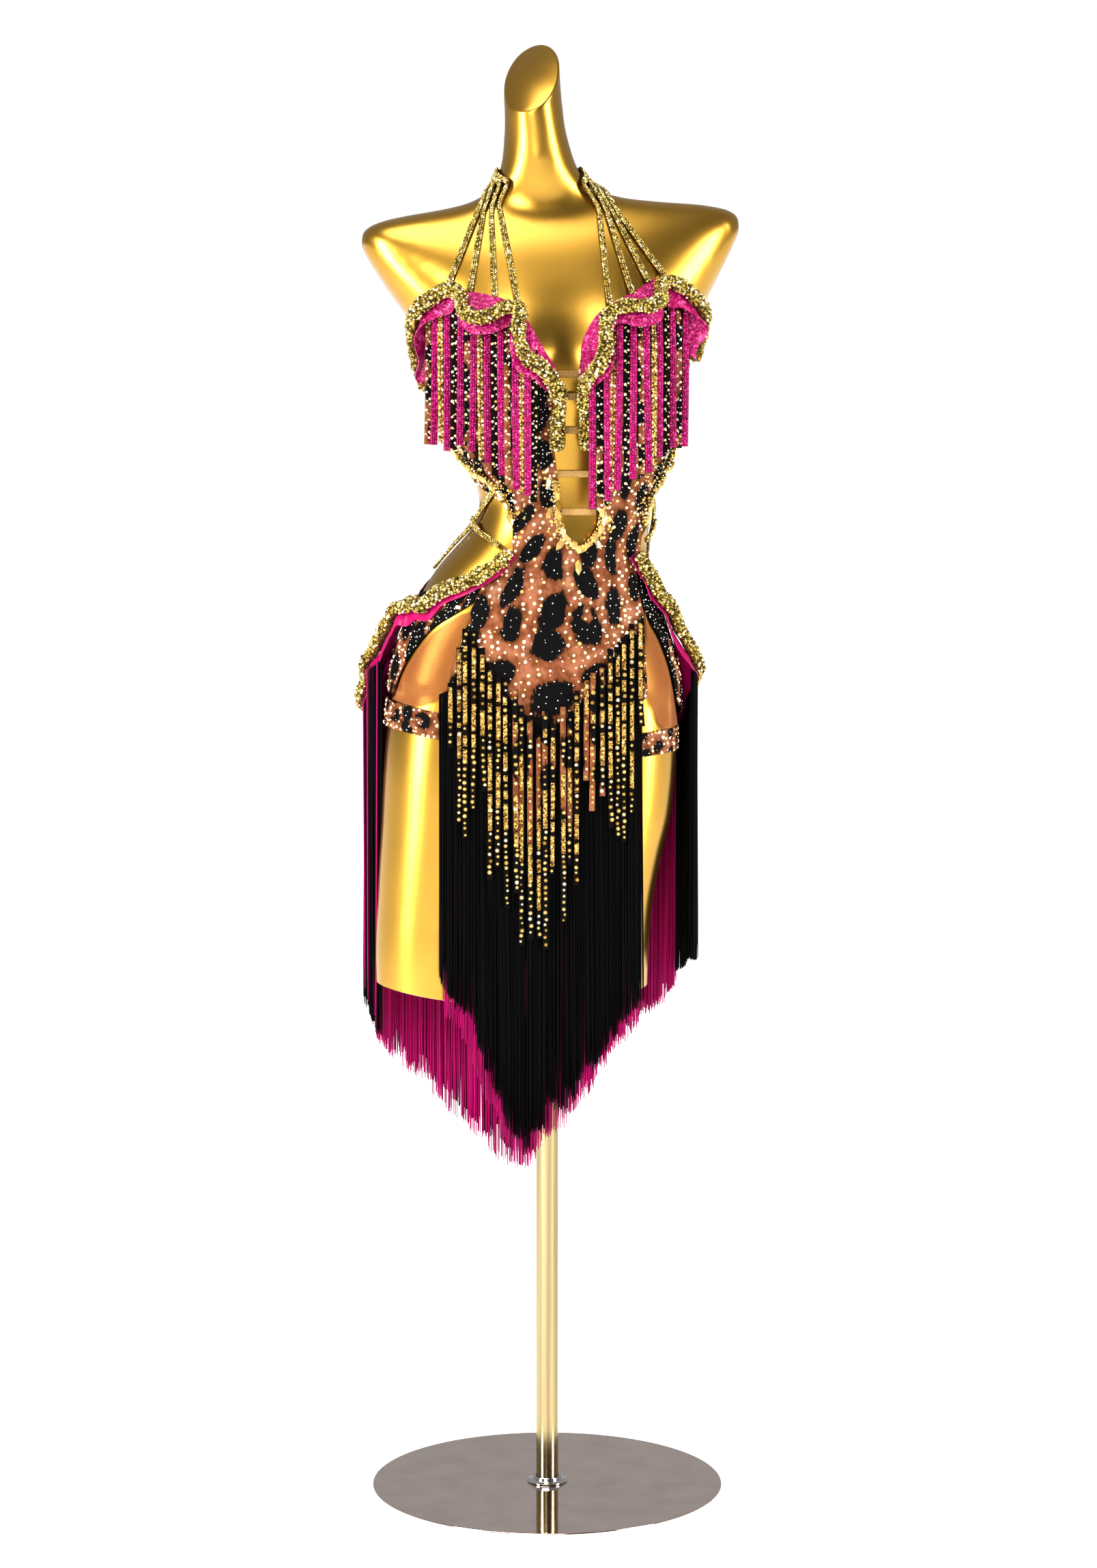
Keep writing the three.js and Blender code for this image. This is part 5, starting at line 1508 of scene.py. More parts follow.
# painted reflection: smears drawn out into long vertical streaks at half brightness stand in for the surroundings
# mirrored in the pole
POLE_BRASS = Polish("pale_brass", (0.5, 0.4, 0.22), 0.16, 1.0, drawn=0.01, grain=150.0, worn=0.5)
PRINT = AnimalPrint("leopard_cloth", (0.33, 0.135, 0.07), 0.75)
SATIN = Satin("pink_satin", (0.5, 0.003, 0.14), 0.34)
GLITTER_SATIN = Satin("pink_glitter_satin", (0.46, 0.003, 0.14), 0.3, glitter=1.6)
BEAD_GOLD = Jewel(
    "gold_beads", (0.52, 0.4, 0.11), 0.16, 0.8, other=(0.1, 0.06, 0.008), third=(1.0, 0.94, 0.7)
)
STRAP_BEAD = Jewel(
    "strap_stones", (0.6, 0.46, 0.14), 0.14, 0.75, other=(0.17, 0.11, 0.02), third=(1.0, 0.96, 0.7)
)
BEAD_CORE = Sequins("bead_ground", (0.22, 0.15, 0.03), 0.4, 0.6, dark=(0.04, 0.025, 0.004))
GEM = Jewel("gold_gems", (0.95, 0.68, 0.24), 0.1, 0.6, other=(0.42, 0.24, 0.03), third=(1.0, 0.95, 0.76))
STONE = Jewel(
    "champagne_stones", (1.0, 0.87, 0.58), 0.12, 0.3, other=(0.85, 0.55, 0.16), third=(1.0, 0.98, 0.9)
)
GLINT = Jewel("crystal_glints", (0.97, 0.96, 0.92), 0.1, 0.2, other=(0.9, 0.85, 0.7), third=(1.0, 1.0, 1.0))
PINK_BEAD = Jewel(
    "pink_beads", (0.55, 0.004, 0.19), 0.22, 0.35, other=(0.2, 0.0, 0.06), third=(0.85, 0.1, 0.4)
)
PINK_STRIP = Sequins("pink_strip", (0.36, 0.002, 0.12), 0.35, 0.2, dark=(0.12, 0.0, 0.03))
GOLD_STRIP = Sequins("gold_strip", (0.72, 0.46, 0.13), 0.22, 0.7, dark=(0.11, 0.045, 0.006))
BLACK_STRIP = Yarn("black_strip", (0.004, 0.0035, 0.003), 0.6, other=(0.012, 0.006, 0.003), gloss=0.05)
BLACK_YARN = Yarn("black_yarn", (0.0015, 0.0015, 0.0018), 0.5, other=(0.004, 0.0038, 0.004), gloss=0.07)
PINK_YARN = Yarn("pink_yarn", (0.62, 0.003, 0.21), 0.5, other=(0.3, 0.0, 0.09), gloss=0.2)
ELASTIC = Braid("braided_elastic", (0.66, 0.44, 0.16), 0.55, 0.1)
MESH = Sheer("sheer_mesh", (0.4, 0.135, 0.035), 0.5)


# ---------------------------------------------------------------- beads and stones


@dataclass(frozen=True)
class Setting:
    """Makes many small beads or stones of one cut as one mesh."""

    cut: Cut

    def template(self) -> tuple[Array, Array]:
        """Corners and three-cornered faces of one bead of radius 1.

        Returns:
            Corners and faces.
        """
        if self.cut is Cut.BEAD:
            g = (1 + 5**0.5) / 2
            ring = [(-1, g, 0), (1, g, 0), (-1, -g, 0), (1, -g, 0)]
            points = ring + [(0, a, b) for a, b, _ in ring] + [(b, 0, a) for a, b, _ in ring]
            faces = "0b5 051 017 07a 0ab 159 5b4 ba2 a76 718 394 342 326 368 389 495 24b 62a 867 981"
            index = np.array([[int(c, 16) for c in face] for face in faces.split()])
            return unit(np.array(points, float)), index
        sides = 6
        turn = 2 * np.pi * np.arange(sides) / sides
        flat = np.stack([np.cos(turn), np.sin(turn)], -1)
        if self.cut is Cut.DROP:
            flat = flat * np.array([1.75, 0.95])
            flat[0, 0] += 0.5
        low = np.column_stack([flat, np.zeros(sides)])
        high = np.column_stack([flat * 0.55, np.full(sides, 0.62)])
        fan = [(0, k, k + 1) for k in range(1, sides - 1)]
        faces = [(a, b, c)[::-1] for a, b, c in fan] + [(a + 6, b + 6, c + 6) for a, b, c in fan]
        for k in range(sides):
            n = (k + 1) % sides
            faces += [(k, n, n + 6), (k, n + 6, k + 6)]
        return np.concatenate([low, high]), np.array(faces)

    def mesh(
        self, rng: Chance, centres: Array, normals: Array, radii: Array, along: Array | None = None
    ) -> tuple[Array, Array]:
        """Sets the beads.

        Args:
            rng: The source of chance.
            centres: Where each one sits.
            normals: Outward directions.
            radii: Their radii.
            along: Directions of their long axes, or None for any.

        Returns:
            Corners and three-cornered faces.
        """
        points, faces = self.template()
        count = len(centres)
        if self.cut is Cut.BEAD:
            normals = unit(rng.normal(0, 1, (count, 3)))
        first = unit(rng.normal(0, 1, (count, 3))) if along is None else along
        first = unit(first - normals * np.einsum("ij,ij->i", first, normals)[:, None])
        second = np.cross(normals, first)
        axes = np.stack([first, second, normals], 1) * radii[:, None, None]
        corners = np.einsum("pk,nkj->npj", points, axes) + centres[:, None]
        index = faces[None] + (np.arange(count) * len(points))[:, None, None]
        return corners.reshape(-1, 3), index.reshape(-1, 3)


def join(parts: Sequence[tuple[Array, Array]]) -> tuple[Array, Array]:
    """Joins several sets of corners and faces.

    Args:
        parts: Corners and faces of each set.

    Returns:
        The joined corners and faces.
    """
    shift = np.cumsum([0] + [len(points) for points, _ in parts[:-1]])
    return (
        np.concatenate([points for points, _ in parts]),
        np.concatenate([faces + s for (_, faces), s in zip(parts, shift)]),
    )


@dataclass
class Studding:
    """Stones collected for one piece."""

    seed: int
    parts: list[tuple[Array, Array]] = field(default_factory=list)

    def __post_init__(self) -> None:
        """Starts the source of chance."""
        self.rng = np.random.default_rng(self.seed)

    def add(
        self, cut: Cut, centres: Array, normals: Array, low: float, high: float, along: Array | None = None
    ) -> None:
        """Adds stones of one cut.

        Args:
            cut: Their shape.
            centres: Where they sit.
            normals: Outward directions.
            low: Smallest radius.
            high: Largest radius.
            along: Directions of their long axes.
        """
        radii = self.rng.uniform(low, high, len(centres))
        self.parts.append(Setting(cut).mesh(self.rng, centres, normals, radii, along))

    def object(self, name: str, slot: str = "beads", finish: Finish = STONE) -> Piece:
        """Makes the stones' piece."""
        points, faces = join(self.parts)
        return place(build_mesh(name, points, [faces], smooth=False), slot, finish)


# ---------------------------------------------------------------- stand and form


def loft(rings: Array, ring: bool = False) -> tuple[Array, list[Array]]:
    """A closed body through rings of points.

    Args:
        rings: Rings by points by 3.
        ring: Whether the last ring meets the first, where otherwise both ends are capped.

    Returns:
        Corners and faces.
    """
    count, sides = rings.shape[:2]
    index = np.arange(count * sides).reshape(count, sides)
    rows = np.concatenate([index, index[:1]]) if ring else index
    near, far = rows[:-1], rows[1:]
    quads = np.stack([near, np.roll(near, -1, 1), np.roll(far, -1, 1), far], -1).reshape(-1, 4)
    caps = [] if ring else [index[:1, ::-1], index[-1:]]
    return rings.reshape(-1, 3), [quads, *caps]


@dataclass
class Stand:
    """Base plate, pole and collar."""

    plate_radius: float = 197.5
    plate_height: float = 6.0
    edge: float = 1.4
    pole_radius: float = 12.5
    pole_top: float = 905.0
    bevel: float = 0.5
    collar_bore: float = 13.1
    collar_radius: float = 23.0
    collar_height: float = 7.0
    clear: float = 0.3
    sides: int = 128

    def lathe(
        self, name: str, profile: Sequence[tuple[float, float]], ring: bool = False
    ) -> Piece:
        """Turns a profile into a closed body.

        Args:
            name: The object's name.
            profile: Radius and height pairs.
            ring: Whether the profile is closed in itself, round an open bore.

        Returns:
            The object.
        """
        turn = 2 * np.pi * np.arange(self.sides) / self.sides
        circle = np.stack([np.cos(turn), np.sin(turn), np.ones(self.sides)], -1)
        radius, height = np.array(profile, float).T
        obj = build_mesh(name, *loft(np.stack([radius, radius, height], -1)[:, None] * circle, ring))
        obj.data.set_sharp_from_angle(angle=math.radians(40))
        return obj

    def build(self) -> None:
        """Makes the three pieces."""
        r, h, e = self.plate_radius, self.plate_height, self.edge
        bend = [(math.sin(a), 1 - math.cos(a)) for a in np.radians([0, 25, 50, 70, 90])]
        low = [(r - e - 3, 0)] + [(r - e + e * s, e * c) for s, c in bend]
        high = [(r - e + e * s, h - e * c) for s, c in bend[::-1]] + [(r - e - 3, h)]
        place(self.lathe("base_disc", low + high), "base", PLATE_STEEL, ["base_plate"])
        start, bore, rim, top = h + self.clear, self.collar_bore, self.collar_radius, self.collar_height
        steps = (
            (bore, 0), (rim - 0.6, 0), (rim, 0.6), (rim, 1.6), (rim - 0.6, 2.2), (bore + 5.2, 2.6),
            (bore + 4.6, 3.2), (bore + 4.2, top - 0.6), (bore + 3.6, top), (bore, top),
        )
        collar = [(radius, start + rise) for radius, rise in steps]
        place(self.lathe("collar_ring", collar, True), "collar", COLLAR_STEEL, ["pole_collar"])
        p, b, top = self.pole_radius, self.bevel, self.pole_top
        pole = [(p - b, start), (p, start + b), (p, top - b), (p - b, top)]
        place(self.lathe("pole_tube", pole), "pole", POLE_BRASS, ["stand_pole"])
        log.info("stand: plate, collar and pole")


@dataclass
class DisplayForm:
    """The limbless form: trunk and thighs blended into one shell, with flat cut ends."""

    voxel: float = 4.3
    relax: int = 24
    sides: int = 120
    floor_z: float = 905.0
    floor_depth: float = 25.0
    neck_tilt: tuple[float, float, float] = (-0.45, -1.05, 1.0)
    neck_lip: float = 2.2
    thigh_lip: float = 2.0
    crotch_x: float = -20.0
    crotch_z: float = 750.0
    eased: int = 170

    def rings(
        self, rows: Table, heights: Iterable[float], rise: float = 0.0, bend: float = 0.0
    ) -> list[Array]:
        """Rings of points round a limb's or the trunk's plain sections.

        Args:
            rows: The sections.
            heights: One height for each ring.
            rise: How far each ring is carried past its section.
            bend: How far the section is drawn in, as the angle of a rounded end.

        Returns:
            The rings.
        """
        angle = np.linspace(0, 360, self.sides, endpoint=False)
        made = []
        for z in heights:
            row = Body.row_at(rows, np.full(self.sides, z))
            row |= {name: row[name] * math.cos(bend) for name in ("half", "front", "back")}
            row["z"] = row["z"] + rise
            made.append(Body.section(row, angle))
        return made

    def trunk(self) -> tuple[Array, list[Array]]:
        """The trunk with a rounded floor, and the neck carried on past its cut.

        Returns:
            Corners and faces.
        """
        angle = np.linspace(0, 360, self.sides, endpoint=False)
        rings = []
        for bend in np.radians([88, 75, 60, 45, 30, 15]):
            rings += self.rings(TRUNK, [self.floor_z], -self.floor_depth * math.sin(bend), bend)
        for z in np.arange(self.floor_z, NECK_END, 3.5):
            rings.append(BODY.trunk(np.full(self.sides, z), angle))
        for rise in (0.0, 20.0, 45.0):
            rings += self.rings(TRUNK, [NECK_END], rise)
        return loft(np.array(rings))

    def thigh(self, side: Side) -> tuple[Array, list[Array]]:
        """One thigh, carried on past its cut."""
        z = THIGHS[side]["z"]
        return loft(np.array(self.rings(THIGHS[side], np.arange(z[0], z[-1], 5.0))))

    @staticmethod
    def settle(obj: Piece) -> None:
        """Makes the modifiers' result the piece's own mesh.

        Args:
            obj: The piece.
        """
        depsgraph = bpy.context.evaluated_depsgraph_get()
        obj.data = bpy.data.meshes.new_from_object(obj.evaluated_get(depsgraph))
        obj.modifiers.clear()

    def ease_neck(self, obj: Piece) -> None:
        """Rounds the hollow in front, where the neck meets the chest, more than the rest.

        Args:
            obj: The form.
        """
        points = np.empty(len(obj.data.vertices) * 3, np.float32)
        obj.data.vertices.foreach_get("co", points)
        x, y, z = points.reshape(-1, 3).T / MM
        near = np.exp(-(((z - 1436) / 30) ** 2) - ((x + 5) / 46) ** 2) * np.clip((10 - y) / 20, 0, 1)
        group = obj.vertex_groups.new(name="neck_foot")
        for step in range(1, 11):
            inside = np.flatnonzero(np.ceil(near * 10) == step)
            group.add(inside.tolist(), step / 10, "REPLACE")
        ease = obj.modifiers.new("ease", "SMOOTH")
        ease.factor, ease.iterations, ease.vertex_group = 0.5, self.eased, group.name

    @staticmethod
    def cut_end(
        mesh: bmesh.types.BMesh, verts: list[bmesh.types.BMVert], point: Vector, away: Vector, lip: float
    ) -> None:
        """Cuts an end off flat and closes it with a softly broken edge.

        Args:
            mesh: The shell.
            verts: Its corners on this side of the other ends.
            point: A point on the cut.
            away: The direction of the end that goes.
            lip: Width of the broken edge.
        """
        away, near = away.normalized(), set(verts)
        faces = [f for f in mesh.faces if all(v in near for v in f.verts)]
        geom = [*verts, *{e for f in faces for e in f.edges}, *faces]
        cut = bmesh.ops.bisect_plane(
            mesh, geom=geom, dist=1e-6, plane_co=point, plane_no=away, clear_outer=True
        )
        rim = [e for e in cut["geom_cut"] if isinstance(e, bmesh.types.BMEdge)]
        for inset, rise in ((lip * 0.3, lip * 0.25), (lip, lip * 0.45)):
            made = bmesh.ops.extrude_edge_only(mesh, edges=rim)["geom"]
            ring = {v for v in made if isinstance(v, bmesh.types.BMVert)}
            edges = [e for e in made if isinstance(e, bmesh.types.BMEdge)]
            rim = [e for e in edges if all(v in ring for v in e.verts)]
            middle = sum((v.co for v in ring), Vector()) / len(ring)
            for vert in ring:
                inward = (middle - vert.co).normalized()
                vert.co += inward * inset * MM + away * rise * MM
        bmesh.ops.holes_fill(mesh, edges=rim, sides=0)

    def build(self) -> None:
        """Blends, smooths, cuts and dresses the shell."""
        parts = [self.trunk(), self.thigh(Side.LEFT), self.thigh(Side.RIGHT)]
        shift = np.cumsum([0] + [len(p) for p, _ in parts[:-1]])
        faces = [f + s for (_, group), s in zip(parts, shift) for f in group]
        obj = build_mesh("form_shell", np.concatenate([p for p, _ in parts]), faces)
        blend = obj.modifiers.new("blend", "REMESH")
        blend.mode, blend.voxel_size, blend.use_smooth_shade = "VOXEL", self.voxel * MM, True
        smooth = obj.modifiers.new("smooth", "SMOOTH")
        smooth.factor, smooth.iterations = 0.5, self.relax
        self.settle(obj)
        self.ease_neck(obj)
        self.settle(obj)
        mesh = bmesh.new()
        mesh.from_mesh(obj.data)
        neck = Vector((-17, 0, NECK_END)) * MM
        self.cut_end(mesh, mesh.verts[:], neck, Vector(self.neck_tilt), self.neck_lip)
        for side, slant in THIGH_SLANT.items():
            middle = Vector((THIGHS[side]["cx"][0], 0, THIGH_END)) * MM
            low = [v for v in mesh.verts if v.co.z < self.crotch_z * MM]
            low = [v for v in low if (v.co.x - self.crotch_x * MM) * side.value > 0]
            self.cut_end(mesh, low, middle, Vector((slant, 0, -1)), self.thigh_lip)
        bmesh.ops.recalc_face_normals(mesh, faces=mesh.faces)
        for face in mesh.faces:
            face.smooth = True
        mesh.to_mesh(obj.data)
        mesh.free()
        obj.data.set_sharp_from_angle(angle=math.radians(38))
        place(obj, "form", FORM_GOLD, ["form_body"])
        log.info("form: %d faces", len(obj.data.polygons))


# ---------------------------------------------------------------- sewn panels


def apron_gap(z: Array | float) -> Array:
    """Distance of the front panel from the body: it hangs clear of the thighs."""
    t = np.clip((940 - np.asarray(z, float)) / 45, 0, 1)
    return SKIN_GAP + 5.6 * t * t * (3 - 2 * t)


def beside_front(side: Side, from_z: float, to_z: float, away: float) -> Array:
    """The front panel's edge line, a little further out, for the piece that is sewn to it."""
    z = np.linspace(from_z, to_z, 5)
    x = smooth_at(FRONT_EDGE[side], "z", "x", z) + side.value * away
    return BODY.pattern({"x": x, "z": z})


@dataclass
class Panels:
    """The print panels, the sheer insets and their stones."""

    columns: int = 76
    rows: int = 96
    close: float = 0.9

    def sew(self, cloth: Cloth, name: str, seed: int = 0, pitch: float = 0.0, node: str = "") -> None:
        """Makes a panel, dresses it, states its cut and sets its stones.

        Args:
            cloth: The panel.
            name: Its name.
            seed: Starts the source of chance for its stones; nought for a sheer inset, which has none.
            pitch: The usual distance between its large stones.
            node: The frame's node that it stands for, where that isn't its name.
        """
        slot, finish = ("print", PRINT) if seed else ("mesh", MESH)
        obj = place(cloth.object(f"{name}_cloth"), slot, finish, [node or name])
        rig.sheet(obj, held="stretched", rests_on=["form_body"], **cloth.cut())
        if seed:
            self.stones(cloth, f"{name}_stones", seed, pitch)
        log.info("panel: %s", name)

    def stones(self, cloth: Cloth, name: str, seed: int, pitch: float) -> None:
        """Scatters stones over a panel: large ones on the ground, small ones on the spots.

        Args:
            cloth: The panel.
            name: The stones' name.
            seed: Starts the source of chance.
            pitch: The usual distance between large stones.
        """
        studding = Studding(seed)
        points, normals, depth = cloth.spots(studding.rng, pitch)
        ground = depth < -0.8
        studding.add(Cut.STONE, (points - 0.1 * normals)[ground], normals[ground], 1.2, 2.5)
        studding.object(name)
        glints = Studding(seed + 500)
        points, normals, depth = cloth.spots(glints.rng, pitch * 1.02, 0.45)
        spots = (depth > 0.4) | (glints.rng.random(len(depth)) < 0.35)
        glints.add(Cut.STONE, points[spots], normals[spots], 0.5, 0.95)
        glints.object(f"{name}_small", finish=GLINT)

    def bodice(self, side: Side) -> None:
        """One cup and midriff.

        Args:
            side: Which side.
        """
        rows = BUST_FLOUNCE[side]
        roots = {"x": rows["root_x"][2:], "z": rows["root_z"][2:] - 3}
        underarm = np.array([[side.value * BODICE_SIDE, 1298.0]])
        top = np.concatenate([underarm, BODY.pattern(roots)[::-1]])
        plunge = BODY.pattern(PLUNGE[side])
        plunge[0] = top[-1]
        edge = BODICE_EDGE[side]
        sides = np.array([[side.value * BODICE_SIDE, 1250.0], [side.value * BODICE_SIDE, edge["z"][0]]])
        lower = BODY.pattern({"x": edge["x"][1:], "z": edge["z"][1:]})
        outer = np.concatenate([underarm, sides, lower])
        bottom = np.stack([outer[-1], plunge[-1]])
        cloth = lay_panel(top, bottom, outer, plunge, self.columns, self.rows)
        self.sew(cloth, f"bodice_{side.label}", 21 + side.value, 8.6)

    def front(self) -> None:
        """The front panel below the waist."""
        left, right = BODY.pattern(FRONT_EDGE[Side.LEFT]), BODY.pattern(FRONT_EDGE[Side.RIGHT])
        left[0, 1] += self.close
        right[0, 1] += self.close
        seam = BODY.pattern({"x": np.array([0.0, 34, 70]), "z": np.full(3, WAIST_SEAM + self.close)})
        top = np.concatenate([left[:1], seam, right[:1]])
        hem = BODY.pattern(FRONT_HEM)
        hem[0], hem[-1] = left[-1], right[-1]
        cloth = lay_panel(top, hem, left, right, self.columns, self.rows, apron_gap)
        self.sew(cloth, "front", 31, 9.0, "front_panel")

    def seat(self) -> None:
        """The yoke round the sides and back."""
        left = beside_front(Side.LEFT, 1040, 1004, SEAM + 0.4)
        right = beside_front(Side.RIGHT, 1044, 998, SEAM + 0.4) - [360, 0]
        back = BODY.pattern(SEAT_TOP_SIDE[Side.RIGHT])[::-1] - [360, 0]
        top = [left[:1], BODY.pattern(SEAT_TOP_SIDE[Side.LEFT]), angled(SEAT_TOP), back, right[:1]]
        opening = {side: BODY.pattern(LEG_OPENING[side])[1:] for side in Side}
        low = [left[-1:], opening[Side.LEFT], angled(SEAT_BOTTOM), opening[Side.RIGHT][::-1] - [360, 0]]
        bottom = np.concatenate([*low, right[-1:]])
        cloth = lay_panel(np.concatenate(top), bottom, left, right, 230, 42, lambda z: 1.5 + 0 * z)
        # painted shade: towards both ends of the yoke, at its front corners under the hip flounces, the print is
        # turned almost wholly black, standing in for the flounces' shadow
        share = np.linspace(0, 1, cloth.depth.shape[1])
        cloth.depth += 11 * np.clip(1 - np.minimum(share, 1 - share) / 0.17, 0, 1)
        self.sew(cloth, "seat", 41, 11.0, "seat_panel")

    def mesh_leg(self, side: Side) -> None:
        """Sheer inset at the top of one thigh.

        Args:
            side: Which side.
        """
        sign = side.value
        band = LEG_BAND[side]
        centre = float(smooth_at(THIGHS[side], "z", "cx", band["top"]))

        def low_at(x: float) -> float:
            """Height of the leg band's top edge."""
            return band["top"] + band["roll"] * (x - centre) + 3

        opening = LEG_OPENING[side]
        outer_x = opening["x"][-1]
        inner = beside_front(side, 994, max(low_at(sign * 108), 902), 2)
        x = np.concatenate([[opening["x"][0] + 2 * sign], opening["x"][1:] - sign * 2.5, [outer_x + sign]])
        z = np.concatenate([[994], opening["z"][1:] - 2.5, [low_at(outer_x)]])
        outer = BODY.pattern({"x": x, "z": z})
        middle_x = (outer_x + sign * 110) / 2
        middle = BODY.pattern({"x": np.array([middle_x]), "z": np.array([low_at(middle_x)])})
        bottom = np.concatenate([outer[-1:], middle, inner[-1:]])
        top = np.stack([outer[0], inner[0]])
        cloth = lay_panel(top, bottom, outer, inner, 30, 40)
        self.sew(cloth, f"mesh_leg_{side.label}")

    def leg_band(self, side: Side) -> None:
        """Print band round one thigh.

        Args:
            side: Which side.
        """
        band = LEG_BAND[side]
        angle = np.linspace(0, 360, 120, endpoint=False)

        def ring(z: Array, turn: Array) -> Array:
            """Points on the thigh."""
            return Body.section(Body.row_at(THIGHS[side], z) | {"roll": band["roll"]}, turn)

        heights = np.linspace(band["bottom"], band["top"], 12)
        z, turn = np.meshgrid(heights, angle, indexing="ij")
        up = ring(z + 1, turn) - ring(z - 1, turn)
        normal = unit(np.cross(ring(z, turn + 1.5) - ring(z, turn - 1.5), up))
        hem = 0.35 * np.cos(np.linspace(-np.pi, np.pi, 12))[:, None, None]
        inner = ring(z, turn) + normal * 1.0
        depth = BAND_SPOTS.depth(np.radians((turn + 180) % 360 - 180) * 72, z)
        cloth = Cloth(inner, inner + normal * (CLOTH + hem * 0.4), closed=True, depth=depth)
        self.sew(cloth, f"leg_band_{side.label}", 51 + side.value, 7.4)

    def back_band(self) -> None:
        """Band that closes the bodice at the back."""
        angle = np.linspace(-BODICE_SIDE - 0.4, BODICE_SIDE + 0.4 - 360, 90)
        z = np.linspace(1228, 1204, 14)
        zz, turn = np.meshgrid(z, angle, indexing="ij")
        depth = SPOTS.depth(np.radians(turn) * SPOTS.radius, zz)
        faces = BODY.skin(zz, turn, SKIN_GAP), BODY.skin(zz, turn, SKIN_GAP + CLOTH)
        cloth = Cloth(*faces, depth=depth)
        self.sew(cloth, "back_band", 61, 8.0)

    def build(self) -> None:
        """Makes all panels."""
        self.front()
        self.seat()
        self.back_band()
        for side in Side:
            self.bodice(side)
            self.mesh_leg(side)
            self.leg_band(side)


# ---------------------------------------------------------------- flounces and beaded ropes


@dataclass
class Flounce:
    """A satin frill with a beaded rope on it: lines that keep step with each other."""

    side: Side
    angle: Array
    root_z: Array
    rope_angle: Array
    rope_z: Array
    out: Array
    drop: Array
    radius: float = 5.4
    gap: float = 1.6
    per_stop: int = 12

    def __post_init__(self) -> None:
        """Works out the lines."""
        down = np.array([0.0, 0.0, -1.0])
        rope = BODY.skin(self.rope_z, self.rope_angle, self.out)
        root = BODY.skin(self.root_z, self.angle, OVER_CLOTH + 0.3 + 0.6)
        run = unit(np.concatenate([rope[1:], rope[-1:]]) - np.concatenate([rope[:1], rope[:-1]]))

        def square(vectors: Array) -> Array:
            """What is left of vectors across the rope's run."""
            return vectors - run * np.einsum("ij,ij->i", vectors, run)[:, None]

        clear = self.radius + 0.6 + self.gap
        reach = square(rope - root)
        along = unit(reach)
        rise = np.cross(along, run) * self.side.value
        lean = np.minimum(clear / np.linalg.norm(reach, axis=1), 0.95)[:, None]
        self.lift = along * lean + rise * np.sqrt(1 - lean * lean)
        under = rope - self.lift * clear
        self.edge = under + square(along * 0.35 + down) * self.drop[:, None]
        self.root, self.under, self.rope = root, under, rope

    def cloth(self, rng: Chance) -> Cloth:
        """The satin, as a soft S from its seam over the rope line to the free edge.

        Args:
            rng: The source of chance.

        Returns:
            The panel.
        """
        lines = [follow(line, self.per_stop) for line in (self.root, self.under, self.edge)]
        root, under, edge = lines
        count = len(root)
        share = np.linspace(0, 1, 11)[:, None, None]
        upper = root + (under - root) * share
        fall = np.linspace(0, 1, 8)[1:, None, None]
        lower = under + (edge - under) * fall
        grid = np.concatenate([upper, lower])
        for _ in range(3):
            grid[1:-1] = (grid[:-2] + 2 * grid[1:-1] + grid[2:]) / 4
        ripple = wander(rng, count, 7, 0.5) + wander(rng, count, 3, 0.25)
        weight = np.concatenate([np.linspace(0, 0.5, 11), np.linspace(0.55, 1, 7)])[:, None]
        normal = unit(np.cross(np.gradient(grid, axis=0), np.gradient(grid, axis=1)))
        grid = grid + normal * (weight * ripple)[..., None]
        return Cloth(grid - normal * 0.5, grid + normal * 0.5)


@dataclass
class BeadedRope:
    """A cord crusted with gold beads."""

    name: str
    path: Array
    lifts: Array
    seed: int
    radius: float = 6.9
    pitch: float = 3.1

    def build(self) -> None:
        """Makes the core and its beads."""
        rng = np.random.default_rng(self.seed)
        total = lengths(self.path)[-1]
        steps = np.arange(0, total, 1.6)
        path, lifts = along_line(self.path, steps), unit(along_line(self.path, steps, self.lifts))
        swell = 1 + wander(rng, len(steps), 9, 0.1)
        end = np.clip(np.minimum(steps, total - steps) / 7, 0, 1)
        swell = swell * (0.55 + 0.45 * np.sqrt(end))
        outline = ellipse(1, 0.92, 14)[None] * (self.radius * swell)[:, None, None]
        core = sweep(f"{self.name}_core", path, lifts, outline[None])
        place(core, "beads", BEAD_CORE, [self.name])
        across, outward = frames(path, lifts)
        rows = np.arange(0.5 * self.pitch, total, self.pitch)
        around = max(8, round(2 * np.pi * self.radius / self.pitch))
        at = np.repeat(rows, around) + rng.uniform(-1.1, 1.1, len(rows) * around)
        turn = np.tile(np.arange(around), len(rows)) * 2 * np.pi / around
        turn = turn + np.repeat(rng.uniform(0, 2 * np.pi, len(rows)), around)
        turn = turn + rng.uniform(-0.25, 0.25, len(turn))
        at = np.clip(at, 0, total)
        middle = along_line(self.path, at)
        side, out = along_line(path, at, across), along_line(path, at, outward)
        size = np.interp(at, steps, swell) * self.radius
        direction = unit(side) * np.cos(turn)[:, None] + unit(out) * np.sin(turn)[:, None]
        lump = rng.uniform(-0.5, 0.8, len(at))
        studding = Studding(self.seed + 1)
        centres = middle + direction * (size + lump)[:, None]
        open_side = np.sin(turn) > -0.6
        studding.add(Cut.BEAD, centres[open_side], direction[open_side], 1.4, 2.5)
        studding.object(f"{self.name}_beads", finish=BEAD_GOLD)
        log.info("rope: %s, %d beads", self.name, len(at))


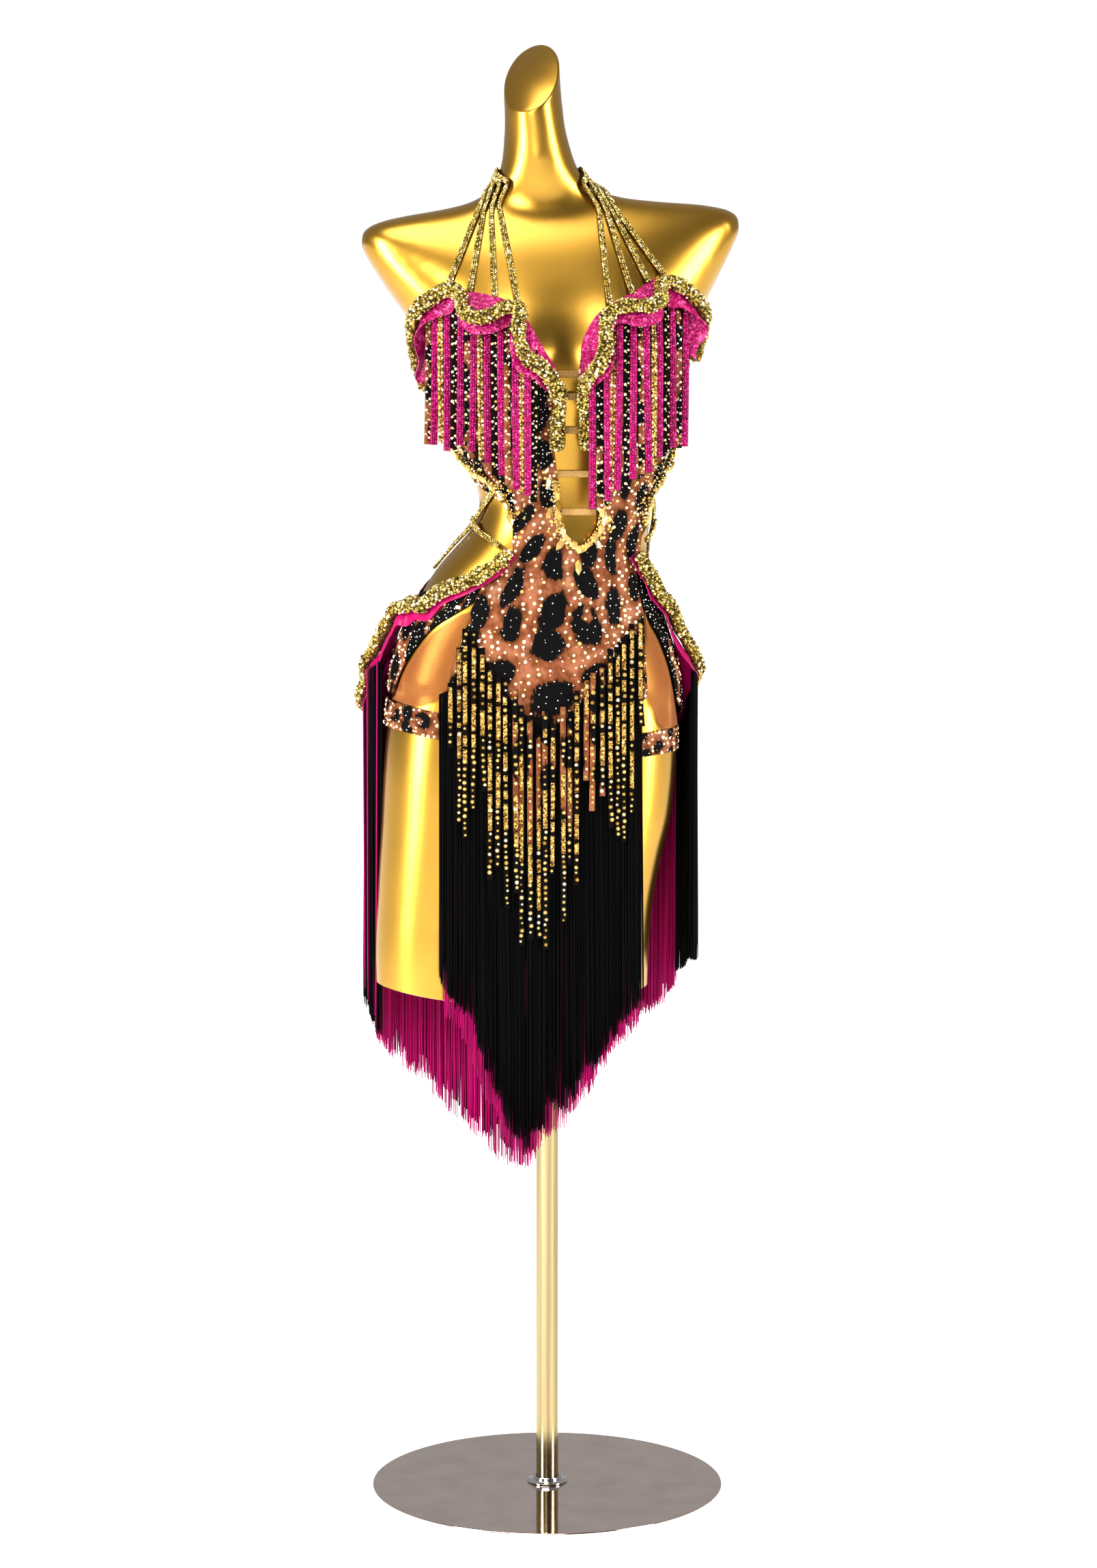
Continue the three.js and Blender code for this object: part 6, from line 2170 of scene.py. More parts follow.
@dataclass
class Flounces:
    """The cups' and hips' flounces with their ropes."""

    hips: dict[Side, Flounce] = field(default_factory=dict)
    first: dict[Side, int] = field(default_factory=dict)

    def sew(
        self, flounce: Flounce, kind: str, finish: Finish, on: str, seed: int, path: Array, lifts: Array
    ) -> None:
        """Makes one flounce's satin and its rope.

        Args:
            flounce: The flounce's lines.
            kind: Where it is, bust or hip.
            finish: The satin.
            on: The piece that it hangs on.
            seed: Starts the sources of chance.
            path: Stops of the rope.
            lifts: Outward directions at the stops.
        """
        side, per_stop = flounce.side, flounce.per_stop
        name = f"{kind}_flounce_{side.label}"
        cloth = flounce.cloth(np.random.default_rng(seed + side.value))
        obj = place(cloth.object(f"{name}_satin"), "satin", finish, [name])
        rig.sheet(obj, held="gathered", rests_on=[on], **cloth.cut())
        path, lifts = follow(path, per_stop), follow(lifts, per_stop)
        BeadedRope(f"{kind}_rope_{side.label}", path, lifts, seed + 10 + side.value).build()

    def bust(self, side: Side) -> None:
        """One cup's flounce and rope.

        Args:
            side: Which side.
        """
        rows = BUST_FLOUNCE[side]
        root = BODY.seen(rows["root_x"], rows["root_z"], OVER_CLOTH)
        rope = BODY.seen(rows["rope_x"], rows["rope_z"], rows["out"])
        flounce = Flounce(side, *root, *rope, rows["out"], rows["drop"])
        tail = ROPE_TAIL[side]
        start = BODY.on_front(tail["x"], tail["z"], tail["out"])
        path = np.concatenate([start, flounce.rope])
        lifts = np.concatenate([np.tile([0.0, -1.0, 0.0], (2, 1)), flounce.lift])
        self.sew(flounce, "bust", GLITTER_SATIN, f"bodice_{side.label}_cloth", 71, path, lifts)

    def hip(self, side: Side) -> None:
        """One hip's flounce and rope.

        Args:
            side: Which side.
        """
        front, round_ = HIP_FRONT[side], HIP_SIDE[side]
        root = BODY.seen(front["root_x"], front["root_z"], OVER_CLOTH)
        rope = BODY.seen(front["rope_x"], front["rope_z"], front["out"])
        ahead = (*root, *rope, front["out"], front["drop"])
        behind = (round_[name] for name in ("angle", "root_z", "angle", "rope_z", "out", "drop"))
        flounce = Flounce(side, *(np.concatenate(pair) for pair in zip(ahead, behind)), gap=0.9)
        self.hips[side] = flounce
        self.first[side] = len(front["out"])
        self.sew(flounce, "hip", SATIN, "seat_cloth", 75, flounce.rope, flounce.lift)

    def edge(self, side: Side, start: float, stop: float, per_stop: int = 24) -> Array:
        """Points on a hip flounce's free edge between two places counted in stops."""
        flounce, first = self.hips[side], self.first[side]
        line = follow(flounce.edge, per_stop)
        return line[round(per_stop * (first + start)) : round(per_stop * (first + stop)) + 1]

    def build(self) -> None:
        """Makes all four."""
        for side in Side:
            self.bust(side)
            self.hip(side)


# ---------------------------------------------------------------- straps and trims


@dataclass
class Straps:
    """Rhinestone straps, elastic straps and gem trims."""

    gap: float = 1.8
    thickness: float = 2.0
    neck_width: float = 6.8
    side_width: float = 6.0
    band_z: float = 1468.0
    band_width: float = 13.0

    def strap(
        self, name: str, angle: Array, z: Array, out: Array | float, width: float, seed: int
    ) -> None:
        """A flat cord set with rows of stones.

        Args:
            name: The node that it stands for.
            angle: Stops round the body.
            z: Stops' heights.
            out: Distance of its middle from the body.
            width: Its width.
            seed: Starts the source of chance.
        """
        points, normals = BODY.skin(z, angle, out), BODY.normal(z, angle)
        path, lifts = spread(points, 60), unit(spread(normals, 60))
        obj = sweep(f"{name}_cord", path, lifts, soft_bar(width, self.thickness))
        place(obj, "beads", BEAD_CORE, [name])
        across, outward = frames(path, lifts)
        studding = Studding(seed)
        total = lengths(path)[-1]
        lines = max(2, round(width / 2.1))
        for k in range(lines):
            at = np.arange(1.0 + (k % 2) * 1.0, total, 2.25)
            at = np.clip(at + studding.rng.uniform(-0.3, 0.3, len(at)), 0, total)
            side = (k - (lines - 1) / 2) * width / lines
            aside, out_ = unit(along_line(path, at, across)), unit(along_line(path, at, outward))
            centres = along_line(path, at) + aside * side + out_ * (self.thickness / 2 + 0.05)
            studding.add(Cut.BEAD, centres, out_, 1.0, 1.5)
        studding.object(f"{name}_beads", finish=STRAP_BEAD)

    def neck(self, side: Side) -> None:
        """Four straps from one cup to the side of the neck.

        Args:
            side: Which side.
        """
        out = self.gap + self.thickness / 2
        rows = NECK_STRAPS[side]
        end_angle, end_z = NECK_POINT[side]
        for i in range(4):
            turn = end_angle - side.value * i * NECK_FAN
            end = BODY.skin(end_z + i * NECK_RISE, turn, out)
            start = BODY.on_front(rows["x"][i], rows["z"][i], out)
            knot = end + np.array(NECK_KNOT[side])
            share = np.array([-0.12, -0.05, 0, 0.2, 0.4, 0.55, 0.7, 0.8, 0.9, 1])[:, None]
            flat = np.concatenate([start * (1 - share) + knot * share, [(knot + end) / 2, end]])
            angle, z = BODY.seen(flat[:, 0], flat[:, 2], out)
            tuck = np.array([0.25, 0.5, 0.75, 1.0])
            angle = np.concatenate([angle, turn + (side.value * (91 + 2 * i) - turn) * tuck])
            z = np.concatenate([z, z[-1] + (self.band_z - 5 + 3.2 * i - z[-1]) * tuck])
            away = np.full(len(z), out)
            away[:3] += (2.0, 1.0, 0.3)
            name = f"neck_strap_{side.label}_{i + 1}"
            self.strap(name, angle, z, away, self.neck_width, 100 + 10 * side.value + i)

    def band(self) -> None:
        """The band behind the neck."""
        angle = np.linspace(-84, -276, 17)
        self.strap("neck_band", angle, np.full(17, self.band_z), self.gap + 1.6, self.band_width, 131)

    def body(self, side: Side) -> None:
        """The side strap and the waist strap of one side.

        Args:
            side: Which side.
        """
        out = self.gap + self.thickness / 2
        for rows, name, away in (
            (SIDE_STRAP[side], "side_strap", out),
            (WAIST_STRAP[side], "waist_strap", out + self.thickness + 1.3),
        ):
            name = f"{name}_{side.label}"
            self.strap(name, rows["angle"], rows["z"], away, self.side_width, 141 + side.value)

    def cross(self) -> None:
        """Five elastic straps across the plunge."""
        out = self.gap + CLOTH / 2
        for i, z in enumerate(CROSS_STRAPS):
            x = [float(smooth_at(PLUNGE[side], "z", "x", z)) for side in Side]
            a = BODY.on_front(x[0] + 1.2, z, out)
            b = BODY.on_front(x[1] - 1.2, z, out)
            middle = (a + b) / 2
            middle[1] = min(middle[1], BODY.on_front(middle[0], z, SKIN_GAP + 1)[1])
            path = spread(np.stack([a, middle, b]), 24)
            name = f"cross_strap_{i + 1}"
            obj = sweep(f"{name}_elastic", path, np.tile(AHEAD, (25, 1)), soft_bar(7.6, 1.4))
            place(obj, "elastic", ELASTIC, [name])

    def trim(self, name: str, places: Array, radius: float, seed: int, drops: float) -> None:
        """A cord crusted with stones of mixed sizes.

        Args:
            name: The node that it stands for.
            places: Angle and height pairs along it.
            radius: The cord's radius.
            seed: Starts the source of chance.
            drops: Distance between drop-shaped gems.
        """
        out = OVER_CLOTH + radius
        angle, z = places.T
        path = spread(BODY.skin(z, angle, out), 140)
        lifts = unit(spread(BODY.normal(z, angle), 140))
        obj = sweep(f"{name}_cord", path, lifts, ellipse(radius * 0.9, radius * 0.9, 10))
        place(obj, "beads", BEAD_CORE, [name])
        across, outward = frames(path, lifts)
        studding = Studding(seed)
        rng = studding.rng
        total = lengths(path)[-1]
        for turn, pitch, low, high in (
            (90, 5.0, 1.5, 2.7), (40, 4.2, 1.1, 2.2), (140, 4.2, 1.1, 2.2), (-5, 4.4, 0.9, 1.9),
            (185, 4.4, 0.9, 1.9),
        ):
            at = np.arange(1.5, total - 1, pitch)
            at = np.clip(at + rng.uniform(-0.9, 0.9, len(at)), 0, total)
            lean = np.radians(turn + rng.uniform(-14, 14, len(at)))[:, None]
            aside, ahead = unit(along_line(path, at, across)), unit(along_line(path, at, outward))
            direction = aside * np.cos(lean) + ahead * np.sin(lean)
            centres = along_line(path, at) + direction * radius * 0.95
            studding.add(Cut.STONE, centres, direction, low, high)
        at = np.arange(drops * 0.6, total, drops)
        ahead = unit(along_line(path, at, outward))
        aside = unit(along_line(path, at, across)) * rng.choice([-1.0, 1.0], (len(at), 1))
        centres = along_line(path, at) + ahead * radius * 1.05 + aside * 0.8
        along = unit(along_line(path, at, np.gradient(path, axis=0)))
        studding.add(Cut.DROP, centres, ahead, 2.6, 4.0, along=along)
        studding.object(f"{name}_stones", finish=GEM)

    def sprinkle(self, name: str, line: Array, away: float, seed: int) -> None:
        """Scatters gems on the cloth beside a trim.

        Args:
            name: The piece's name.
            line: Angle and height pairs of the trim, from one end to the other.
            away: Degrees of the nearest gems from the trim, with the cloth's side as its sign.
            seed: Starts the source of chance.
        """
        gems = Studding(seed)
        dense = follow(line, 30)
        reach = away * np.abs(gems.rng.normal(1.3, 0.75, len(dense)))
        angle = dense[:, 0] + reach
        z = dense[:, 1] + gems.rng.uniform(-2, 2, len(dense))
        keep = gems.rng.random(len(dense)) < 0.3
        angle, z = angle[keep], z[keep]
        points = BODY.skin(z, angle, SKIN_GAP + CLOTH - 0.1)
        gems.add(Cut.STONE, points, BODY.normal(z, angle), 0.9, 2.4)
        gems.object(f"{name}_gems", finish=GEM)

    def pendants(self) -> None:
        """Large drop-shaped gems round the foot of the plunge."""
        gems = Studding(191)
        x, z, lean = PENDANTS["x"], PENDANTS["z"], np.radians(PENDANTS["lean"])
        points = BODY.on_front(x, z, SKIN_GAP + CLOTH)
        along = np.stack([np.sin(lean), 0 * lean, np.cos(lean)], -1)
        gems.add(Cut.DROP, points, BODY.front_normal(x, z), 3.6, 4.4, along=along)
        gems.object("plunge_pendants", finish=GEM)

    def trims(self) -> None:
        """The trims of the plunge and of the midriff's side edges."""

        def edge(side: Side) -> Array:
            """One side of the plunge, a little onto the cloth."""
            rows = PLUNGE[side]
            keep = (rows["z"] < 1162) & (rows["z"] > 1064)
            return BODY.pattern({"x": rows["x"][keep] + 2 * side.value, "z": rows["z"][keep] - 1})

        foot = BODY.pattern({"x": np.array([34.0]), "z": np.array([1061.0])})
        places = np.concatenate([edge(Side.LEFT), foot, edge(Side.RIGHT)[::-1]])
        self.trim("plunge_trim", places, 3.4, 151, 10.0)
        self.pendants()
        for side in Side:
            self.sprinkle(f"plunge_{side.label}", edge(side), side.value * 3.6, 171 + side.value)
        for side in Side:
            rows = BODICE_EDGE[side]
            start = np.array([[side.value * 90, rows["z"][0] + 2]])
            x, z = rows["x"][1:-1] - 2 * side.value, rows["z"][1:-1] + 1
            line = np.concatenate([start, BODY.pattern({"x": x, "z": z})])
            self.trim(f"side_trim_{side.label}", line, 3.1, 161 + side.value, 14.0)
            self.sprinkle(f"side_{side.label}", line[1:], -side.value * 3.6, 181 + side.value)

    def build(self) -> None:
        """Makes all straps and trims."""
        for side in Side:
            self.neck(side)
            self.body(side)
        self.band()
        self.cross()
        self.trims()
        log.info("straps and trims")


# ---------------------------------------------------------------- fringes


def hang(path: Array, tips: Array, points: int) -> Array:
    """Carries strands from their last point straight down to their tips.

    Args:
        path: Strands by points by 3, the laid upper part.
        tips: The tips' heights.
        points: Points on the hanging part.

    Returns:
        The longer paths.
    """
    share = np.linspace(0, 1, points + 1)[1:]
    last = path[:, -1]
    z = last[:, 2:] + (tips[:, None] - last[:, 2:]) * share
    low = np.repeat(last[:, None], points, 1)
    low[..., 2] = z
    return np.concatenate([path, low], 1)


@dataclass
class Strips:
    """Flat fringe strips set with beads or stones, in a few kinds."""

    name: str
    nodes: list[str]
    slot: str
    print_end: float = 0.0

    def build(self, groups: Sequence[tuple[Finish, Array, Array, Array, float]]) -> None:
        """Makes the strips of each kind in one mesh.

        Args:
            groups: Each kind's finish, paths, sideways and outward directions, and width.
        """
        points, faces, kinds, total = [], {4: [], 10: []}, {4: [], 10: []}, 0
        finishes = []
        for k, (finish, paths, across, outward, width) in enumerate(groups):
            corners, (quads, top, low) = tubes(paths, across, outward, soft_bar(width, 1.3))
            for group in (quads, top, low):
                faces[group.shape[1]].append(group + total)
                kinds[group.shape[1]].append(np.full(len(group), k))
            points.append(corners)
            finishes.append(finish)
            total += len(corners)
        arrays = [np.concatenate(faces[n]) for n in (4, 10)]
        corners = np.concatenate(points)
        obj = build_mesh(self.name, corners, arrays)
        fade = np.clip((self.print_end - corners[:, 2]) * 0.5, 0, 40)
        tint(obj, "spot", SPOTS.depth(corners[:, 0], corners[:, 2]) + fade)
        order = np.concatenate([np.concatenate(kinds[n]) for n in (4, 10)]).astype(np.int32)
        place(obj, self.slot, finishes, self.nodes)
        obj.data.polygons.foreach_set("material_index", order)


def on_strips(
    paths: Array, across: Array, outward: Array, pitch: float, aside: float, depth: float, rng: Chance
) -> tuple[Array, Array]:
    """Places for beads in one row along each strip.

    Args:
        paths: Strands by points by 3.
        across: Sideways directions.
        outward: Outward directions.
        pitch: Distance between beads.
        aside: Distance of the row from the strip's middle.
        depth: Height of the row over the strip's middle.
        rng: The source of chance.

    Returns:
        Points and outward directions.
    """
    centres, normals = [], []
    for path, side, out in zip(paths, across, outward):
        total = lengths(path)[-1]
        at = np.arange(rng.uniform(0.3, 1.0) * pitch, total - 0.6, pitch)
        at = at + rng.uniform(-0.28, 0.28, len(at)) * pitch
        ahead = unit(along_line(path, at, out))
        centres.append(along_line(path, at) + along_line(path, at, side) * aside + ahead * depth)
        normals.append(ahead)
    return np.concatenate(centres), np.concatenate(normals)


@dataclass
class BustFringe:
    """Beaded pink strips in turn with print and gold strips, hung from one cup."""

    side: Side
    spans: dict[Side, tuple[float, float, int]] = field(
        default_factory=lambda: {Side.LEFT: (-129.0, -13.0, 17), Side.RIGHT: (49.0, 150.0, 15)}
    )
    width: float = 8.0
    highest: float = 1322.0
    root_below: float = 10.0
    fullest: float = 1262.0
    clear: float = 9.0
    lift: float = 1.1
    stops: int = 8
    hanging: int = 26

    def lay(self) -> tuple[Array, Array, Array, Array]:
        """Lays the strips from under the flounce over the cup, and lets them hang.

        Returns:
            Their paths, sideways and outward directions, and which of them are pink.
        """
        low, high, count = self.spans[self.side]
        rng = np.random.default_rng(201 + self.side.value)
        x = np.linspace(low, high, count) + rng.uniform(-0.8, 0.8, count)
        rows = BUST_FLOUNCE[self.side]
        roots = {"x": rows["root_x"][2:17], "z": rows["root_z"][2:17]}
        root_z = np.minimum(smooth_at(roots, "x", "z", x) - self.root_below, self.highest)
        tips = smooth_at(BUST_BOTTOMS[self.side], "x", "z", x) + rng.uniform(-5, 5, count)
        full_z = np.minimum(self.fullest, root_z - 12)
        share = np.linspace(0, 1, self.stops)
        z = root_z[:, None] + (full_z - root_z)[:, None] * share
        pink = np.arange(count) % 2 == (0 if self.side is Side.RIGHT else 1)
        layer = np.where(pink, 1.9, 0.0)
        out = OVER_CLOTH + self.lift + (self.clear - OVER_CLOTH - self.lift) * share + layer[:, None]
        xs = np.repeat(x[:, None], self.stops, 1)
        laid = BODY.on_front(xs, z, out)
        paths = hang(laid, tips, self.hanging)
        sway = rng.normal(0, 1.1, (count, 1)) * np.linspace(0, 1, paths.shape[1]) ** 2
        paths[..., 0] += sway
        outward = np.tile(AHEAD, (*paths.shape[:2], 1))
        blend = share[None, :, None]
        angle, height = BODY.seen(xs, z, out)
        upper = outward[:, : self.stops]
        upper[:] = unit(BODY.normal(height, angle) * (1 - blend) + upper * blend)
        upper[..., 2] *= 0.4
        return paths, *frames(paths, unit(outward)), pink

    def build(self) -> None:
        """Makes the strips and their beads."""
        paths, across, outward, pink = self.lay()
        turn = np.arange(len(pink)) // 2 % 3
        gold, dark = ~pink & (turn == 1), ~pink & (turn != 1)
        groups = []
        for finish, pick in (
            (PINK_STRIP, pink), (GOLD_STRIP, gold),
            (PRINT, dark & (turn == 0)), (BLACK_STRIP, dark & (turn == 2)),
        ):
            width = self.width if finish is PINK_STRIP else self.width - 0.8
            groups.append((finish, paths[pick], across[pick], outward[pick], width))
        node = f"bust_fringe_{self.side.label}"
        Strips(f"{node}_strips", [node], "bust_fringe").build(groups)
        beads = Studding(211 + self.side.value)
        for aside, lift in ((-2.4, 0.5), (0.0, 1.0), (2.4, 0.5)):
            spots = on_strips(paths[pink], across[pink], outward[pink], 2.7, aside, lift, beads.rng)
            beads.add(Cut.BEAD, *spots, 1.15, 1.55)
        beads.object(f"{node}_pink_beads", "bust_fringe", PINK_BEAD)
        stones = Studding(221 + self.side.value)
        for pick, pitch, low_r, high_r, asides in (
            (gold, 9.0, 1.2, 2.0, (-1.9, 1.9)), (dark, 12.0, 1.3, 2.0, (-1.8, 1.7)),
            (dark, 13.0, 0.7, 1.2, (-0.4, 2.6)),
        ):
            for aside in asides:
                spots = on_strips(paths[pick], across[pick], outward[pick], pitch, aside, 0.5, stones.rng)
                stones.add(Cut.STONE, *spots, low_r, high_r)
        stones.object(f"{node}_stones", "bust_fringe")
        log.info("bust fringe: %s, %d strips", self.side.label, len(pink))


@dataclass
class GoldFringe:
    """Dark and print strips of many lengths on the front panel, set with gold dashes and stones."""

    low: float = -105.0
    high: float = 102.0
    count: int = 25
    width: float = 6.2
    layer: float = 6.9
    print_from: float = -42.0
    print_to: float = 62.0
    print_end: float = 800.0
    belly: float = 893.0
    shortest: float = 70.0
    stops: int = 8
    hanging: int = 30

    def lay(self, rng: Chance) -> tuple[Array, Array, Array]:
        """Paths, sideways and outward directions of the strips.

        Args:
            rng: The source of chance.

        Returns:
            One row for each point of each strip.
        """
        x = np.linspace(self.low, self.high, self.count) + rng.uniform(-1.6, 1.6, self.count)
        root_z = smooth_at(GOLD_ROOTS, "x", "z", x) + rng.uniform(-9, 16, self.count)
        tips = line_at(GOLD_BOTTOMS, "x", "z", x)
        tips = tips + np.where(rng.random(self.count) < 0.4, rng.uniform(15, 85, self.count), 0)
        tips = np.minimum(tips, root_z - self.shortest)
        belly_z = np.minimum(root_z - 14, self.belly)
        share = np.linspace(0, 1, self.stops)
        z = root_z[:, None] + (belly_z - root_z)[:, None] * share
        layer = np.where(np.arange(self.count) % 2, 0.0, 1.5)[:, None]
        start = apron_gap(z) + CLOTH + 1.2
        out = start + (apron_gap(0.0) + self.layer - start) * share + layer
        laid = BODY.on_front(np.repeat(x[:, None], self.stops, 1), z, out)
        laid[:, :, 0] = x[:, None]
        paths = hang(laid, tips, self.hanging)
        sway = rng.normal(0, 1.2, (self.count, 1)) * np.linspace(0, 1, paths.shape[1]) ** 2
        paths[..., 0] += sway
        return paths, *frames(paths, np.tile(AHEAD, (*paths.shape[:2], 1)))

    def dashes(
        self, rng: Chance, path: Array, across: Array, outward: Array, bare: float
    ) -> tuple[list[Array], list[Array], list[Array], list[float]]:
        """Walks down one strip and parts it into glittering dashes and single stones.

        Args:
            rng: The source of chance.
            path: The strip's middle line.
            across: Sideways directions.
            outward: Outward directions.
            bare: Length of the strip's top that shows its print between stones.

        Returns:
            The dashes' paths, sideways and outward directions, and the places of the stones.
        """
        total = lengths(path)[-1]
        calm = total * rng.uniform(0.45, 0.85)
        at, paths, sides, outs, stones = rng.uniform(0, 8), [], [], [], []
        while at < total - 4:
            if at < bare and rng.random() < 0.8:
                stones.append(at + 2)
                at += rng.uniform(6.0, 14.0)
            elif at < calm and rng.random() < 0.6:
                end = min(at + rng.uniform(6, 44), total - 1)
                stop = np.linspace(at + 1, end, 6)
                ahead = unit(along_line(path, stop, outward))
                side = unit(along_line(path, stop, across))
                paths.append(along_line(path, stop) + ahead * 0.75)
                sides.append(side)
                outs.append(ahead)
                stones.extend(np.arange(at + rng.uniform(2, 9), end - 1, rng.uniform(9, 15)))
                at = end + rng.uniform(1.0, 4.5)
            else:
                stones.append(at + 2)
                at += rng.uniform(5.4, 8.5)
        return paths, sides, outs, stones

    def build(self) -> None:
        """Makes the strips, dashes and stones."""
        rng = np.random.default_rng(231)
        paths, across, outward = self.lay(rng)
        x = paths[:, 0, 0]
        mixed = (x > self.print_from) & (x < self.print_to) & (rng.random(self.count) < 0.75)
        groups = []
        for finish, pick in ((PRINT, mixed), (BLACK_STRIP, ~mixed)):
            groups.append((finish, paths[pick], across[pick], outward[pick], self.width))
        Strips("gold_fringe_strips", ["gold_fringe"], "gold_fringe", self.print_end).build(groups)
        lines, sides, outs = [], [], []
        stones = Studding(241)
        bare = np.where(mixed, rng.uniform(30, 120, self.count), 0)
        for path, side, out, top in zip(paths, across, outward, bare):
            dash = self.dashes(rng, path, side, out, top)
            lines, sides, outs = lines + dash[0], sides + dash[1], outs + dash[2]
            at = np.array(dash[3])
            ahead = unit(along_line(path, at, out))
            centres = along_line(path, at) + ahead * 1.15
            centres = centres + along_line(path, at, side) * rng.uniform(-0.9, 0.9, (len(at), 1))
            stones.add(Cut.STONE, centres, ahead, 1.5, 2.6)
        outline = soft_bar(5.0, 1.4)
        corners, faces = tubes(np.array(lines), np.array(sides), np.array(outs), outline)
        place(build_mesh("gold_fringe_dashes", corners, faces), "gold_fringe", GOLD_STRIP)
        stones.object("gold_fringe_stones", "gold_fringe", GEM)
        log.info("gold fringe: %d strips, %d dashes", self.count, len(lines))


@dataclass
class YarnFringe:
    """A curtain of fine strands."""

    name: str
    nodes: list[str]
    slot: str
    finish: Finish
    seed: int
    radius: float = 0.85

    def build(self, laid: Array, tips: Array, outward: Array, points: int = 8, sway: float = 2.0) -> None:
        """Makes the strands.

        Args:
            laid: The upper part of each strand.
            tips: The tips' heights.
            outward: One outward direction for each strand.
            points: Points on the hanging part.
            sway: How far the tips stray.
        """
        rng = np.random.default_rng(self.seed)
        count = len(laid)
        paths = hang(laid, tips, points)
        drop = np.clip((laid[:, -1:, 2] - paths[..., 2]) / 400, 0, 1.2)
        aside = np.cross(outward, [0.0, 0.0, 1.0])
        lean = (wander(rng, count, 9, sway) + rng.normal(0, sway * 0.45, count))[:, None] * drop
        swell = (wander(rng, count, 6, sway * 0.7) + rng.normal(0, sway * 0.35, count))[:, None] * drop
        paths = paths + aside[:, None] * lean[..., None] + outward[:, None] * swell[..., None]
        size = np.ones(paths.shape[1])
        size[-1] = 0.6
        outline = ellipse(self.radius, self.radius, 3)[None, None] * size[None, :, None, None]
        spin = rng.uniform(0, 2 * np.pi, count)[:, None, None]
        a = np.repeat(aside[:, None], paths.shape[1], 1)
        b = np.repeat(outward[:, None], paths.shape[1], 1)
        first, second = a * np.cos(spin) + b * np.sin(spin), b * np.cos(spin) - a * np.sin(spin)
        corners, faces = tubes(paths, first, second, np.broadcast_to(outline, (*paths.shape[:2], 3, 2)))
        place(build_mesh(self.name, corners, faces), self.slot, self.finish, self.nodes)
        log.info("fringe: %s, %d strands", self.name, count)


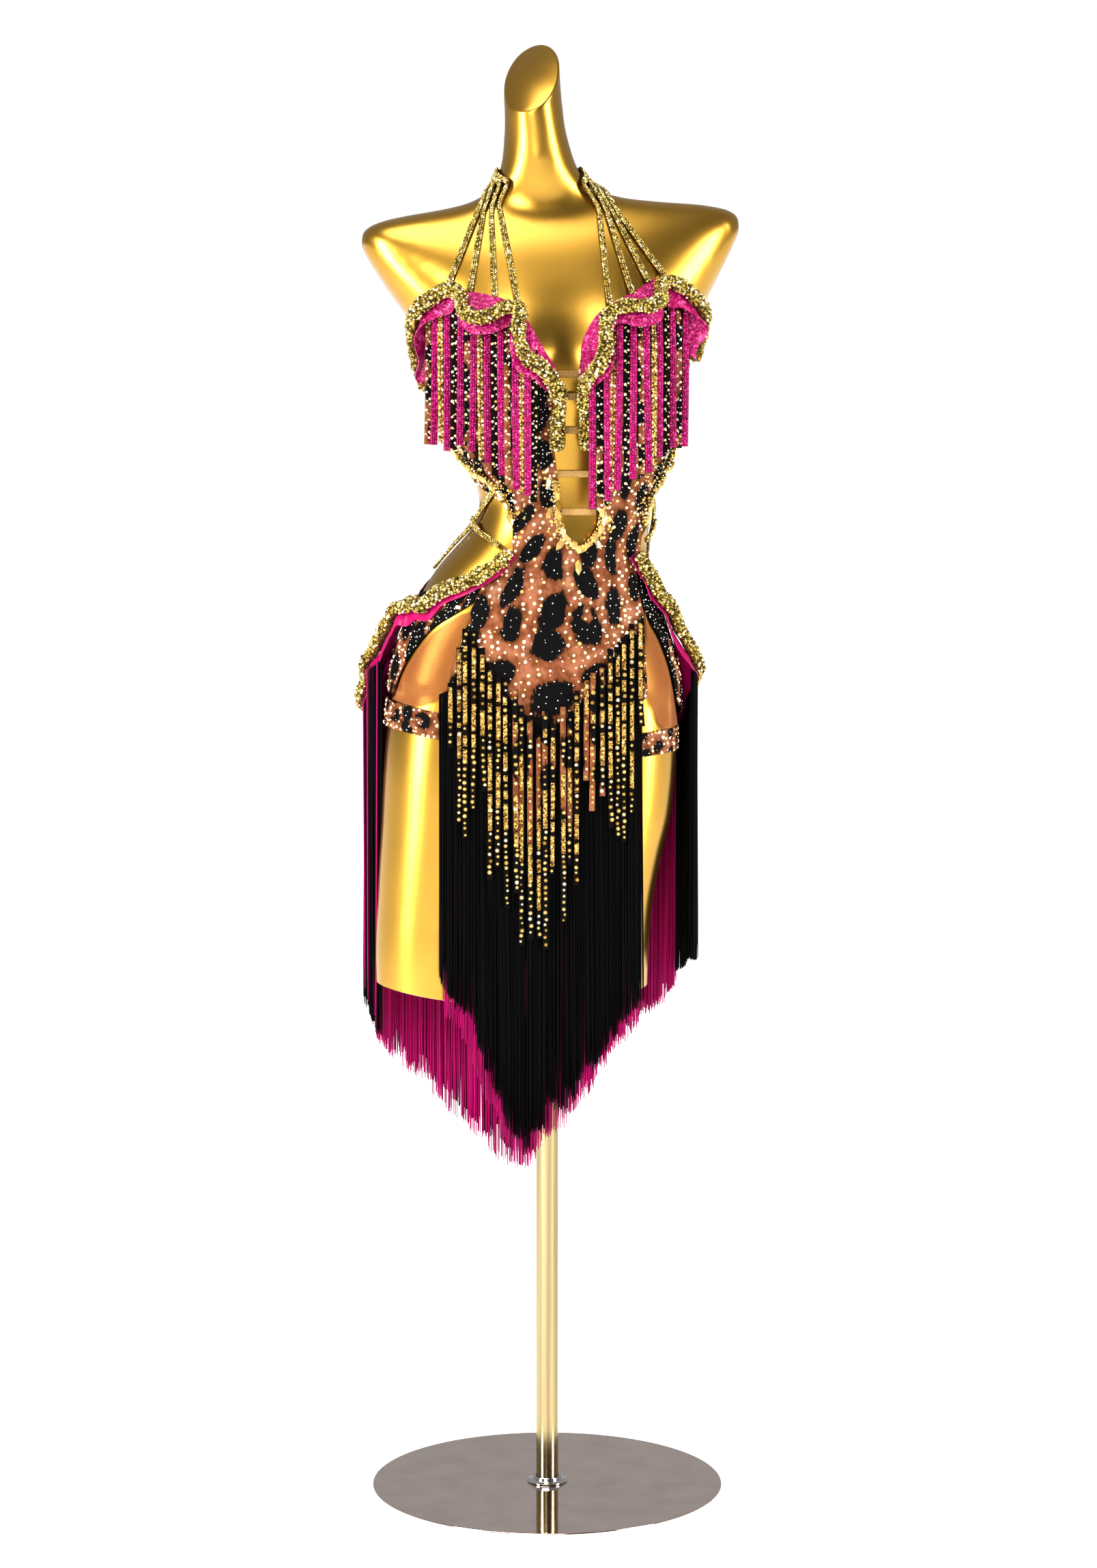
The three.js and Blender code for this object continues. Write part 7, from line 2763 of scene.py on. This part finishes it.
@dataclass
class SkirtFringes:
    """The long black and pink fringes of the skirt."""

    flounces: Flounces
    pitch: float = 1.75
    lock: float = 6.0
    inner: int = 250
    stray_from: float = -222.0
    stray_every: int = 9
    tufts: int = 120
    back_from: float = 8.8
    back_to: float = 15.0

    def locks(self, x: Array, depth: float, seed: int) -> Array:
        """How much the strands fall short of the hem: those of one lock nearly end together.

        Args:
            x: The strands' places across.
            depth: The usual shortfall.
            seed: Starts the source of chance.

        Returns:
            Millimetres for each strand.
        """
        rng = np.random.default_rng(seed)
        short = rng.exponential(depth, self.tufts)
        place_ = (x + 300) / self.lock + 0.25 * rng.normal(0, 1, len(x))
        return short[place_.astype(int) % self.tufts] - depth * 0.7 + rng.exponential(1.6, len(x))

    def front(self) -> None:
        """Black strands over pink ones below the front panel."""
        black = ("black", -116.5, 103.0, BLACK_HEM, (1.6, 2.8, 4.0, 5.2), BLACK_YARN, 301)
        pink = ("pink", -110.0, 99.0, PINK_HEM, (-2.2, -3.2, -4.2), PINK_YARN, 311)
        share = np.linspace(0, 1, 5)
        for tone, low, high, hem, layers, finish, seed in (black, pink):
            rng = np.random.default_rng(seed)
            laid, tips = [], []
            for layer in layers:
                x = np.arange(low, high, self.pitch)
                x = x + rng.uniform(-0.5, 0.5, len(x))
                hem_z = smooth_at(FRONT_HEM, "x", "z", x) + 5
                over = np.maximum(smooth_at(GOLD_ROOTS, "x", "z", x) - 4, hem_z + 4)
                top = over if layer > 0 else hem_z + 8
                z = top[:, None] + (hem_z - top)[:, None] * share
                corner = np.clip(x, FRONT_HEM["x"][0] + 1, FRONT_HEM["x"][-1] - 2)
                xs = corner[:, None] + (x - corner)[:, None] * share
                laid.append(BODY.on_front(xs, z, apron_gap(z) + layer))
                tips.append(line_at(hem, "x", "z", x) + self.locks(x, 8.0, seed + 5) + rng.exponential(2.0))
            laid, tips = np.concatenate(laid), np.concatenate(tips)
            name = f"front_fringe_{tone}"
            fringe = YarnFringe(f"{name}_yarn", [name], f"{tone}_fringe", finish, seed + 1)
            fringe.build(laid, tips, np.tile(AHEAD, (len(laid), 1)))

    @staticmethod
    def outward(points: Array) -> Array:
        """Level directions away from the body's middle."""
        return unit((points - [-12.0, 0, 0]) * [1.0, 1.0, 0.0])

    def edge_strands(
        self, line: Array, hem_rise: float, rng: Chance, rows: int = 2
    ) -> tuple[Array, Array, Array]:
        """Roots and tips of strands under a flounce's free edge.

        Args:
            line: The edge.
            hem_rise: Height of the tips over the back hem.
            rng: The source of chance.
            rows: How many rows of strands.

        Returns:
            The strands' upper parts, their tips' heights and outward directions.
        """
        laid, tips, outs = [], [], []
        total = lengths(line)[-1]
        for row in range(rows):
            at = np.arange(rng.uniform(0, 1), total, self.pitch)
            start = along_line(line, at)
            outward = self.outward(start)
            start = start - outward * (0.6 + 1.5 * row)
            start[:, 2] -= 0.8
            top = start.copy()
            top[:, 2] += 3.0
            laid.append(np.stack([top, start], 1))
            hem = smooth_at(BACK_HEM, "x", "z", start[:, 0]) + hem_rise
            tips.append(hem + self.locks(start[:, 0], 7.0, 361))
            outs.append(outward)
        return np.concatenate(laid), np.concatenate(tips), np.concatenate(outs)

    def sides(self) -> None:
        """Black strands at the sides and back."""
        for side, start, seed in ((Side.LEFT, 5.0, 321), (Side.RIGHT, 3.5, 331)):
            rng = np.random.default_rng(seed)
            edge = self.flounces.edge(side, start, self.back_from)
            laid, tips, outs = self.edge_strands(edge, 12, rng, 3)
            name = f"side_fringe_{side.label}"
            YarnFringe(f"{name}_yarn", [name], "black_fringe", BLACK_YARN, seed + 1).build(laid, tips, outs)
            if side is Side.LEFT:
                pick = np.flatnonzero(laid[:, 0, 0] > self.stray_from)[:: self.stray_every]
                front = laid[pick] + outs[pick][:, None] * 1.5
                YarnFringe("side_fringe_left_pink", [], "pink_fringe", PINK_YARN, seed + 2).build(
                    front, tips[pick] + 10, outs[pick]
                )
        rng = np.random.default_rng(341)
        left, right = (self.flounces.edge(side, self.back_from, self.back_to) for side in Side)
        strands = self.edge_strands(np.concatenate([left, right[::-1]]), 16, rng)
        name = "back_fringe_black"
        YarnFringe(f"{name}_yarn", [name], "black_fringe", BLACK_YARN, 342, 1.15).build(*strands, sway=1.2)

    def pink_back(self) -> None:
        """Pink strands on the seat panel, inside the black ones."""
        right = {k: v[::-1] - (360 if k == "angle" else 0) for k, v in HIP_SIDE[Side.RIGHT].items()}
        roots = {k: np.concatenate([HIP_SIDE[Side.LEFT][k], right[k]]) for k in right}
        rng = np.random.default_rng(351)
        laid, tips, outs = [], [], []
        for row in range(3):
            angle = np.linspace(-100, -254, self.inner) + rng.uniform(-0.2, 0.2, self.inner)
            root = smooth_at(roots, "angle", "root_z", angle) - 24
            low = smooth_at(roots, "angle", "rope_z", angle) - 34
            share = np.linspace(0, 1, 4)
            z = root[:, None] + (low - root)[:, None] * share
            reach = smooth_at(PINK_OUT, "angle", "out", angle)[:, None]
            out = (OVER_CLOTH + 1) * (1 - share) + reach * share + (row - 1) * 1.6
            strand = BODY.skin(z, np.repeat(angle[:, None], 4, 1), out)
            laid.append(strand)
            hem = smooth_at(BACK_HEM, "x", "z", strand[:, -1, 0])
            tips.append(hem + self.locks(strand[:, -1, 0], 11.0, 362) + row * 3.0)
            outs.append(self.outward(strand[:, -1]))
        strands = (np.concatenate(group) for group in (laid, tips, outs))
        name = "back_fringe_pink"
        YarnFringe(f"{name}_yarn", [name], "pink_fringe", PINK_YARN, 352).build(*strands, sway=2.6)

    def build(self) -> None:
        """Makes all long fringes."""
        self.front()
        self.sides()
        self.pink_back()


# ---------------------------------------------------------------- studio


@dataclass(frozen=True)
class Paper(Finish):
    """Matt paper with a little light behind it."""

    glow: float = 0.6

    def dress(self, shader: Shader) -> None:
        """Adds the light."""
        shader.feed(Emission_Color=(1, 1, 1), Emission_Strength=self.glow)


@dataclass
class Studio:
    """Floor, lights and camera."""

    floor_size: float = 60.0
    overhead: float = 1.5
    paper: Paper = Paper("floor_paper", (0.93, 0.93, 0.93), 0.9)
    middle: tuple[float, float, float] = (0, 0, 1.05)
    lens: float = 83.1
    tilt: float = 5.728

    def floor(self) -> None:
        """A plain pale floor."""
        bpy.ops.mesh.primitive_grid_add(x_subdivisions=8, y_subdivisions=8, size=self.floor_size)
        obj = bpy.context.object
        obj.name = "studio_floor"
        obj.location.z = -0.0004
        obj.data.materials.append(self.paper.material())
        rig.stage(obj)

    def lamp(
        self, name: str, where: Sequence[float], size: tuple[float, float], power: float
    ) -> None:
        """A soft rectangular lamp that faces the dress.

        Args:
            name: The lamp's name.
            where: Its place.
            size: Its width and height.
            power: Watts.
        """
        data = bpy.data.lights.new(name, "AREA")
        data.shape, data.size, data.size_y, data.energy = "RECTANGLE", *size, power
        obj = bpy.data.objects.new(name, data)
        bpy.context.scene.collection.objects.link(obj)
        towards = (Vector(self.middle) - Vector(where)).to_track_quat("-Z", "Y")
        obj.matrix_world = Matrix.Translation(where) @ towards.to_matrix().to_4x4()

    def lamps(self) -> None:
        """Tall side lamps, a broad front lamp and an even overhead light."""
        self.lamp("lamp_left", (-2.3, -1.7, 1.7), (0.8, 2.4), 95)
        self.lamp("lamp_right", (2.5, -1.3, 1.6), (0.8, 2.4), 75)
        self.lamp("lamp_front", (-0.9, -4.4, 2.6), (1.5, 1.5), 85)
        data = bpy.data.lights.new("overhead", "SUN")
        data.energy, data.angle = self.overhead, math.radians(36)
        obj = bpy.data.objects.new("overhead", data)
        obj.rotation_euler = (math.radians(24), math.radians(-10), 0)
        bpy.context.scene.collection.objects.link(obj)

    def world(self) -> None:
        """White surroundings to the eye; what polished things mirror is darker, most of all in front."""
        world = bpy.data.worlds.new("studio_world")
        bpy.context.scene.world = world
        world.use_nodes = True
        nodes = Nodes(world.node_tree)
        output = nodes.tree.nodes.new("ShaderNodeOutputWorld")
        seen = nodes.node("ShaderNodeBackground", {}, {"Color": (1, 1, 1), "Strength": 1.0})
        depth = nodes.node("ShaderNodeTexCoord", {}, {}, "Generated").part("XYZ", "Y")
        span = {"Value": depth, "From Min": -0.9, "From Max": 0.5, "To Min": 0.1, "To Max": 0.5}
        strength = nodes.node("ShaderNodeMapRange", {}, span, "Result")
        mirrored = nodes.node("ShaderNodeBackground", {}, {"Strength": strength})
        eye = nodes.node("ShaderNodeLightPath", {}, {}, "Is Camera Ray")
        both = nodes.node("ShaderNodeMixShader", {}, {0: eye, 1: mirrored, 2: seen})
        nodes.put(output.inputs["Surface"], both)

    def camera(self) -> None:
        """The camera in front, a little above the waist, tilted down."""
        data = bpy.data.cameras.new("camera")
        data.lens, data.sensor_width = self.lens, 36.0
        data.shift_x = 1.9 / 2296
        obj = bpy.data.objects.new("camera", data)
        obj.location = (0, -4.0, 1.2)
        obj.rotation_euler = (math.radians(90 - self.tilt), 0, 0)
        bpy.context.scene.collection.objects.link(obj)
        bpy.context.scene.camera = obj

    def build(self) -> None:
        """Sets up the studio."""
        self.camera()
        self.floor()
        self.lamps()
        self.world()
        settings = bpy.context.scene.view_settings
        settings.view_transform = "Standard"
        settings.gamma = 0.84
        log.info("studio")


def main() -> None:
    """Builds the dress on its form, piece by piece."""
    logging.basicConfig(level=logging.INFO, format="%(message)s")
    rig.load()
    frame_box = [list(corner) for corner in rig.bounds()]
    Studio().build()
    Stand().build()
    DisplayForm().build()
    Panels().build()
    flounces = Flounces()
    flounces.build()
    Straps().build()
    for side in Side:
        BustFringe(side).build()
    GoldFringe().build()
    SkirtFringes(flounces).build()
    looks_box = [list(corner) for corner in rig.bounds()]
    with open("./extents.json", "w", encoding="utf-8") as file:
        json.dump({"frame": frame_box, "looks": looks_box}, file)


if __name__ == "__main__":
    main()
